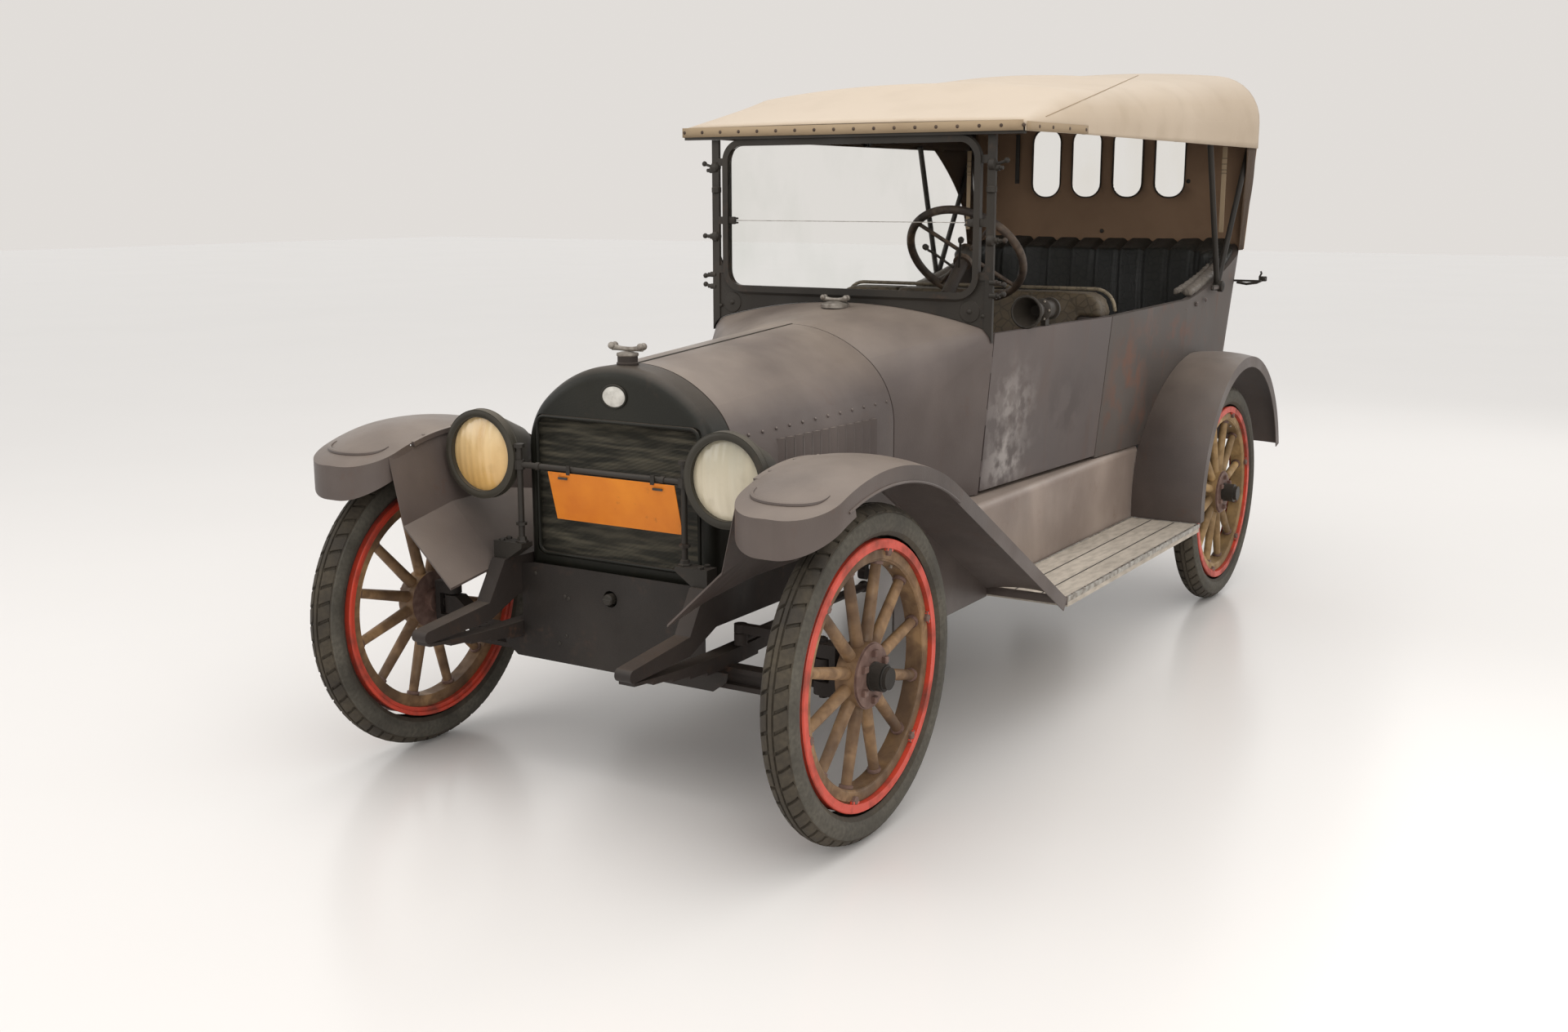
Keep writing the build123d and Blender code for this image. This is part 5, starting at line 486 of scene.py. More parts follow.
# %% Shape tool
class Shape:
    """Gathers forms in one mesh. Each form takes the material named last."""

    def __init__(self, name, material):
        self.name = name
        self.mesh = bmesh.new()
        self.materials = []
        self.use(material)

    def use(self, material):
        if material not in self.materials:
            self.materials.append(material)
        self.index = self.materials.index(material)
        return self

    def keep(self, faces):
        for face in faces:
            face.material_index = self.index
            face.smooth = True
        return faces

    def grid(self, rows, around=False, along=False):
        """Quads between rows of points; around closes each row, along joins the last row to the first."""
        made = [[self.mesh.verts.new(p) for p in row] for row in rows]
        count = len(made[0])
        faces = []
        for i in range(len(made) if along else len(made) - 1):
            low, high = made[i], made[(i + 1) % len(made)]
            for j in range(count if around else count - 1):
                k = (j + 1) % count
                faces.append(self.mesh.faces.new((low[j], low[k], high[k], high[j])))
        self.keep(faces)
        return made

    def cap(self, ring):
        self.keep([self.mesh.faces.new(ring)])

    def tube(self, path, radius, sides=10, closed=False, square=None):
        """Round bar along a path, or a flat bar when square gives its two half-sizes."""
        path = [Vector(p) for p in path]
        count = len(path)
        rows, side = [], None
        for i, point in enumerate(path):
            before = path[(i - 1) % count] if closed or i else point
            after = path[(i + 1) % count] if closed or i < count - 1 else point
            ahead = (after - before).normalized()
            if side is None:
                side = ahead.cross(Vector((0, 0, 1)))
                if side.length < 0.05:
                    side = ahead.cross(Vector((0, 1, 0)))
            side = (side - ahead * side.dot(ahead)).normalized()
            lift = side.cross(ahead)
            r = radius[i] if isinstance(radius, (list, tuple)) else radius
            if square:
                corners = ((1, 1), (-1, 1), (-1, -1), (1, -1))
                rows.append([point + side * a * square[0] + lift * b * square[1] for a, b in corners])
            else:
                rows.append([point + (side * math.cos(t) + lift * math.sin(t)) * r for t in turns(sides)])
        made = self.grid(rows, around=True, along=closed)
        if not closed:
            self.cap(list(reversed(made[0])))
            self.cap(made[-1])

    def lathe(self, origin, axis, profile, steps=24, closed=False):
        """Turns pairs of (distance along the axis, radius) round the axis."""
        axis = Vector(axis).normalized()
        side = axis.orthogonal().normalized()
        lift = axis.cross(side)
        around = [side * math.cos(t) + lift * math.sin(t) for t in turns(steps)]
        rows = [[Vector(origin) + axis * a + way * max(r, 1e-5) for way in around] for a, r in profile]
        made = self.grid(rows, around=True, along=closed)
        if not closed:
            for ring, (_, r) in ((made[0], profile[0]), (made[-1], profile[-1])):
                if r > 1e-4:
                    self.cap(ring)

    def bolt(self, place, axis, radius, height, sides=6):
        """Bolt head or rivet standing on a surface."""
        profile = [(-height * 0.3, radius), (height * 0.75, radius), (height, radius * 0.72), (height * 1.02, 0)]
        if sides > 6:
            profile = [(-height * 0.3, radius), (0.2 * height, radius), (height * 0.8, radius * 0.62), (height, 0)]
        self.lathe(place, axis, profile, sides)

    def block(self, centre, size, bevel=0.0, turn=None):
        """Box with softened edges."""
        made = bmesh.ops.create_cube(self.mesh, size=1.0)["verts"]
        matrix = Matrix.Translation(Vector(centre)) @ (turn or Matrix.Identity(4)) @ Matrix.Diagonal((*size, 1.0))
        bmesh.ops.transform(self.mesh, matrix=matrix, verts=made)
        faces = list({face for v in made for face in v.link_faces})
        if bevel:
            edges = list({e for face in faces for e in face.edges})
            faces = bmesh.ops.bevel(
                self.mesh, geom=edges, affect="EDGES", offset=bevel, segments=2, profile=0.5, material=-1
            )["faces"] + [f for f in faces if f.is_valid]
        self.keep(faces)

    def done(self, body, slot, sharp=35):
        """Turns the gathered forms into the finished piece."""
        bmesh.ops.remove_doubles(self.mesh, verts=self.mesh.verts, dist=1e-6)
        bmesh.ops.recalc_face_normals(self.mesh, faces=self.mesh.faces)
        data = bpy.data.meshes.new(self.name)
        self.mesh.to_mesh(data)
        self.mesh.free()
        for material in self.materials:
            data.materials.append(material)
        data.set_sharp_from_angle(angle=math.radians(sharp))
        piece = bpy.data.objects.new(self.name, data)
        bpy.context.scene.collection.objects.link(piece)
        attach(piece, body)
        print(self.name, len(data.polygons), "faces")
        return piece


# %% [markdown]
# ## Finishes on the solids
# Nodes whose shape is right keep it. Where one solid holds two materials, its faces are told apart by place.

# %% Give every solid its finish
PLAIN = {
    body_paint: ("hood_left", "hood_right", "cowl"),
    door_paint: ("door_left", "door_right"),
    tub_paint: ("body_tub",),
    shell_paint: ("radiator_shell", "hood_hinge"),
    fender_paint: ("front_fenders", "rear_fenders"),
    apron_dust: ("splash_aprons",),
    apron_paint: ("front_apron",),
    frame_paint: (
        "frame_rails", "leaf_springs", "front_axle", "rear_axle", "knuckle_left", "knuckle_right", "tie_rod",
        "drag_link", "pitman_arm", "exhaust", "engine", "steering_column", "driver_controls",
    ),
    dark_steel: ("top_frame", "lamp_brackets", "windshield_frame", "horn"),
    lamp_paint: ("headlamps",),
    nickel: ("radiator_cap",),
    fins: ("radiator_core",),
    board_wood: ("dashboard", "firewall", "floor", "seat_boxes"),
    helm_wood: ("steering_wheel",),
    rear_leather: ("rear_seat_cushion", "rear_seat_back"),
    front_leather: ("front_seat_cushion", "front_seat_back"),
    clear: ("window_panes",),
    celluloid: ("curtain_panes",),
    top_canvas: ("canopy", "rear_curtain"),
    covering: ("running_boards",),
    rubber: ("tyre_front_left", "tyre_front_right", "tyre_rear_left", "tyre_rear_right"),
}


def finish_node(name, materials, choose=None):
    """Gives a solid its materials; choose picks one by the face's middle and normal."""
    data = nodes[name].data
    data.materials.clear()
    for material in materials:
        data.materials.append(material)
    for face in data.polygons:
        face.material_index = choose(face.center, face.normal) if choose else 0


for finish, names in PLAIN.items():
    for name in names:
        finish_node(name, [finish])


def wheel_part(axle_y):
    """Red rim, wooden felloe and spokes, metal hub, by the distance from the axle."""

    def choose(point, normal):
        reach = math.hypot(point.y - axle_y, point.z - TYRE_R)
        out = abs(point.x) - WHEEL_X
        if reach > 0.3095:
            return 1
        if reach < 0.040 and out > 0.030:
            return 4
        if reach < 0.083 and (abs(out) > 0.0255 or reach < 0.040):
            return 2
        if reach < 0.155 and out < -0.040:
            return 3
        return 0

    return choose


for place, axle_y in (("front", FRONT_AXLE), ("rear", REAR_AXLE)):
    wood = rear_wood if place == "rear" else front_wood_painted_shade
    for side_name in ("left", "right"):
        materials = [wood, red_paint, hub_metal, frame_paint, dark_steel]
        finish_node(f"wheel_{place}_{side_name}", materials, wheel_part(axle_y))
finish_node("headlamp_lenses", [cream_lens, amber_lens], lambda point, normal: 0 if point.x > 0 else 1)
plate_top = at(0, 0, 851).z
finish_node("licence_plate", [orange, dark_steel], lambda point, normal: 1 if point.z > plate_top else 0)

# %% [markdown]
# ## Tyres
# The section follows the solid's round. Two grooves part the centre rib, and slots cut the shoulders into blocks.

# %% Tread
SECTION_R, BLOCKS = 0.0445, 54
# Columns: angle round the section in degrees, groove depth in mm, cut by the slots or not
SECTION = (
    (0, 0, 0), (6, 0, 0), (7, 4.5, 0), (12, 4.5, 0), (13, 0, 1), (22, 0, 1), (32, 0, 1), (42, 0, 1), (52, 0, 1),
    (54, 1.2, 0), (58, 1.2, 0), (62, 0, 0), (84, 0, 0), (98, -0.6, 0), (101, 0, 0), (118, 0, 0), (136, 0, 0),
)


def tread(name, side_x, axle_y):
    """Tyre with a worn block tread, in place of its plain solid."""
    shape = Shape(f"tread_{name}", rubber)
    columns = [(-a, d, cut) for a, d, cut in reversed(SECTION[1:])] + list(SECTION)
    rows = []
    for block in range(BLOCKS):
        for phase, slot in ((0.0, 0), (0.78, 0), (0.82, 1), (0.96, 1)):
            row = []
            for angle, depth, cut in columns:
                lean = 0.30 * math.copysign(1, angle) * cut * (abs(angle) - 13) / 39
                turn = 2 * math.pi * (block + phase + lean) / BLOCKS
                drop = (depth + (7.0 if slot and cut else 0.0)) / 1000
                a = math.radians(angle)
                reach = TYRE_R - SECTION_R + (SECTION_R - drop) * math.cos(a)
                row.append(Vector((
                    side_x + (SECTION_R - drop) * math.sin(a),
                    axle_y + reach * math.sin(turn),
                    TYRE_R + reach * math.cos(turn),
                )))
            rows.append(row)
    shape.grid(rows, along=True)
    piece = shape.done(f"{name}_wheel", "tyre", 28)
    piece.data.materials.append(side_rubber)
    for face in piece.data.polygons:
        face.material_index = 1 if abs(face.center.x - side_x) > 0.0375 else 0
    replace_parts(piece, f"tyre_{name}")


WHEELS = (
    ("front_left", 1, FRONT_AXLE, 0.080), ("front_right", -1, FRONT_AXLE, 0.080),
    ("rear_left", 1, REAR_AXLE, 0.089), ("rear_right", -1, REAR_AXLE, 0.089),
)
for name, side, axle_y, _ in WHEELS:
    tread(name, side * WHEEL_X, axle_y)


# %% [markdown]
# ## Wheel fittings
# Each wheel carries a rolled rim edge, felloe bands, wedges with bolts, spoke collars, hub bolts, cap and valve.

# %% Rim edges, wedges and hubs
def wheel_fittings(name, side, axle_y, cap_reach):
    shape = Shape(f"wheel_fittings_{name}", red_paint)
    middle = Vector((side * WHEEL_X, axle_y, TYRE_R))
    out = Vector((side, 0, 0))

    def spot(reach, turn, along):
        return middle + Vector((side * along, reach * math.sin(turn), reach * math.cos(turn)))

    for along in (0.036, -0.036):
        edge = [(along - 0.003 + 0.004 * math.cos(t), 0.327 + 0.006 * math.sin(t)) for t in turns(8)]
        shape.lathe(middle, out, edge, 96, closed=True)
    shape.use(rear_wood if "rear" in name else front_wood_painted_shade)
    shape.lathe(middle, out, [(0.0225, 0.281), (0.026, 0.284), (0.026, 0.305), (0.0225, 0.308)], 96, closed=True)
    shape.use(hub_metal)
    for step in range(6):
        turn = 2 * math.pi * (step + 0.25) / 6
        shape.bolt(spot(0.301, turn, 0.026), out, 0.011, 0.010)
        shape.block(spot(0.309, turn, 0.029), (0.010, 0.034, 0.016), 0.002, Matrix.Rotation(-turn, 4, "X"))
    shape.lathe(middle, out, [
        (0.026, 0.0), (0.026, 0.079), (0.031, 0.079), (0.034, 0.072), (0.034, 0.040), (0.034, 0.0),
    ], 36)
    for step in range(6):
        turn = 2 * math.pi * step / 6
        shape.bolt(spot(0.058, turn, 0.034), out, 0.0115, 0.012, 4)
    for step in range(12):
        turn = 2 * math.pi * (step + 0.5) / 12
        way = Vector((0, math.sin(turn), math.cos(turn)))
        shape.lathe(spot(0.268, turn, 0), way, [(0, 0.0135), (0.001, 0.0175), (0.009, 0.0175), (0.010, 0.0135)], 14)
    shape.use(dark_steel)
    reach = cap_reach - 0.002
    shape.lathe(middle, out, [
        (0.034, 0.036), (0.040, 0.036), (0.042, 0.028), (0.046, 0.028), (0.048, 0.0295), (reach - 0.012, 0.0295),
        (reach - 0.010, 0.026), (reach - 0.003, 0.025), (reach, 0.019), (reach, 0.0),
    ], 28)
    for ring in range(5):
        start = 0.050 + ring * 0.0045
        shape.lathe(middle, out, [(start, 0.0294), (start + 0.0015, 0.0312), (start + 0.003, 0.0294)], 28)
    shape.use(nickel)
    shape.tube([spot(0.306, 0.5, 0.008), spot(0.270, 0.5, 0.008)], 0.004, 8)
    shape.done(f"{name}_wheel", "wheel_wood")


for name, side, axle_y, cap_reach in WHEELS:
    wheel_fittings(name, side, axle_y, cap_reach)

# %% [markdown]
# ## Cloth top
# One continuous sheet over header and bows. It sags a little between them, and its lower edge is bound and tacked.

# %% Top sheet
# Columns: y behind the front axle, half-width, corner radius, corner height, crown height
TOP_ROWS = (
    (1153, 604, 24, 1741, 1768), (1571, 632, 110, 1763, 1906), (2442, 640, 150, 1793, 1984),
    (3415, 640, 190, 1833, 2046), (3439, 640, 190, 1833, 2046),
)
TOP_EDGE = 1733


def top_section(row, count=(4, 8, 16)):
    """Outline of one arch from the left edge over the crown to the right edge."""
    y, half, corner, corner_z, crown = row
    centre = half - corner
    join = math.pi / 2 - 2 * math.atan((crown - corner_z - corner) / centre)
    points = [(half, TOP_EDGE + (corner_z - TOP_EDGE) * k / count[0]) for k in range(count[0])]
    points += [
        (centre + corner * math.cos(join * k / count[1]), corner_z + corner * math.sin(join * k / count[1]))
        for k in range(count[1])
    ]
    join_x, join_z = centre + corner * math.cos(join), corner_z + corner * math.sin(join)
    radius = (join_x ** 2 + (crown - join_z) ** 2) / (2 * (crown - join_z))
    sweep = math.asin(join_x / radius)
    points += [
        (radius * math.sin(a), crown - radius + radius * math.cos(a))
        for a in (sweep * (1 - k / count[2]) for k in range(count[2] + 1))
    ]
    return points + [(-x, z) for x, z in reversed(points[:-1])]


def top_point(y, j, lift=0.0):
    """Point of the sheet at y and number j along the arch, with the sag between bows."""
    bay = max(i for i, row in enumerate(TOP_ROWS[:-1]) if y >= row[0])
    a, b = TOP_ROWS[bay], TOP_ROWS[bay + 1]
    share = (y - a[0]) / (b[0] - a[0])
    (xa, za), (xb, zb) = top_section(a)[j], top_section(b)[j]
    sag = 4 * share * (1 - share) * (b[0] - a[0]) / 1000
    x = xa + (xb - xa) * share
    z = za + (zb - za) * share
    height = max(0.0, min(1.0, (z - TOP_EDGE) / 120))
    pucker = 1.6 * math.sin(y / 31.0 + 5 * x / 640) * (1 - height)
    pucker += 1.2 * math.sin(x / 47.0 + y / 90.0) * height
    inset = math.copysign(1.5 + pucker * (1 - height), x) * (abs(x) > 500)
    return at(x * (1 - 0.006 * sag) - inset, y, z - 9 * sag * height - 1.0 + pucker * height * sag + lift)


columns = len(top_section(TOP_ROWS[0]))
stations = []
for a, b in zip(TOP_ROWS[:-1], TOP_ROWS[1:]):
    steps = 1 if b[0] - a[0] < 60 else max(8, int((b[0] - a[0]) / 45))
    stations += [a[0] + (b[0] - a[0]) * k / steps for k in range(steps)]
stations.append(TOP_ROWS[-1][0])
shape = Shape("top_cloth", top_canvas)
shape.grid([[top_point(y, j) for j in range(columns)] for y in stations])
ridge = [top_point(y, columns // 2) for y in stations]
for y in (1200, 2000, 2900, 3430):
    line = [top_point(y, j) for j in range(columns)]
area = sum(f.calc_area() for f in shape.mesh.faces)
top_cloth = shape.done("chassis", "canvas", 50)
top_cloth.data.materials.append(lining)
thicken(top_cloth, 0.003, -1.0, 1)
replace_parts(top_cloth, "canopy")

# %% Binding, tacks and seams of the top
shape = Shape("top_binding", binding_cloth)
SIDE_END = 1562
SEAM_START, SEAM_PLANE = at(600, 1302, 1776), Vector((-0.353, -0.192, 0.916))


def edge_strip(points, low, high, proud):
    """Flat strip of cloth standing just proud of the sheet along its lower edge."""
    levels = [Vector((0, 0, z / 1000)) for z in (low, (low + high) / 2, high)]
    shape.grid([[p + n * proud + level for level in levels] for p, n in points])


front_line = [(at(x, 1153, TOP_EDGE), Vector((0, -1, 0))) for x in range(-604, 605, 40)]
edge_strip(front_line, 0, 30, 0.0025)
for side in (1, -1):
    side_line = []
    for k in range(16):
        y = 1153 + (SIDE_END - 1153) * k / 15
        p = top_point(y, 0 if side > 0 else columns - 1)
        side_line.append((Vector((p.x, p.y, at(0, 0, TOP_EDGE).z)), Vector((side, 0, 0))))
    edge_strip(side_line, 0, 26, 0.003)
thicken(shape.done("chassis", "canvas", 50), 0.002)


def seam_point(y):
    """Point of the diagonal seam, where a slanted plane cuts the sheet's left half."""
    row = [top_point(y, j, 1.0) for j in range(columns // 2 + 1)]
    reach = [SEAM_PLANE.dot(p - SEAM_START) for p in row]
    for a, b, ra, rb in zip(row[:-1], row[1:], reach[:-1], reach[1:]):
        if ra <= 0 < rb:
            return a.lerp(b, ra / (ra - rb))
    return row[-1]


shape = Shape("top_tacks", bright_tack)
for k in range(18):
    shape.bolt(at(-596 + 70.2 * k, 1150.5, TOP_EDGE + 15), (0, -1, 0), 0.006, 0.004, 10)
for side in (1, -1):
    for y in (1238, 1325, 1441, 1548):
        p = top_point(y, 0 if side > 0 else columns - 1)
        shape.bolt(Vector((p.x + side * 0.003, p.y, at(0, 0, TOP_EDGE + 13).z)), (side, 0, 0), 0.006, 0.004, 10)
shape.use(binding_cloth)
for side in (1, -1):
    seam = [mirrored(seam_point(1302 + 1890 * k / 36), side) for k in range(37)]
    shape.tube(seam, 0.0013, 5)
shape.done("chassis", "canvas")

# %% [markdown]
# ## Rear curtain
# A flat cloth wall with four tall windows, slightly billowed, with bound window edges, a strap and knobs.

# %% Curtain sheet
CURTAIN_Y, WINDOW_W, WINDOW_H, PITCH, WINDOW_Z = 3436, 124, 285, 184, 1540
REAR_ROW = (3439, 633, 183, 1833, 2039)
FOOT_HW, FOOT_Z = 602, 1328


def stadium(middle, grow):
    """Tall rounded window outline round its middle."""
    half, r = WINDOW_W / 2 + grow, (WINDOW_W / 2 + grow) * 0.9
    low, high = WINDOW_Z - grow, WINDOW_Z + WINDOW_H + grow
    corners = ((half - r, high - r, 0), (-half + r, high - r, 1), (-half + r, low + r, 2), (half - r, low + r, 3))
    points = []
    for x, z, quarter in corners:
        for k in range(7):
            a = math.pi / 2 * (quarter + k / 6)
            points.append((middle + x + r * math.cos(a), z + r * math.sin(a)))
    return points


def curtain_mesh(shape):
    """Triangles of the curtain between its outline and its windows."""
    outline = top_section(REAR_ROW, (3, 6, 12)) + [(-FOOT_HW, FOOT_Z), (FOOT_HW, FOOT_Z)]
    loops = [outline] + [stadium(PITCH * (k - 1.5), 0) for k in range(4)]
    points, edges = [], []
    for loop in loops:
        start = len(points)
        points += [Vector(p) for p in loop]
        edges += [(start + i, start + (i + 1) % len(loop)) for i in range(len(loop))]
    for i in range(-12, 13):
        for k in range(0, 15):
            p = Vector((i * 50 + 7 * (k % 2), 1368 + k * 46))
            level = WINDOW_Z - 15 < p.y < WINDOW_Z + WINDOW_H + 15
            clear_of = all(abs(p.x - PITCH * (m - 1.5)) > WINDOW_W / 2 + 12 for m in range(4))
            in_sheet = abs(p.x) < 590 + (p.y - 1393) * 0.10 - 12 and p.y < 1990 - (p.x / 640) ** 2 * 120
            if in_sheet and (clear_of or not level):
                points.append(p)
    verts, _, faces, *_ = delaunay_2d_cdt(points, edges, [], 1, 1e-4)
    made = [shape.mesh.verts.new(at(v.x, billow(v.x, v.y), v.y)) for v in verts]
    kept = []
    for face in faces:
        middle = sum((verts[i] for i in face), Vector((0, 0))) / len(face)
        if not any(point_in(loop, middle) for loop in loops[1:]):
            kept.append(shape.mesh.faces.new([made[i] for i in face]))
    shape.keep(kept)


def point_in(loop, p):
    """True when the point lies inside the loop."""
    inside = False
    for (x1, z1), (x2, z2) in zip(loop, loop[1:] + loop[:1]):
        if (z1 > p.y) != (z2 > p.y) and p.x < (x2 - x1) * (p.y - z1) / (z2 - z1) + x1:
            inside = not inside
    return inside


def billow(x, z):
    return CURTAIN_Y + 1.6 * math.sin(x / 85.0) + 1.2 * math.sin(z / 60.0 + x / 140.0)


shape = Shape("curtain_cloth", top_canvas)
curtain_mesh(shape)
area = sum(f.calc_area() for f in shape.mesh.faces)
curtain = shape.done("chassis", "canvas", 60)
curtain.data.materials.append(curtain_inside)
thicken(curtain, 0.003, inner=1)
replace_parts(curtain, "rear_curtain")
shape = Shape("curtain_binding", dark_steel)
for m in range(4):
    ring = [at(x, CURTAIN_Y - 3, z) for x, z in stadium(PITCH * (m - 1.5), 3)]
    shape.tube(ring, 0.003, 6, closed=True)
shape.tube([at(-412, CURTAIN_Y - 5, z) for z in (1806, 1700, 1596)], 0.0, square=(0.009, 0.002))
for x, z in ((358, 1603), (-12, 1395), (-412, 1606)):
    shape.bolt(at(x, CURTAIN_Y - 5, z), (0, -1, 0), 0.009, 0.006, 10)
shape.done("chassis", "canvas")

# %% [markdown]
# ## Radiator and front
# The oval badge stays blank. A beaded edge frames the core, and the filler cap gets its bone-shaped handle.

# %% Badge, core edge, caps and crank end
def ring_points(centre, half_x, half_z, r, steps=6):
    """Rounded rectangle in a plane across the car."""
    x0, y0, z0 = centre
    points = []
    for sx, sz, quarter in ((1, 1, 0), (-1, 1, 1), (-1, -1, 2), (1, -1, 3)):
        for k in range(steps + 1):
            a = math.pi / 2 * (quarter + k / steps)
            x, z = sx * (half_x - r) + r * math.cos(a), sz * (half_z - r) + r * math.sin(a)
            points.append(at(x0 + x, y0, z0 + z))
    return points


def bone(shape, centre, reach, thick, lift):
    """Handle of a filler cap: a waisted bar with a forked knob at each end."""
    x, y, z = centre
    steps = [-1 + k / 6 for k in range(13)]
    shape.tube(
        [at(x + reach * t, y, z + lift * t * t) for t in steps],
        [(thick * (0.62 + 0.38 * abs(t) ** 3)) / 1000 for t in steps], 12,
    )
    for side in (1, -1):
        for fore in (1, -1):
            knob = at(x + side * reach, y + fore * thick * 0.75, z + lift + thick * 0.35)
            r = thick / 1000
            ball = [(r * (1 - math.cos(a)), r * math.sin(a)) for a in (math.pi * k / 8 for k in range(9))]
            shape.lathe(knob + Vector((0, 0, -r)), (0, 0, 1), ball, 14)


BADGE_Z = 1046
face_y = back(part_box("radiator_shell")[0][1])
shape = Shape("radiator_trim", shell_paint)
shape.tube(ring_points((0, face_y + 1, 795.5), 259, 184, 24), 0.005, 8, closed=True)
shape.use(badge_enamel)
shape.grid([
    [at(r * 37 * math.cos(t), face_y - 2 - 3.5 * (1 - r * r), BADGE_Z + r * 27 * math.sin(t)) for t in turns(40)]
    for r in (1.0, 0.75, 0.5, 0.25, 0.02)
], around=True)
shape.use(shell_paint)
badge_rim = [at(39 * math.cos(t), face_y - 2, BADGE_Z + 29 * math.sin(t)) for t in turns(40)]
shape.tube(badge_rim, 0.0028, 8, closed=True)
shape.use(dark_steel)
shape.lathe(at(0, -75, 521), (0, 1, 0), [(0, 0.0), (0, 0.012), (0.004, 0.015), (0.06, 0.015)], 18)
shape.lathe(at(0, -50, 521), (0, 1, 0), [
    (0.046, 0.0), (0.046, 0.0235), (0, 0.0235), (0, 0.028), (0.050, 0.028), (0.050, 0.0)], 24)
shape.tube([at(-13, -72, 521), at(13, -72, 521)], 0.004, 8)
for x, z in ((-139, 504), (-151, 508), (-174, 376), (250, 560), (-250, 560), (150, 400), (-150, 400)):
    shape.bolt(at(x, -60, z), (0, -1, 0), 0.006, 0.004, 10)
shape.done("chassis", "dark_steel")

shape = Shape("cap_trim", frame_paint)
neck = [(0, 0.027), (0.004, 0.029), (0.010, 0.029), (0.012, 0.0265), (0.028, 0.0265)]
shape.lathe(at(0, 35, 1118), (0, 0, 1), neck, 24)
shape.use(pewter)
lid = [(0, 0.0275), (0.003, 0.029), (0.008, 0.028), (0.011, 0.016), (0.013, 0.0)]
shape.lathe(at(0, 35, 1145), (0, 0, 1), lid, 24)
bone(shape, (0, 35, 1163), 46, 9.5, 4)
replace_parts(shape.done("chassis", "dark_steel"), "radiator_cap")

shape = Shape("cowl_cap", pewter)
lid = [(0, 0.044), (0.010, 0.044), (0.014, 0.040), (0.018, 0.022), (0.021, 0.0)]
shape.lathe(at(0, 1105, 1206), (0, 0, 1), lid, 28)
bone(shape, (0, 1105, 1230), 40, 9, 3)
shape.done("chassis", "dark_steel")

# %% [markdown]
# ## Lamps
# Each lamp has a rolled rim and a domed glass with fine flutes, and the posts have clamps, nuts and feet.

# %% Lamp rims, domed glass and clamps
LAMP_X, LAMP_Y, LAMP_Z, LENS_R, POST_X = 390, -94, 876, 0.099, 262.7
for name, x, glass in (("left", LAMP_X, cream_lens), ("right", -LAMP_X, amber_lens)):
    lens_y = back(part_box("headlamp_lenses")[0][1])
    shape = Shape(f"lamp_glass_{name}", glass)
    shape.lathe(at(x, lens_y, LAMP_Z), (0, -1, 0), [
        (0.016 * (1 - (r / LENS_R) ** 2), r) for r in (LENS_R, 0.09, 0.08, 0.07, 0.058, 0.045, 0.03, 0.015, 0.0)
    ], 48)
    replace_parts(shape.done("chassis", "glass", 60), "headlamp_lenses")
shape = Shape("lamp_trim", lamp_paint)
rim_y = back(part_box("headlamps")[0][1])
for x in (LAMP_X, -LAMP_X):
    shape.use(lamp_paint)
    shape.lathe(at(x, rim_y + 6, LAMP_Z), (0, 1, 0), [
        (0.009 * math.sin(a), 0.109 + 0.0105 * math.cos(a)) for a in turns(10)
    ], 64, closed=True)
    shape.lathe(at(x, rim_y + 22, LAMP_Z), (0, 1, 0), [
        (0.0035 * math.sin(a), 0.117 + 0.0035 * math.cos(a)) for a in turns(6)
    ], 64, closed=True)
    out = 1 if x > 0 else -1
    shape.use(dark_steel)
    shape.tube([at(x + out * 116, rim_y + 30, LAMP_Z + 8), at(x + out * 127, rim_y + 30, LAMP_Z + 8)], 0.006, 8)
    nut = [(0, 0.0065), (0.006, 0.008), (0.013, 0.006), (0.017, 0.0)]
    shape.lathe(at(x + out * 125, rim_y + 30, LAMP_Z + 2), (0, 0, 1), nut, 10)
    post = out * POST_X
    for z, tall in ((908, 10), (858, 24), (700, 8)):
        shape.lathe(at(post, LAMP_Y, z - tall / 2), (0, 0, 1), [
            (0, 0.010), (0, 0.0145), (tall / 1000, 0.0145), (tall / 1000, 0.010)], 6)
    foot = [(0, 0.017), (0.005, 0.017), (0.008, 0.013), (0.016, 0.012), (0.018, 0.009)]
    shape.lathe(at(post, LAMP_Y, 648), (0, 0, 1), foot, 6)
    collar = [(-0.004, 0.008), (-0.003, 0.0105), (0.003, 0.0105), (0.004, 0.008)]
    for step in (60, 66):
        shape.lathe(at(out * (POST_X - step), LAMP_Y, 858), (1, 0, 0), collar, 14)
    for fore in (-14, 14):
        shape.bolt(at(out * 320, LAMP_Y + fore, 650), (0, 0, 1), 0.008, 0.007)
shape.use(dark_seam_and_painted_shade)
for x in (-110, 190):
    shape.block(at(x, LAMP_Y - 11.5, 836), (0.030, 0.002, 0.006))
shape.done("chassis", "dark_steel")

shape = Shape("rear_lamp", dark_steel)
shape.tube([at(600, 3372, 1196), at(640, 3372, 1190), at(680, 3374, 1196), at(705, 3377, 1208)], 0.0055, 8)
shape.block(at(704, 3377, 1212), (0.030, 0.020, 0.020), 0.003)
shape.tube([at(690, 3377, 1218), at(698, 3377, 1234), at(694, 3377, 1242)], 0.004, 6)
shape.bolt(at(712, 3366, 1212), (0, -1, 0), 0.008, 0.008)
shape.done("chassis", "dark_steel")

# %% [markdown]
# ## Windshield
# A bead runs round the frame. The two panes meet at a thin line held by brackets, and studs stand out of the posts.

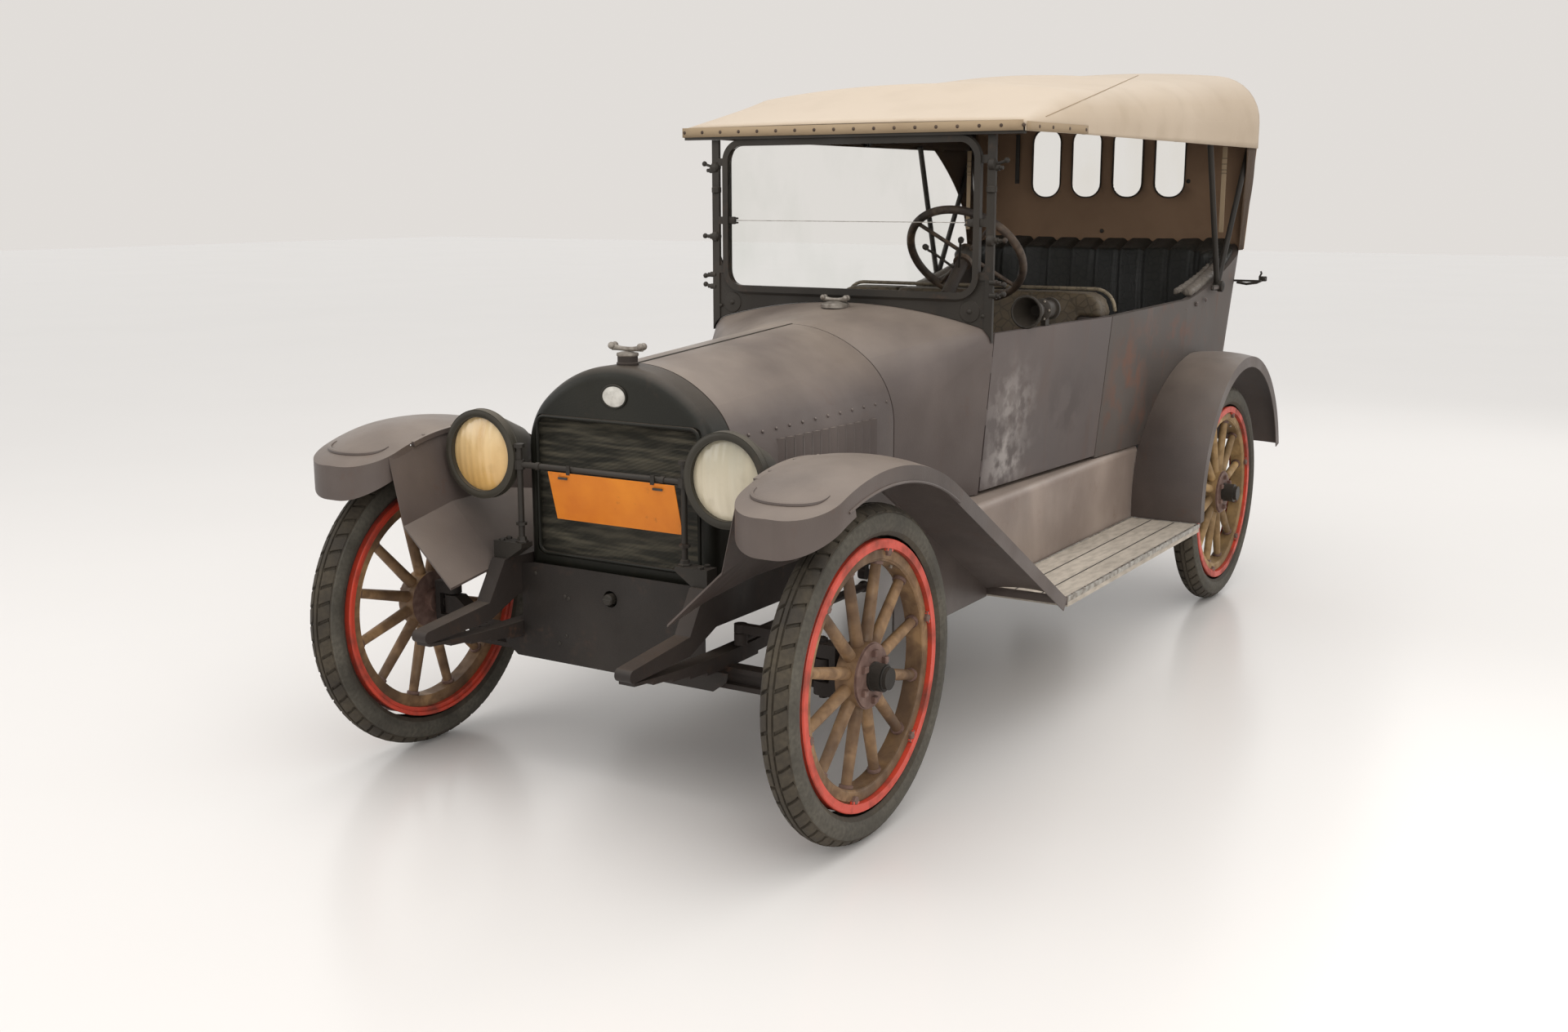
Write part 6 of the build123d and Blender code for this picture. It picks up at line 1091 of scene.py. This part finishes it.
# %% Frame bead, split line, brackets and studs
shape = Shape("windshield_trim", dark_steel)
SCREEN_Y = 1183
pane_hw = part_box("window_panes")[1][0] * 1000
post_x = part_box("windshield_frame")[1][0] * 1000 - 22 - 13
shape.tube(ring_points((0, SCREEN_Y - 2, 1482), pane_hw + 8, 242, 72, 8), 0.011, 10, closed=True)
for side in (1, -1):
    for z, lean in ((1638, 10), (1416, 0), (1290, -4), (1254, 4)):
        stud = at(side * (post_x + 10), SCREEN_Y - 6, z)
        if z > 1400:
            knob = [(0, 0.010), (0.006, 0.0175), (0.022, 0.0175), (0.027, 0.010)]
            shape.lathe(stud - Vector((side * 0.022, 0, 0)), (side, 0, 0), knob, 14)
        shape.tube([stud, stud + Vector((side * 0.036, 0, lean / 1000))], 0.0045, 8)
        shape.lathe(stud + Vector((side * 0.030, 0, lean / 1000)), (side, 0, 0.2), [
            (0, 0.006), (0.004, 0.0085), (0.009, 0.0085), (0.013, 0.005), (0.014, 0.0)], 12)
    shape.block(at(side * (pane_hw + 2), SCREEN_Y - 8, 1468), (0.052, 0.012, 0.024), 0.004)
    shape.block(at(side * (pane_hw - 22), SCREEN_Y - 8, 1475), (0.022, 0.008, 0.006), 0.002)
    shape.block(at(side * (pane_hw - 22), SCREEN_Y - 8, 1461), (0.022, 0.008, 0.006), 0.002)
    shape.bolt(at(side * (pane_hw + 12), SCREEN_Y - 14, 1468), (0, -1, 0), 0.007, 0.006, 10)
    sleeve = [(0, 0.012), (0.003, 0.016), (0.018, 0.016), (0.021, 0.012)]
    shape.lathe(at(side * post_x, SCREEN_Y - 6, 1555), (0, 0, 1), sleeve, 12)
    disc = [(0, 0.034), (0.003, 0.032), (0.004, 0.0)]
    shape.lathe(at(side * (pane_hw - 10), SCREEN_Y - 8, 1204), (0, -1, 0), disc, 24)
    shape.bolt(at(side * (pane_hw - 10), SCREEN_Y - 12, 1204), (0, -1, 0), 0.008, 0.006, 12)
    shape.bolt(at(side * (pane_hw + 35), SCREEN_Y - 12, 1192), (0, -1, 0), 0.006, 0.005, 12)
shape.use(pale_trim)
shape.block(at(0, SCREEN_Y - 1, 1468), (2 * pane_hw / 1000 - 0.02, 0.0065, 0.0022))
shape.done("chassis", "dark_steel")

# %% [markdown]
# ## Hood, body and boards
# Rows of rivets, latches, beads along the edges, and the pale strips round the step boards.

# %% Rivets, latches and hood edges
def hood_side(y):
    return 300 + 50 * (y - 40) / 800


for name, side in (("left", 1), ("right", -1)):
    shape = Shape(f"hood_trim_{name}", body_paint)
    for k in range(13):
        y = 85 + 61 * k
        share = (y - 40) / 800
        shoulder, radius = 892 + 2 * share, 185 + 54 * share
        turn = math.radians(17)
        x = hood_side(y) - radius * (1 - math.cos(turn))
        z = shoulder + radius * math.sin(turn)
        shape.bolt(at(side * x, y, z), (side * math.cos(turn), 0, math.sin(turn)), 0.0045, 0.0035, 8)
    for k in range(20):
        y = 60 + 40 * k
        shape.bolt(at(side * (hood_side(y) + 0.2), y, 726), (side, 0, 0), 0.0035, 0.0025, 8)
    # Dark strips at each louvre: painted shade in the louvre gaps.
    shape.use(dark_seam_and_painted_shade)
    for k in range(12):
        y = 262 + 22 + 41 * k
        shape.block(at(side * (hood_side(y) + 4), y + 0.9, 835), (0.0075, 0.0014, 0.172))
        shape.block(at(side * (hood_side(y) + 0.4), y + 5, 835), (0.0012, 0.009, 0.176))
    shape.use(body_paint)
    for y in (150, 730):
        shape.block(at(side * (hood_side(y) + 6), y, 716), (0.012, 0.030, 0.034), 0.004)
        handle_x = side * (hood_side(y) + 14)
        shape.tube([at(handle_x, y - 22, 722), at(handle_x, y + 22, 722)], 0.0045, 8)
    shape.done(f"hood_{name}", "dark_steel")

shape = Shape("body_trim", body_paint)
for side in (1, -1):
    for x, y, z in ((574, 2746, 1124), (583, 2850, 1136), (590, 2945, 1148)):
        shape.bolt(at(side * (x + 16), y, z), (side, 0, 0.1), 0.009, 0.006, 8)
    stud = at(side * 599, 2850, 1136)
    shape.tube([stud + Vector((side * 0.004, dy, 0.006)) for dy in (-0.012, 0.012)], 0.003, 6)
    shape.use(dark_steel)
    pivot = [(-0.004, 0.022), (0.014, 0.022), (0.018, 0.014), (0.020, 0.0)]
    shape.lathe(at(side * 622, 3060, 1195), (side, 0, 0), pivot, 16)
    shape.block(at(side * 622, 3010, 1192), (0.012, 0.090, 0.018), 0.004)
    shape.use(body_paint)
shape.done("chassis", "dark_steel")

# %% Covering edges, board strips and fender beads
shape = Shape("board_trim", pale_trim)
low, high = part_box("running_boards")
y0, y1 = back(low[1]), back(high[1])
x0, x1, top = 541, 802, high[2] * 1000
middle_y, long = (y0 + y1) / 2, (y1 - y0) / 1000
for side in (1, -1):
    shape.block(at(side * (x1 - 4), middle_y, top + 0.5), (0.010, long - 0.004, 0.003), 0.001)
    shape.block(at(side * (x1 + 0.5), middle_y, top - 6), (0.003, long - 0.004, 0.014), 0.001)
    shape.block(at(side * (x0 + x1) / 2, y1 - 6, top + 0.5), (0.256, 0.012, 0.003), 0.001)
    shape.block(at(side * (x0 + 5), middle_y, top + 0.5), (0.008, long - 0.01, 0.003), 0.001)
    shape.use(dark_seam_and_painted_shade)
    for x in (627, 714):
        shape.block(at(side * x, middle_y, top - 0.6), (0.005, long - 0.03, 0.002))
    shape.use(bright_tack)
    for k in range(12):
        shape.bolt(at(side * (x1 - 4), y0 + 40 + (y1 - y0 - 80) * k / 11, top + 2), (0, 0, 1), 0.0035, 0.002, 8)
    shape.use(pale_trim)
shape.done("chassis", "step_covering")

# Front fender: middle in x, then its arc's centre in y and z, and its radius
FENDER_X, FENDER = 671, (-20, 232, 700)


def crown_point(x, turn, lift=0.0):
    """Point on the front fender's crown at x and an angle behind its top."""
    bow = 16 * (1 - ((x - FENDER_X) / 131) ** 2)
    r = FENDER[2] + bow + lift
    return at(x, FENDER[0] + r * math.sin(turn), FENDER[1] + r * math.cos(turn))


shape = Shape("fender_trim", fender_paint)
for side in (1, -1):
    swage = []
    for k in range(25):
        a = math.pi * k / 24
        turn = -0.335 - 0.095 * math.sin(a) ** 0.8
        swage.append(mirrored(crown_point(FENDER_X + 96 * math.cos(a), turn, 0.5), side))
    shape.tube(swage, [0.0065 * min(1, 0.25 + 4 * min(k, 24 - k) / 24) for k in range(25)], 8)
    shape.block(at(side * FENDER_X, y0 - 3, top - 9), (0.262, 0.008, 0.026), 0.002)
    inner = [mirrored(crown_point(540, -0.26 + 0.70 * k / 24, -5), side) for k in range(25)]
    shape.tube(inner, 0.0, square=(0.007, 0.0065))
    bead = [mirrored(crown_point(802, -0.30 + 0.84 * k / 24), side) for k in range(25)]
    shape.tube([p + Vector((side * 0.0005, 0, -0.040)) for p in bead], 0.0035, 6)
    for y in range(-150, 330, 110):
        turn = math.asin((y - FENDER[0]) / FENDER[2])
        shape.bolt(mirrored(crown_point(548, turn), side), (0, math.sin(turn), math.cos(turn)), 0.005, 0.003, 8)
shape.done("chassis", "dark_steel")

# %% [markdown]
# ## Inside
# Control levers under the steering wheel, the hub's boss, and the horn's lip, rings and screws.

# %% Levers, helm fittings, horn
shape = Shape("helm_trim", dark_steel)
hub = at(280, 1457, 1362)
ahead = Vector((0, 817, 712)).normalized()
boss = [(0, 0.030), (0.012, 0.036), (0.030, 0.034), (0.040, 0.020), (0.046, 0.0)]
shape.lathe(hub - ahead * 0.025, ahead, boss, 24)
shape.use(nickel)
shape.lathe(hub + ahead * 0.018, ahead, [(0, 0.016), (0.006, 0.018), (0.014, 0.014), (0.016, 0.0)], 18)
shape.done("steering_wheel", "dark_steel")
shape = Shape("lever_trim", dark_steel)
low_hub = hub - ahead * 0.075
across = Vector((1, 0, 0))
up = across.cross(ahead).normalized()
for lean, reach in ((0.35, 0.13), (-0.7, 0.12)):
    way = (up * math.cos(lean) + across * math.sin(lean)).normalized()
    shape.tube([low_hub, low_hub + way * reach * 0.8, low_hub + way * reach - ahead * 0.004], 0.004, 8)
    grip = [(0, 0.004), (0.004, 0.009), (0.014, 0.010), (0.020, 0.006), (0.022, 0.0)]
    shape.lathe(low_hub + way * reach, way, grip, 12)
shape.done("chassis", "dark_steel")

shape = Shape("horn_trim", dark_steel)
low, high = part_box("horn")
cx, bell_y = (low[0] + high[0]) / 2 * 1000, back(low[1])
cz = high[2] * 1000 - 50
shape.lathe(at(cx, bell_y + 1, cz), (0, 1, 0), [
    (0.005 * math.sin(a), 0.048 + 0.005 * math.cos(a)) for a in turns(8)
], 40, closed=True)
for behind, profile in (
    (108, [(0, 0.030), (0.004, 0.036), (0.012, 0.036), (0.016, 0.031)]),
    (186, [(-0.004, 0.036), (0.006, 0.036), (0.012, 0.024), (0.014, 0.0)]),
):
    shape.lathe(at(cx, bell_y + behind, cz), (0, 1, 0), profile, 28)
shape.use(nickel)
for k in range(6):
    a = 2 * math.pi * k / 6
    shape.bolt(at(cx + 31 * math.cos(a), bell_y + 108, cz + 31 * math.sin(a)), (0, -1, 0), 0.004, 0.004)
shape.done("door_left", "dark_steel")

# %% [markdown]
# ## Seats
# Each pad starts as its solid drawn in a little, swells as cloth under pressure, and gets its seams afterwards.
# The nailed welt, the side cloths and the straps follow.

# %% Pad recipe
def pad(name, node, material, draw_in, cap, voxel, pressure, channel):
    """Stuffed leather pad in the room of its solid; channel moves points into seams and pleats."""
    source = nodes[node]
    data = source.data.copy()
    piece = bpy.data.objects.new(name, data)
    bpy.context.scene.collection.objects.link(piece)
    mesh = bmesh.new()
    mesh.from_mesh(data)
    bmesh.ops.remove_doubles(mesh, verts=mesh.verts, dist=1e-5)
    low, high = (Vector(c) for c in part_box(node))
    middle, half = (low + high) / 2, (high - low) / 2
    for v in mesh.verts:
        for axis in range(3):
            v.co[axis] = middle[axis] + (v.co[axis] - middle[axis]) * (1 - draw_in / half[axis])
    mesh.to_mesh(data)
    mesh.free()
    data.materials.clear()
    data.materials.append(material)
    remesh = piece.modifiers.new("Remesh", "REMESH")
    remesh.mode, remesh.voxel_size, remesh.use_smooth_shade = "VOXEL", voxel, True
    apply_modifiers(piece)
    start = [v.co.copy() for v in piece.data.vertices]
    cloth = piece.modifiers.new("Cloth", "CLOTH")
    cloth.settings.use_pressure = True
    cloth.settings.uniform_pressure_force = pressure
    cloth.settings.quality = 4
    cloth.settings.effector_weights.gravity = 0
    cloth.point_cache.frame_start, cloth.point_cache.frame_end = 1, 20
    for number in range(1, 21):
        bpy.context.scene.frame_set(number)
    apply_modifiers(piece)
    bpy.context.scene.frame_set(1)
    for v, first in zip(piece.data.vertices, start):
        move = v.co - first
        if move.length > cap:
            v.co = first + move * (cap / move.length)
    smooth = piece.modifiers.new("Smooth", "SUBSURF")
    smooth.levels = smooth.render_levels = 1
    apply_modifiers(piece)
    normals = [v.normal.copy() for v in piece.data.vertices]
    for v, normal in zip(piece.data.vertices, normals):
        v.co = v.co - normal * channel(v.co, normal)
        for axis in range(3):
            v.co[axis] = min(max(v.co[axis], low[axis] - 0.004), high[axis] + 0.004)
    for face in piece.data.polygons:
        face.use_smooth = True
    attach(piece, "chassis")
    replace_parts(piece, node)
    print(name, len(piece.data.polygons), "faces")
    return piece


def apply_modifiers(piece):
    """Bakes the modifiers into the piece's own mesh."""
    graph = bpy.context.evaluated_depsgraph_get()
    baked = bpy.data.meshes.new_from_object(piece.evaluated_get(graph))
    old = piece.data
    piece.modifiers.clear()
    piece.data = baked
    bpy.data.meshes.remove(old)


def valley(distance, width):
    """Height of a rounded groove, 1 at its middle."""
    return math.exp(-(distance / width) ** 2)


def pleats(pitch, depth, width, wobble=0.0):
    """Parallel pleats across the car's width."""

    def channel(point, normal):
        if abs(normal.x) > 0.8:
            return 0.0
        shift = wobble * math.sin(point.z * 9 + point.y * 5)
        near = (point.x + shift) / pitch
        return depth * valley((near - round(near)) * pitch, width)

    return channel


def panel_seams(lines, depth, width):
    """Seams at given places across the car's width."""

    def channel(point, normal):
        return depth * max(valley(point.x - x, width) for x in lines)

    return channel


back_pleats = pleats(0.108, 0.013, 0.011, 0.006)
back_pad = pad("rear_back_pad", "rear_seat_back", rear_leather, 0.006, 0.014, 0.011, 5, back_pleats)
back_pad.data.materials.append(roll_leather)
roll_end = at(0, 3200, 0).y
for face in back_pad.data.polygons:
    if abs(face.center.x) > 0.505 and face.center.z > 1.115 and face.center.y < roll_end:
        face.material_index = 1
for name, node, leather, draw_in, cap, voxel, pressure, channel in (
    ("rear_cushion_pad", "rear_seat_cushion", rear_leather, 0.010, 0.022, 0.011, 5, pleats(0.108, 0.010, 0.010)),
    ("front_back_pad", "front_seat_back", front_leather, 0.006, 0.012, 0.010, 4,
     panel_seams((-0.26, 0.0, 0.26), 0.006, 0.006)),
    ("front_cushion_pad", "front_seat_cushion", front_leather, 0.010, 0.022, 0.011, 5, pleats(0.118, 0.009, 0.010)),
):
    pad(name, node, leather, draw_in, cap, voxel, pressure, channel)

# %% Nailed welt of the front seat, side cloths and straps
shape = Shape("seat_welt", pale_welt)
back_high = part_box("front_seat_back")[1]
hw, top = back_high[0] * 1000, back_high[2] * 1000
welt = [(-hw + 2, 1152), (-hw + 2, top - 74)]
bend = [math.pi / 2 * k / 7 for k in range(1, 7)]
welt += [(-hw + 74 - 72 * math.cos(a), top - 74 + 72 * math.sin(a)) for a in bend]
welt += [(-hw + 74 + (2 * hw - 148) * k / 12, top - 2) for k in range(13)]
welt += [(hw - 74 + 72 * math.sin(a), top - 74 + 72 * math.cos(a)) for a in bend]
welt += [(hw - 2, top - 74), (hw - 2, 1152)]
line = [at(x, 2132, z - 1) for x, z in welt]
shape.tube(line, 0.0065, 8)
shape.use(nail_gold)
for a, b in zip(line[:-1], line[1:]):
    count = max(1, int((b - a).length / 0.022))
    for k in range(count):
        shape.bolt(a.lerp(b, (k + 0.5) / count) + Vector((0, 0.005, 0)), (0, 1, 0), 0.005, 0.004, 8)
shape.done("chassis", "leather")

for side_name, side in (("left", 1), ("right", -1)):
    shape = Shape(f"quarter_cloth_{side_name}", lining)
    rows = []
    for k in range(15):
        z = 1738 - 413 * k / 14
        share = (1738 - z) / 413
        front = 3300 + 70 * share if side > 0 else 3045 + 270 * (1 - (1 - share) ** 2.6) + 20 * share
        inner = 634 - 34 * share ** 1.3
        rows.append([
            at(side * (inner + 2.0 * math.sin(4 * j + z / 50) - 2), front + (3434 - front) * j / 5, z) for j in range(6)
        ])
    shape.grid(rows)
    area = sum(f.calc_area() for f in shape.mesh.faces)
    cloth = shape.done("chassis", "canvas", 60)
    thicken(cloth, 0.002)

shape = Shape("top_straps", binding_cloth)
for side in (1, -1):
    shape.use(binding_cloth)
    shape.tube([at(side * 560, 3250, z) for z in (1735, 1640, 1520, 1400)], 0.0, square=(0.009, 0.0018))
    shape.use(dark_seam_and_painted_shade)
    for z in (1690, 1668, 1645, 1632):
        shape.block(at(side * 560, 3247, z), (0.022, 0.004, 0.004), 0.001)
shape.done("chassis", "canvas")

# %% [markdown]
# ## Studio and camera
# Pale floor and even soft light. The camera stands where the photograph was taken.

# %% Camera
camera_data = bpy.data.cameras.new("camera")
SENSOR, FOCAL_PIXELS, PICTURE_PIXELS = 36.0, 1966.467, 1920
camera_data.sensor_width = SENSOR
camera_data.lens = FOCAL_PIXELS * SENSOR / PICTURE_PIXELS
camera_data.clip_end = 200
camera = bpy.data.objects.new("camera", camera_data)
turn, tilt, roll = math.radians(31.629), math.radians(11.355), math.radians(-0.037)
ahead = Vector((-math.sin(turn) * math.cos(tilt), math.cos(turn) * math.cos(tilt), -math.sin(tilt)))
side = Vector((math.cos(turn), math.sin(turn), 0))
lift = side.cross(ahead)
side, lift = side * math.cos(roll) + lift * math.sin(roll), lift * math.cos(roll) - side * math.sin(roll)
turned = Matrix((side, lift, -ahead)).transposed().to_4x4()
camera.matrix_world = Matrix.Translation(at(2505.7, -3267.8, 1553.7)) @ turned
bpy.context.scene.collection.objects.link(camera)
bpy.context.scene.camera = camera

# %% Floor, backdrop and light
floor_look = Look("studio_floor", rough=0.24)
shade = floor_look.noise(0.6, 0.3, 0.7, 3)
floor_look.colour(floor_look.mix(shade, (0.80, 0.775, 0.755), (0.785, 0.76, 0.74)))
shape = bmesh.new()
bmesh.ops.create_grid(shape, x_segments=2, y_segments=2, size=40.0)
data = bpy.data.meshes.new("studio_floor")
shape.to_mesh(data)
shape.free()
data.materials.append(floor_look.material)
studio_floor = bpy.data.objects.new("studio_floor", data)
studio_floor.location.z = -0.0005
bpy.context.scene.collection.objects.link(studio_floor)

world = bpy.data.worlds.new("studio")
bpy.context.scene.world = world
world.use_nodes = True
tree = world.node_tree
tree.nodes.clear()
seen, lit = tree.nodes.new("ShaderNodeBackground"), tree.nodes.new("ShaderNodeBackground")
seen.inputs["Color"].default_value, seen.inputs["Strength"].default_value = (0.755, 0.725, 0.695, 1), 1.0
lit.inputs["Color"].default_value, lit.inputs["Strength"].default_value = (1.0, 0.985, 0.965, 1), 0.86
path = tree.nodes.new("ShaderNodeLightPath")
add_up = tree.nodes.new("ShaderNodeMath")
add_up.operation, add_up.use_clamp = "ADD", True
tree.links.new(path.outputs["Is Camera Ray"], add_up.inputs[0])
tree.links.new(path.outputs["Is Transmission Ray"], add_up.inputs[1])
blend = tree.nodes.new("ShaderNodeMixShader")
tree.links.new(add_up.outputs[0], blend.inputs[0])
tree.links.new(lit.outputs[0], blend.inputs[1])
tree.links.new(seen.outputs[0], blend.inputs[2])
tree.links.new(blend.outputs[0], tree.nodes.new("ShaderNodeOutputWorld").inputs["Surface"])

# Columns: name, place, size, power, colour
LIGHTS = (
    ("overhead", (0.5, -1.5, 5.2), 6.0, 130, (1.0, 0.99, 0.97)),
    ("front_left", (5.0, -5.0, 3.2), 3.5, 100, (1.0, 0.985, 0.96)),
    ("front_right", (-4.5, -4.5, 3.0), 3.5, 45, (1.0, 0.985, 0.97)),
    ("rear", (2.0, 6.0, 4.0), 4.0, 60, (1.0, 0.99, 0.97)),
)
for name, place, size, power, colour in LIGHTS:
    lamp = bpy.data.lights.new(name, "AREA")
    lamp.shape, lamp.size, lamp.energy, lamp.color = "SQUARE", size, power, colour
    holder = bpy.data.objects.new(name, lamp)
    holder.location = place
    holder.rotation_euler = (Vector((0, 0, 0.8)) - Vector(place)).to_track_quat("-Z", "Y").to_euler()
    bpy.context.scene.collection.objects.link(holder)
bpy.context.scene.view_settings.view_transform = "Standard"
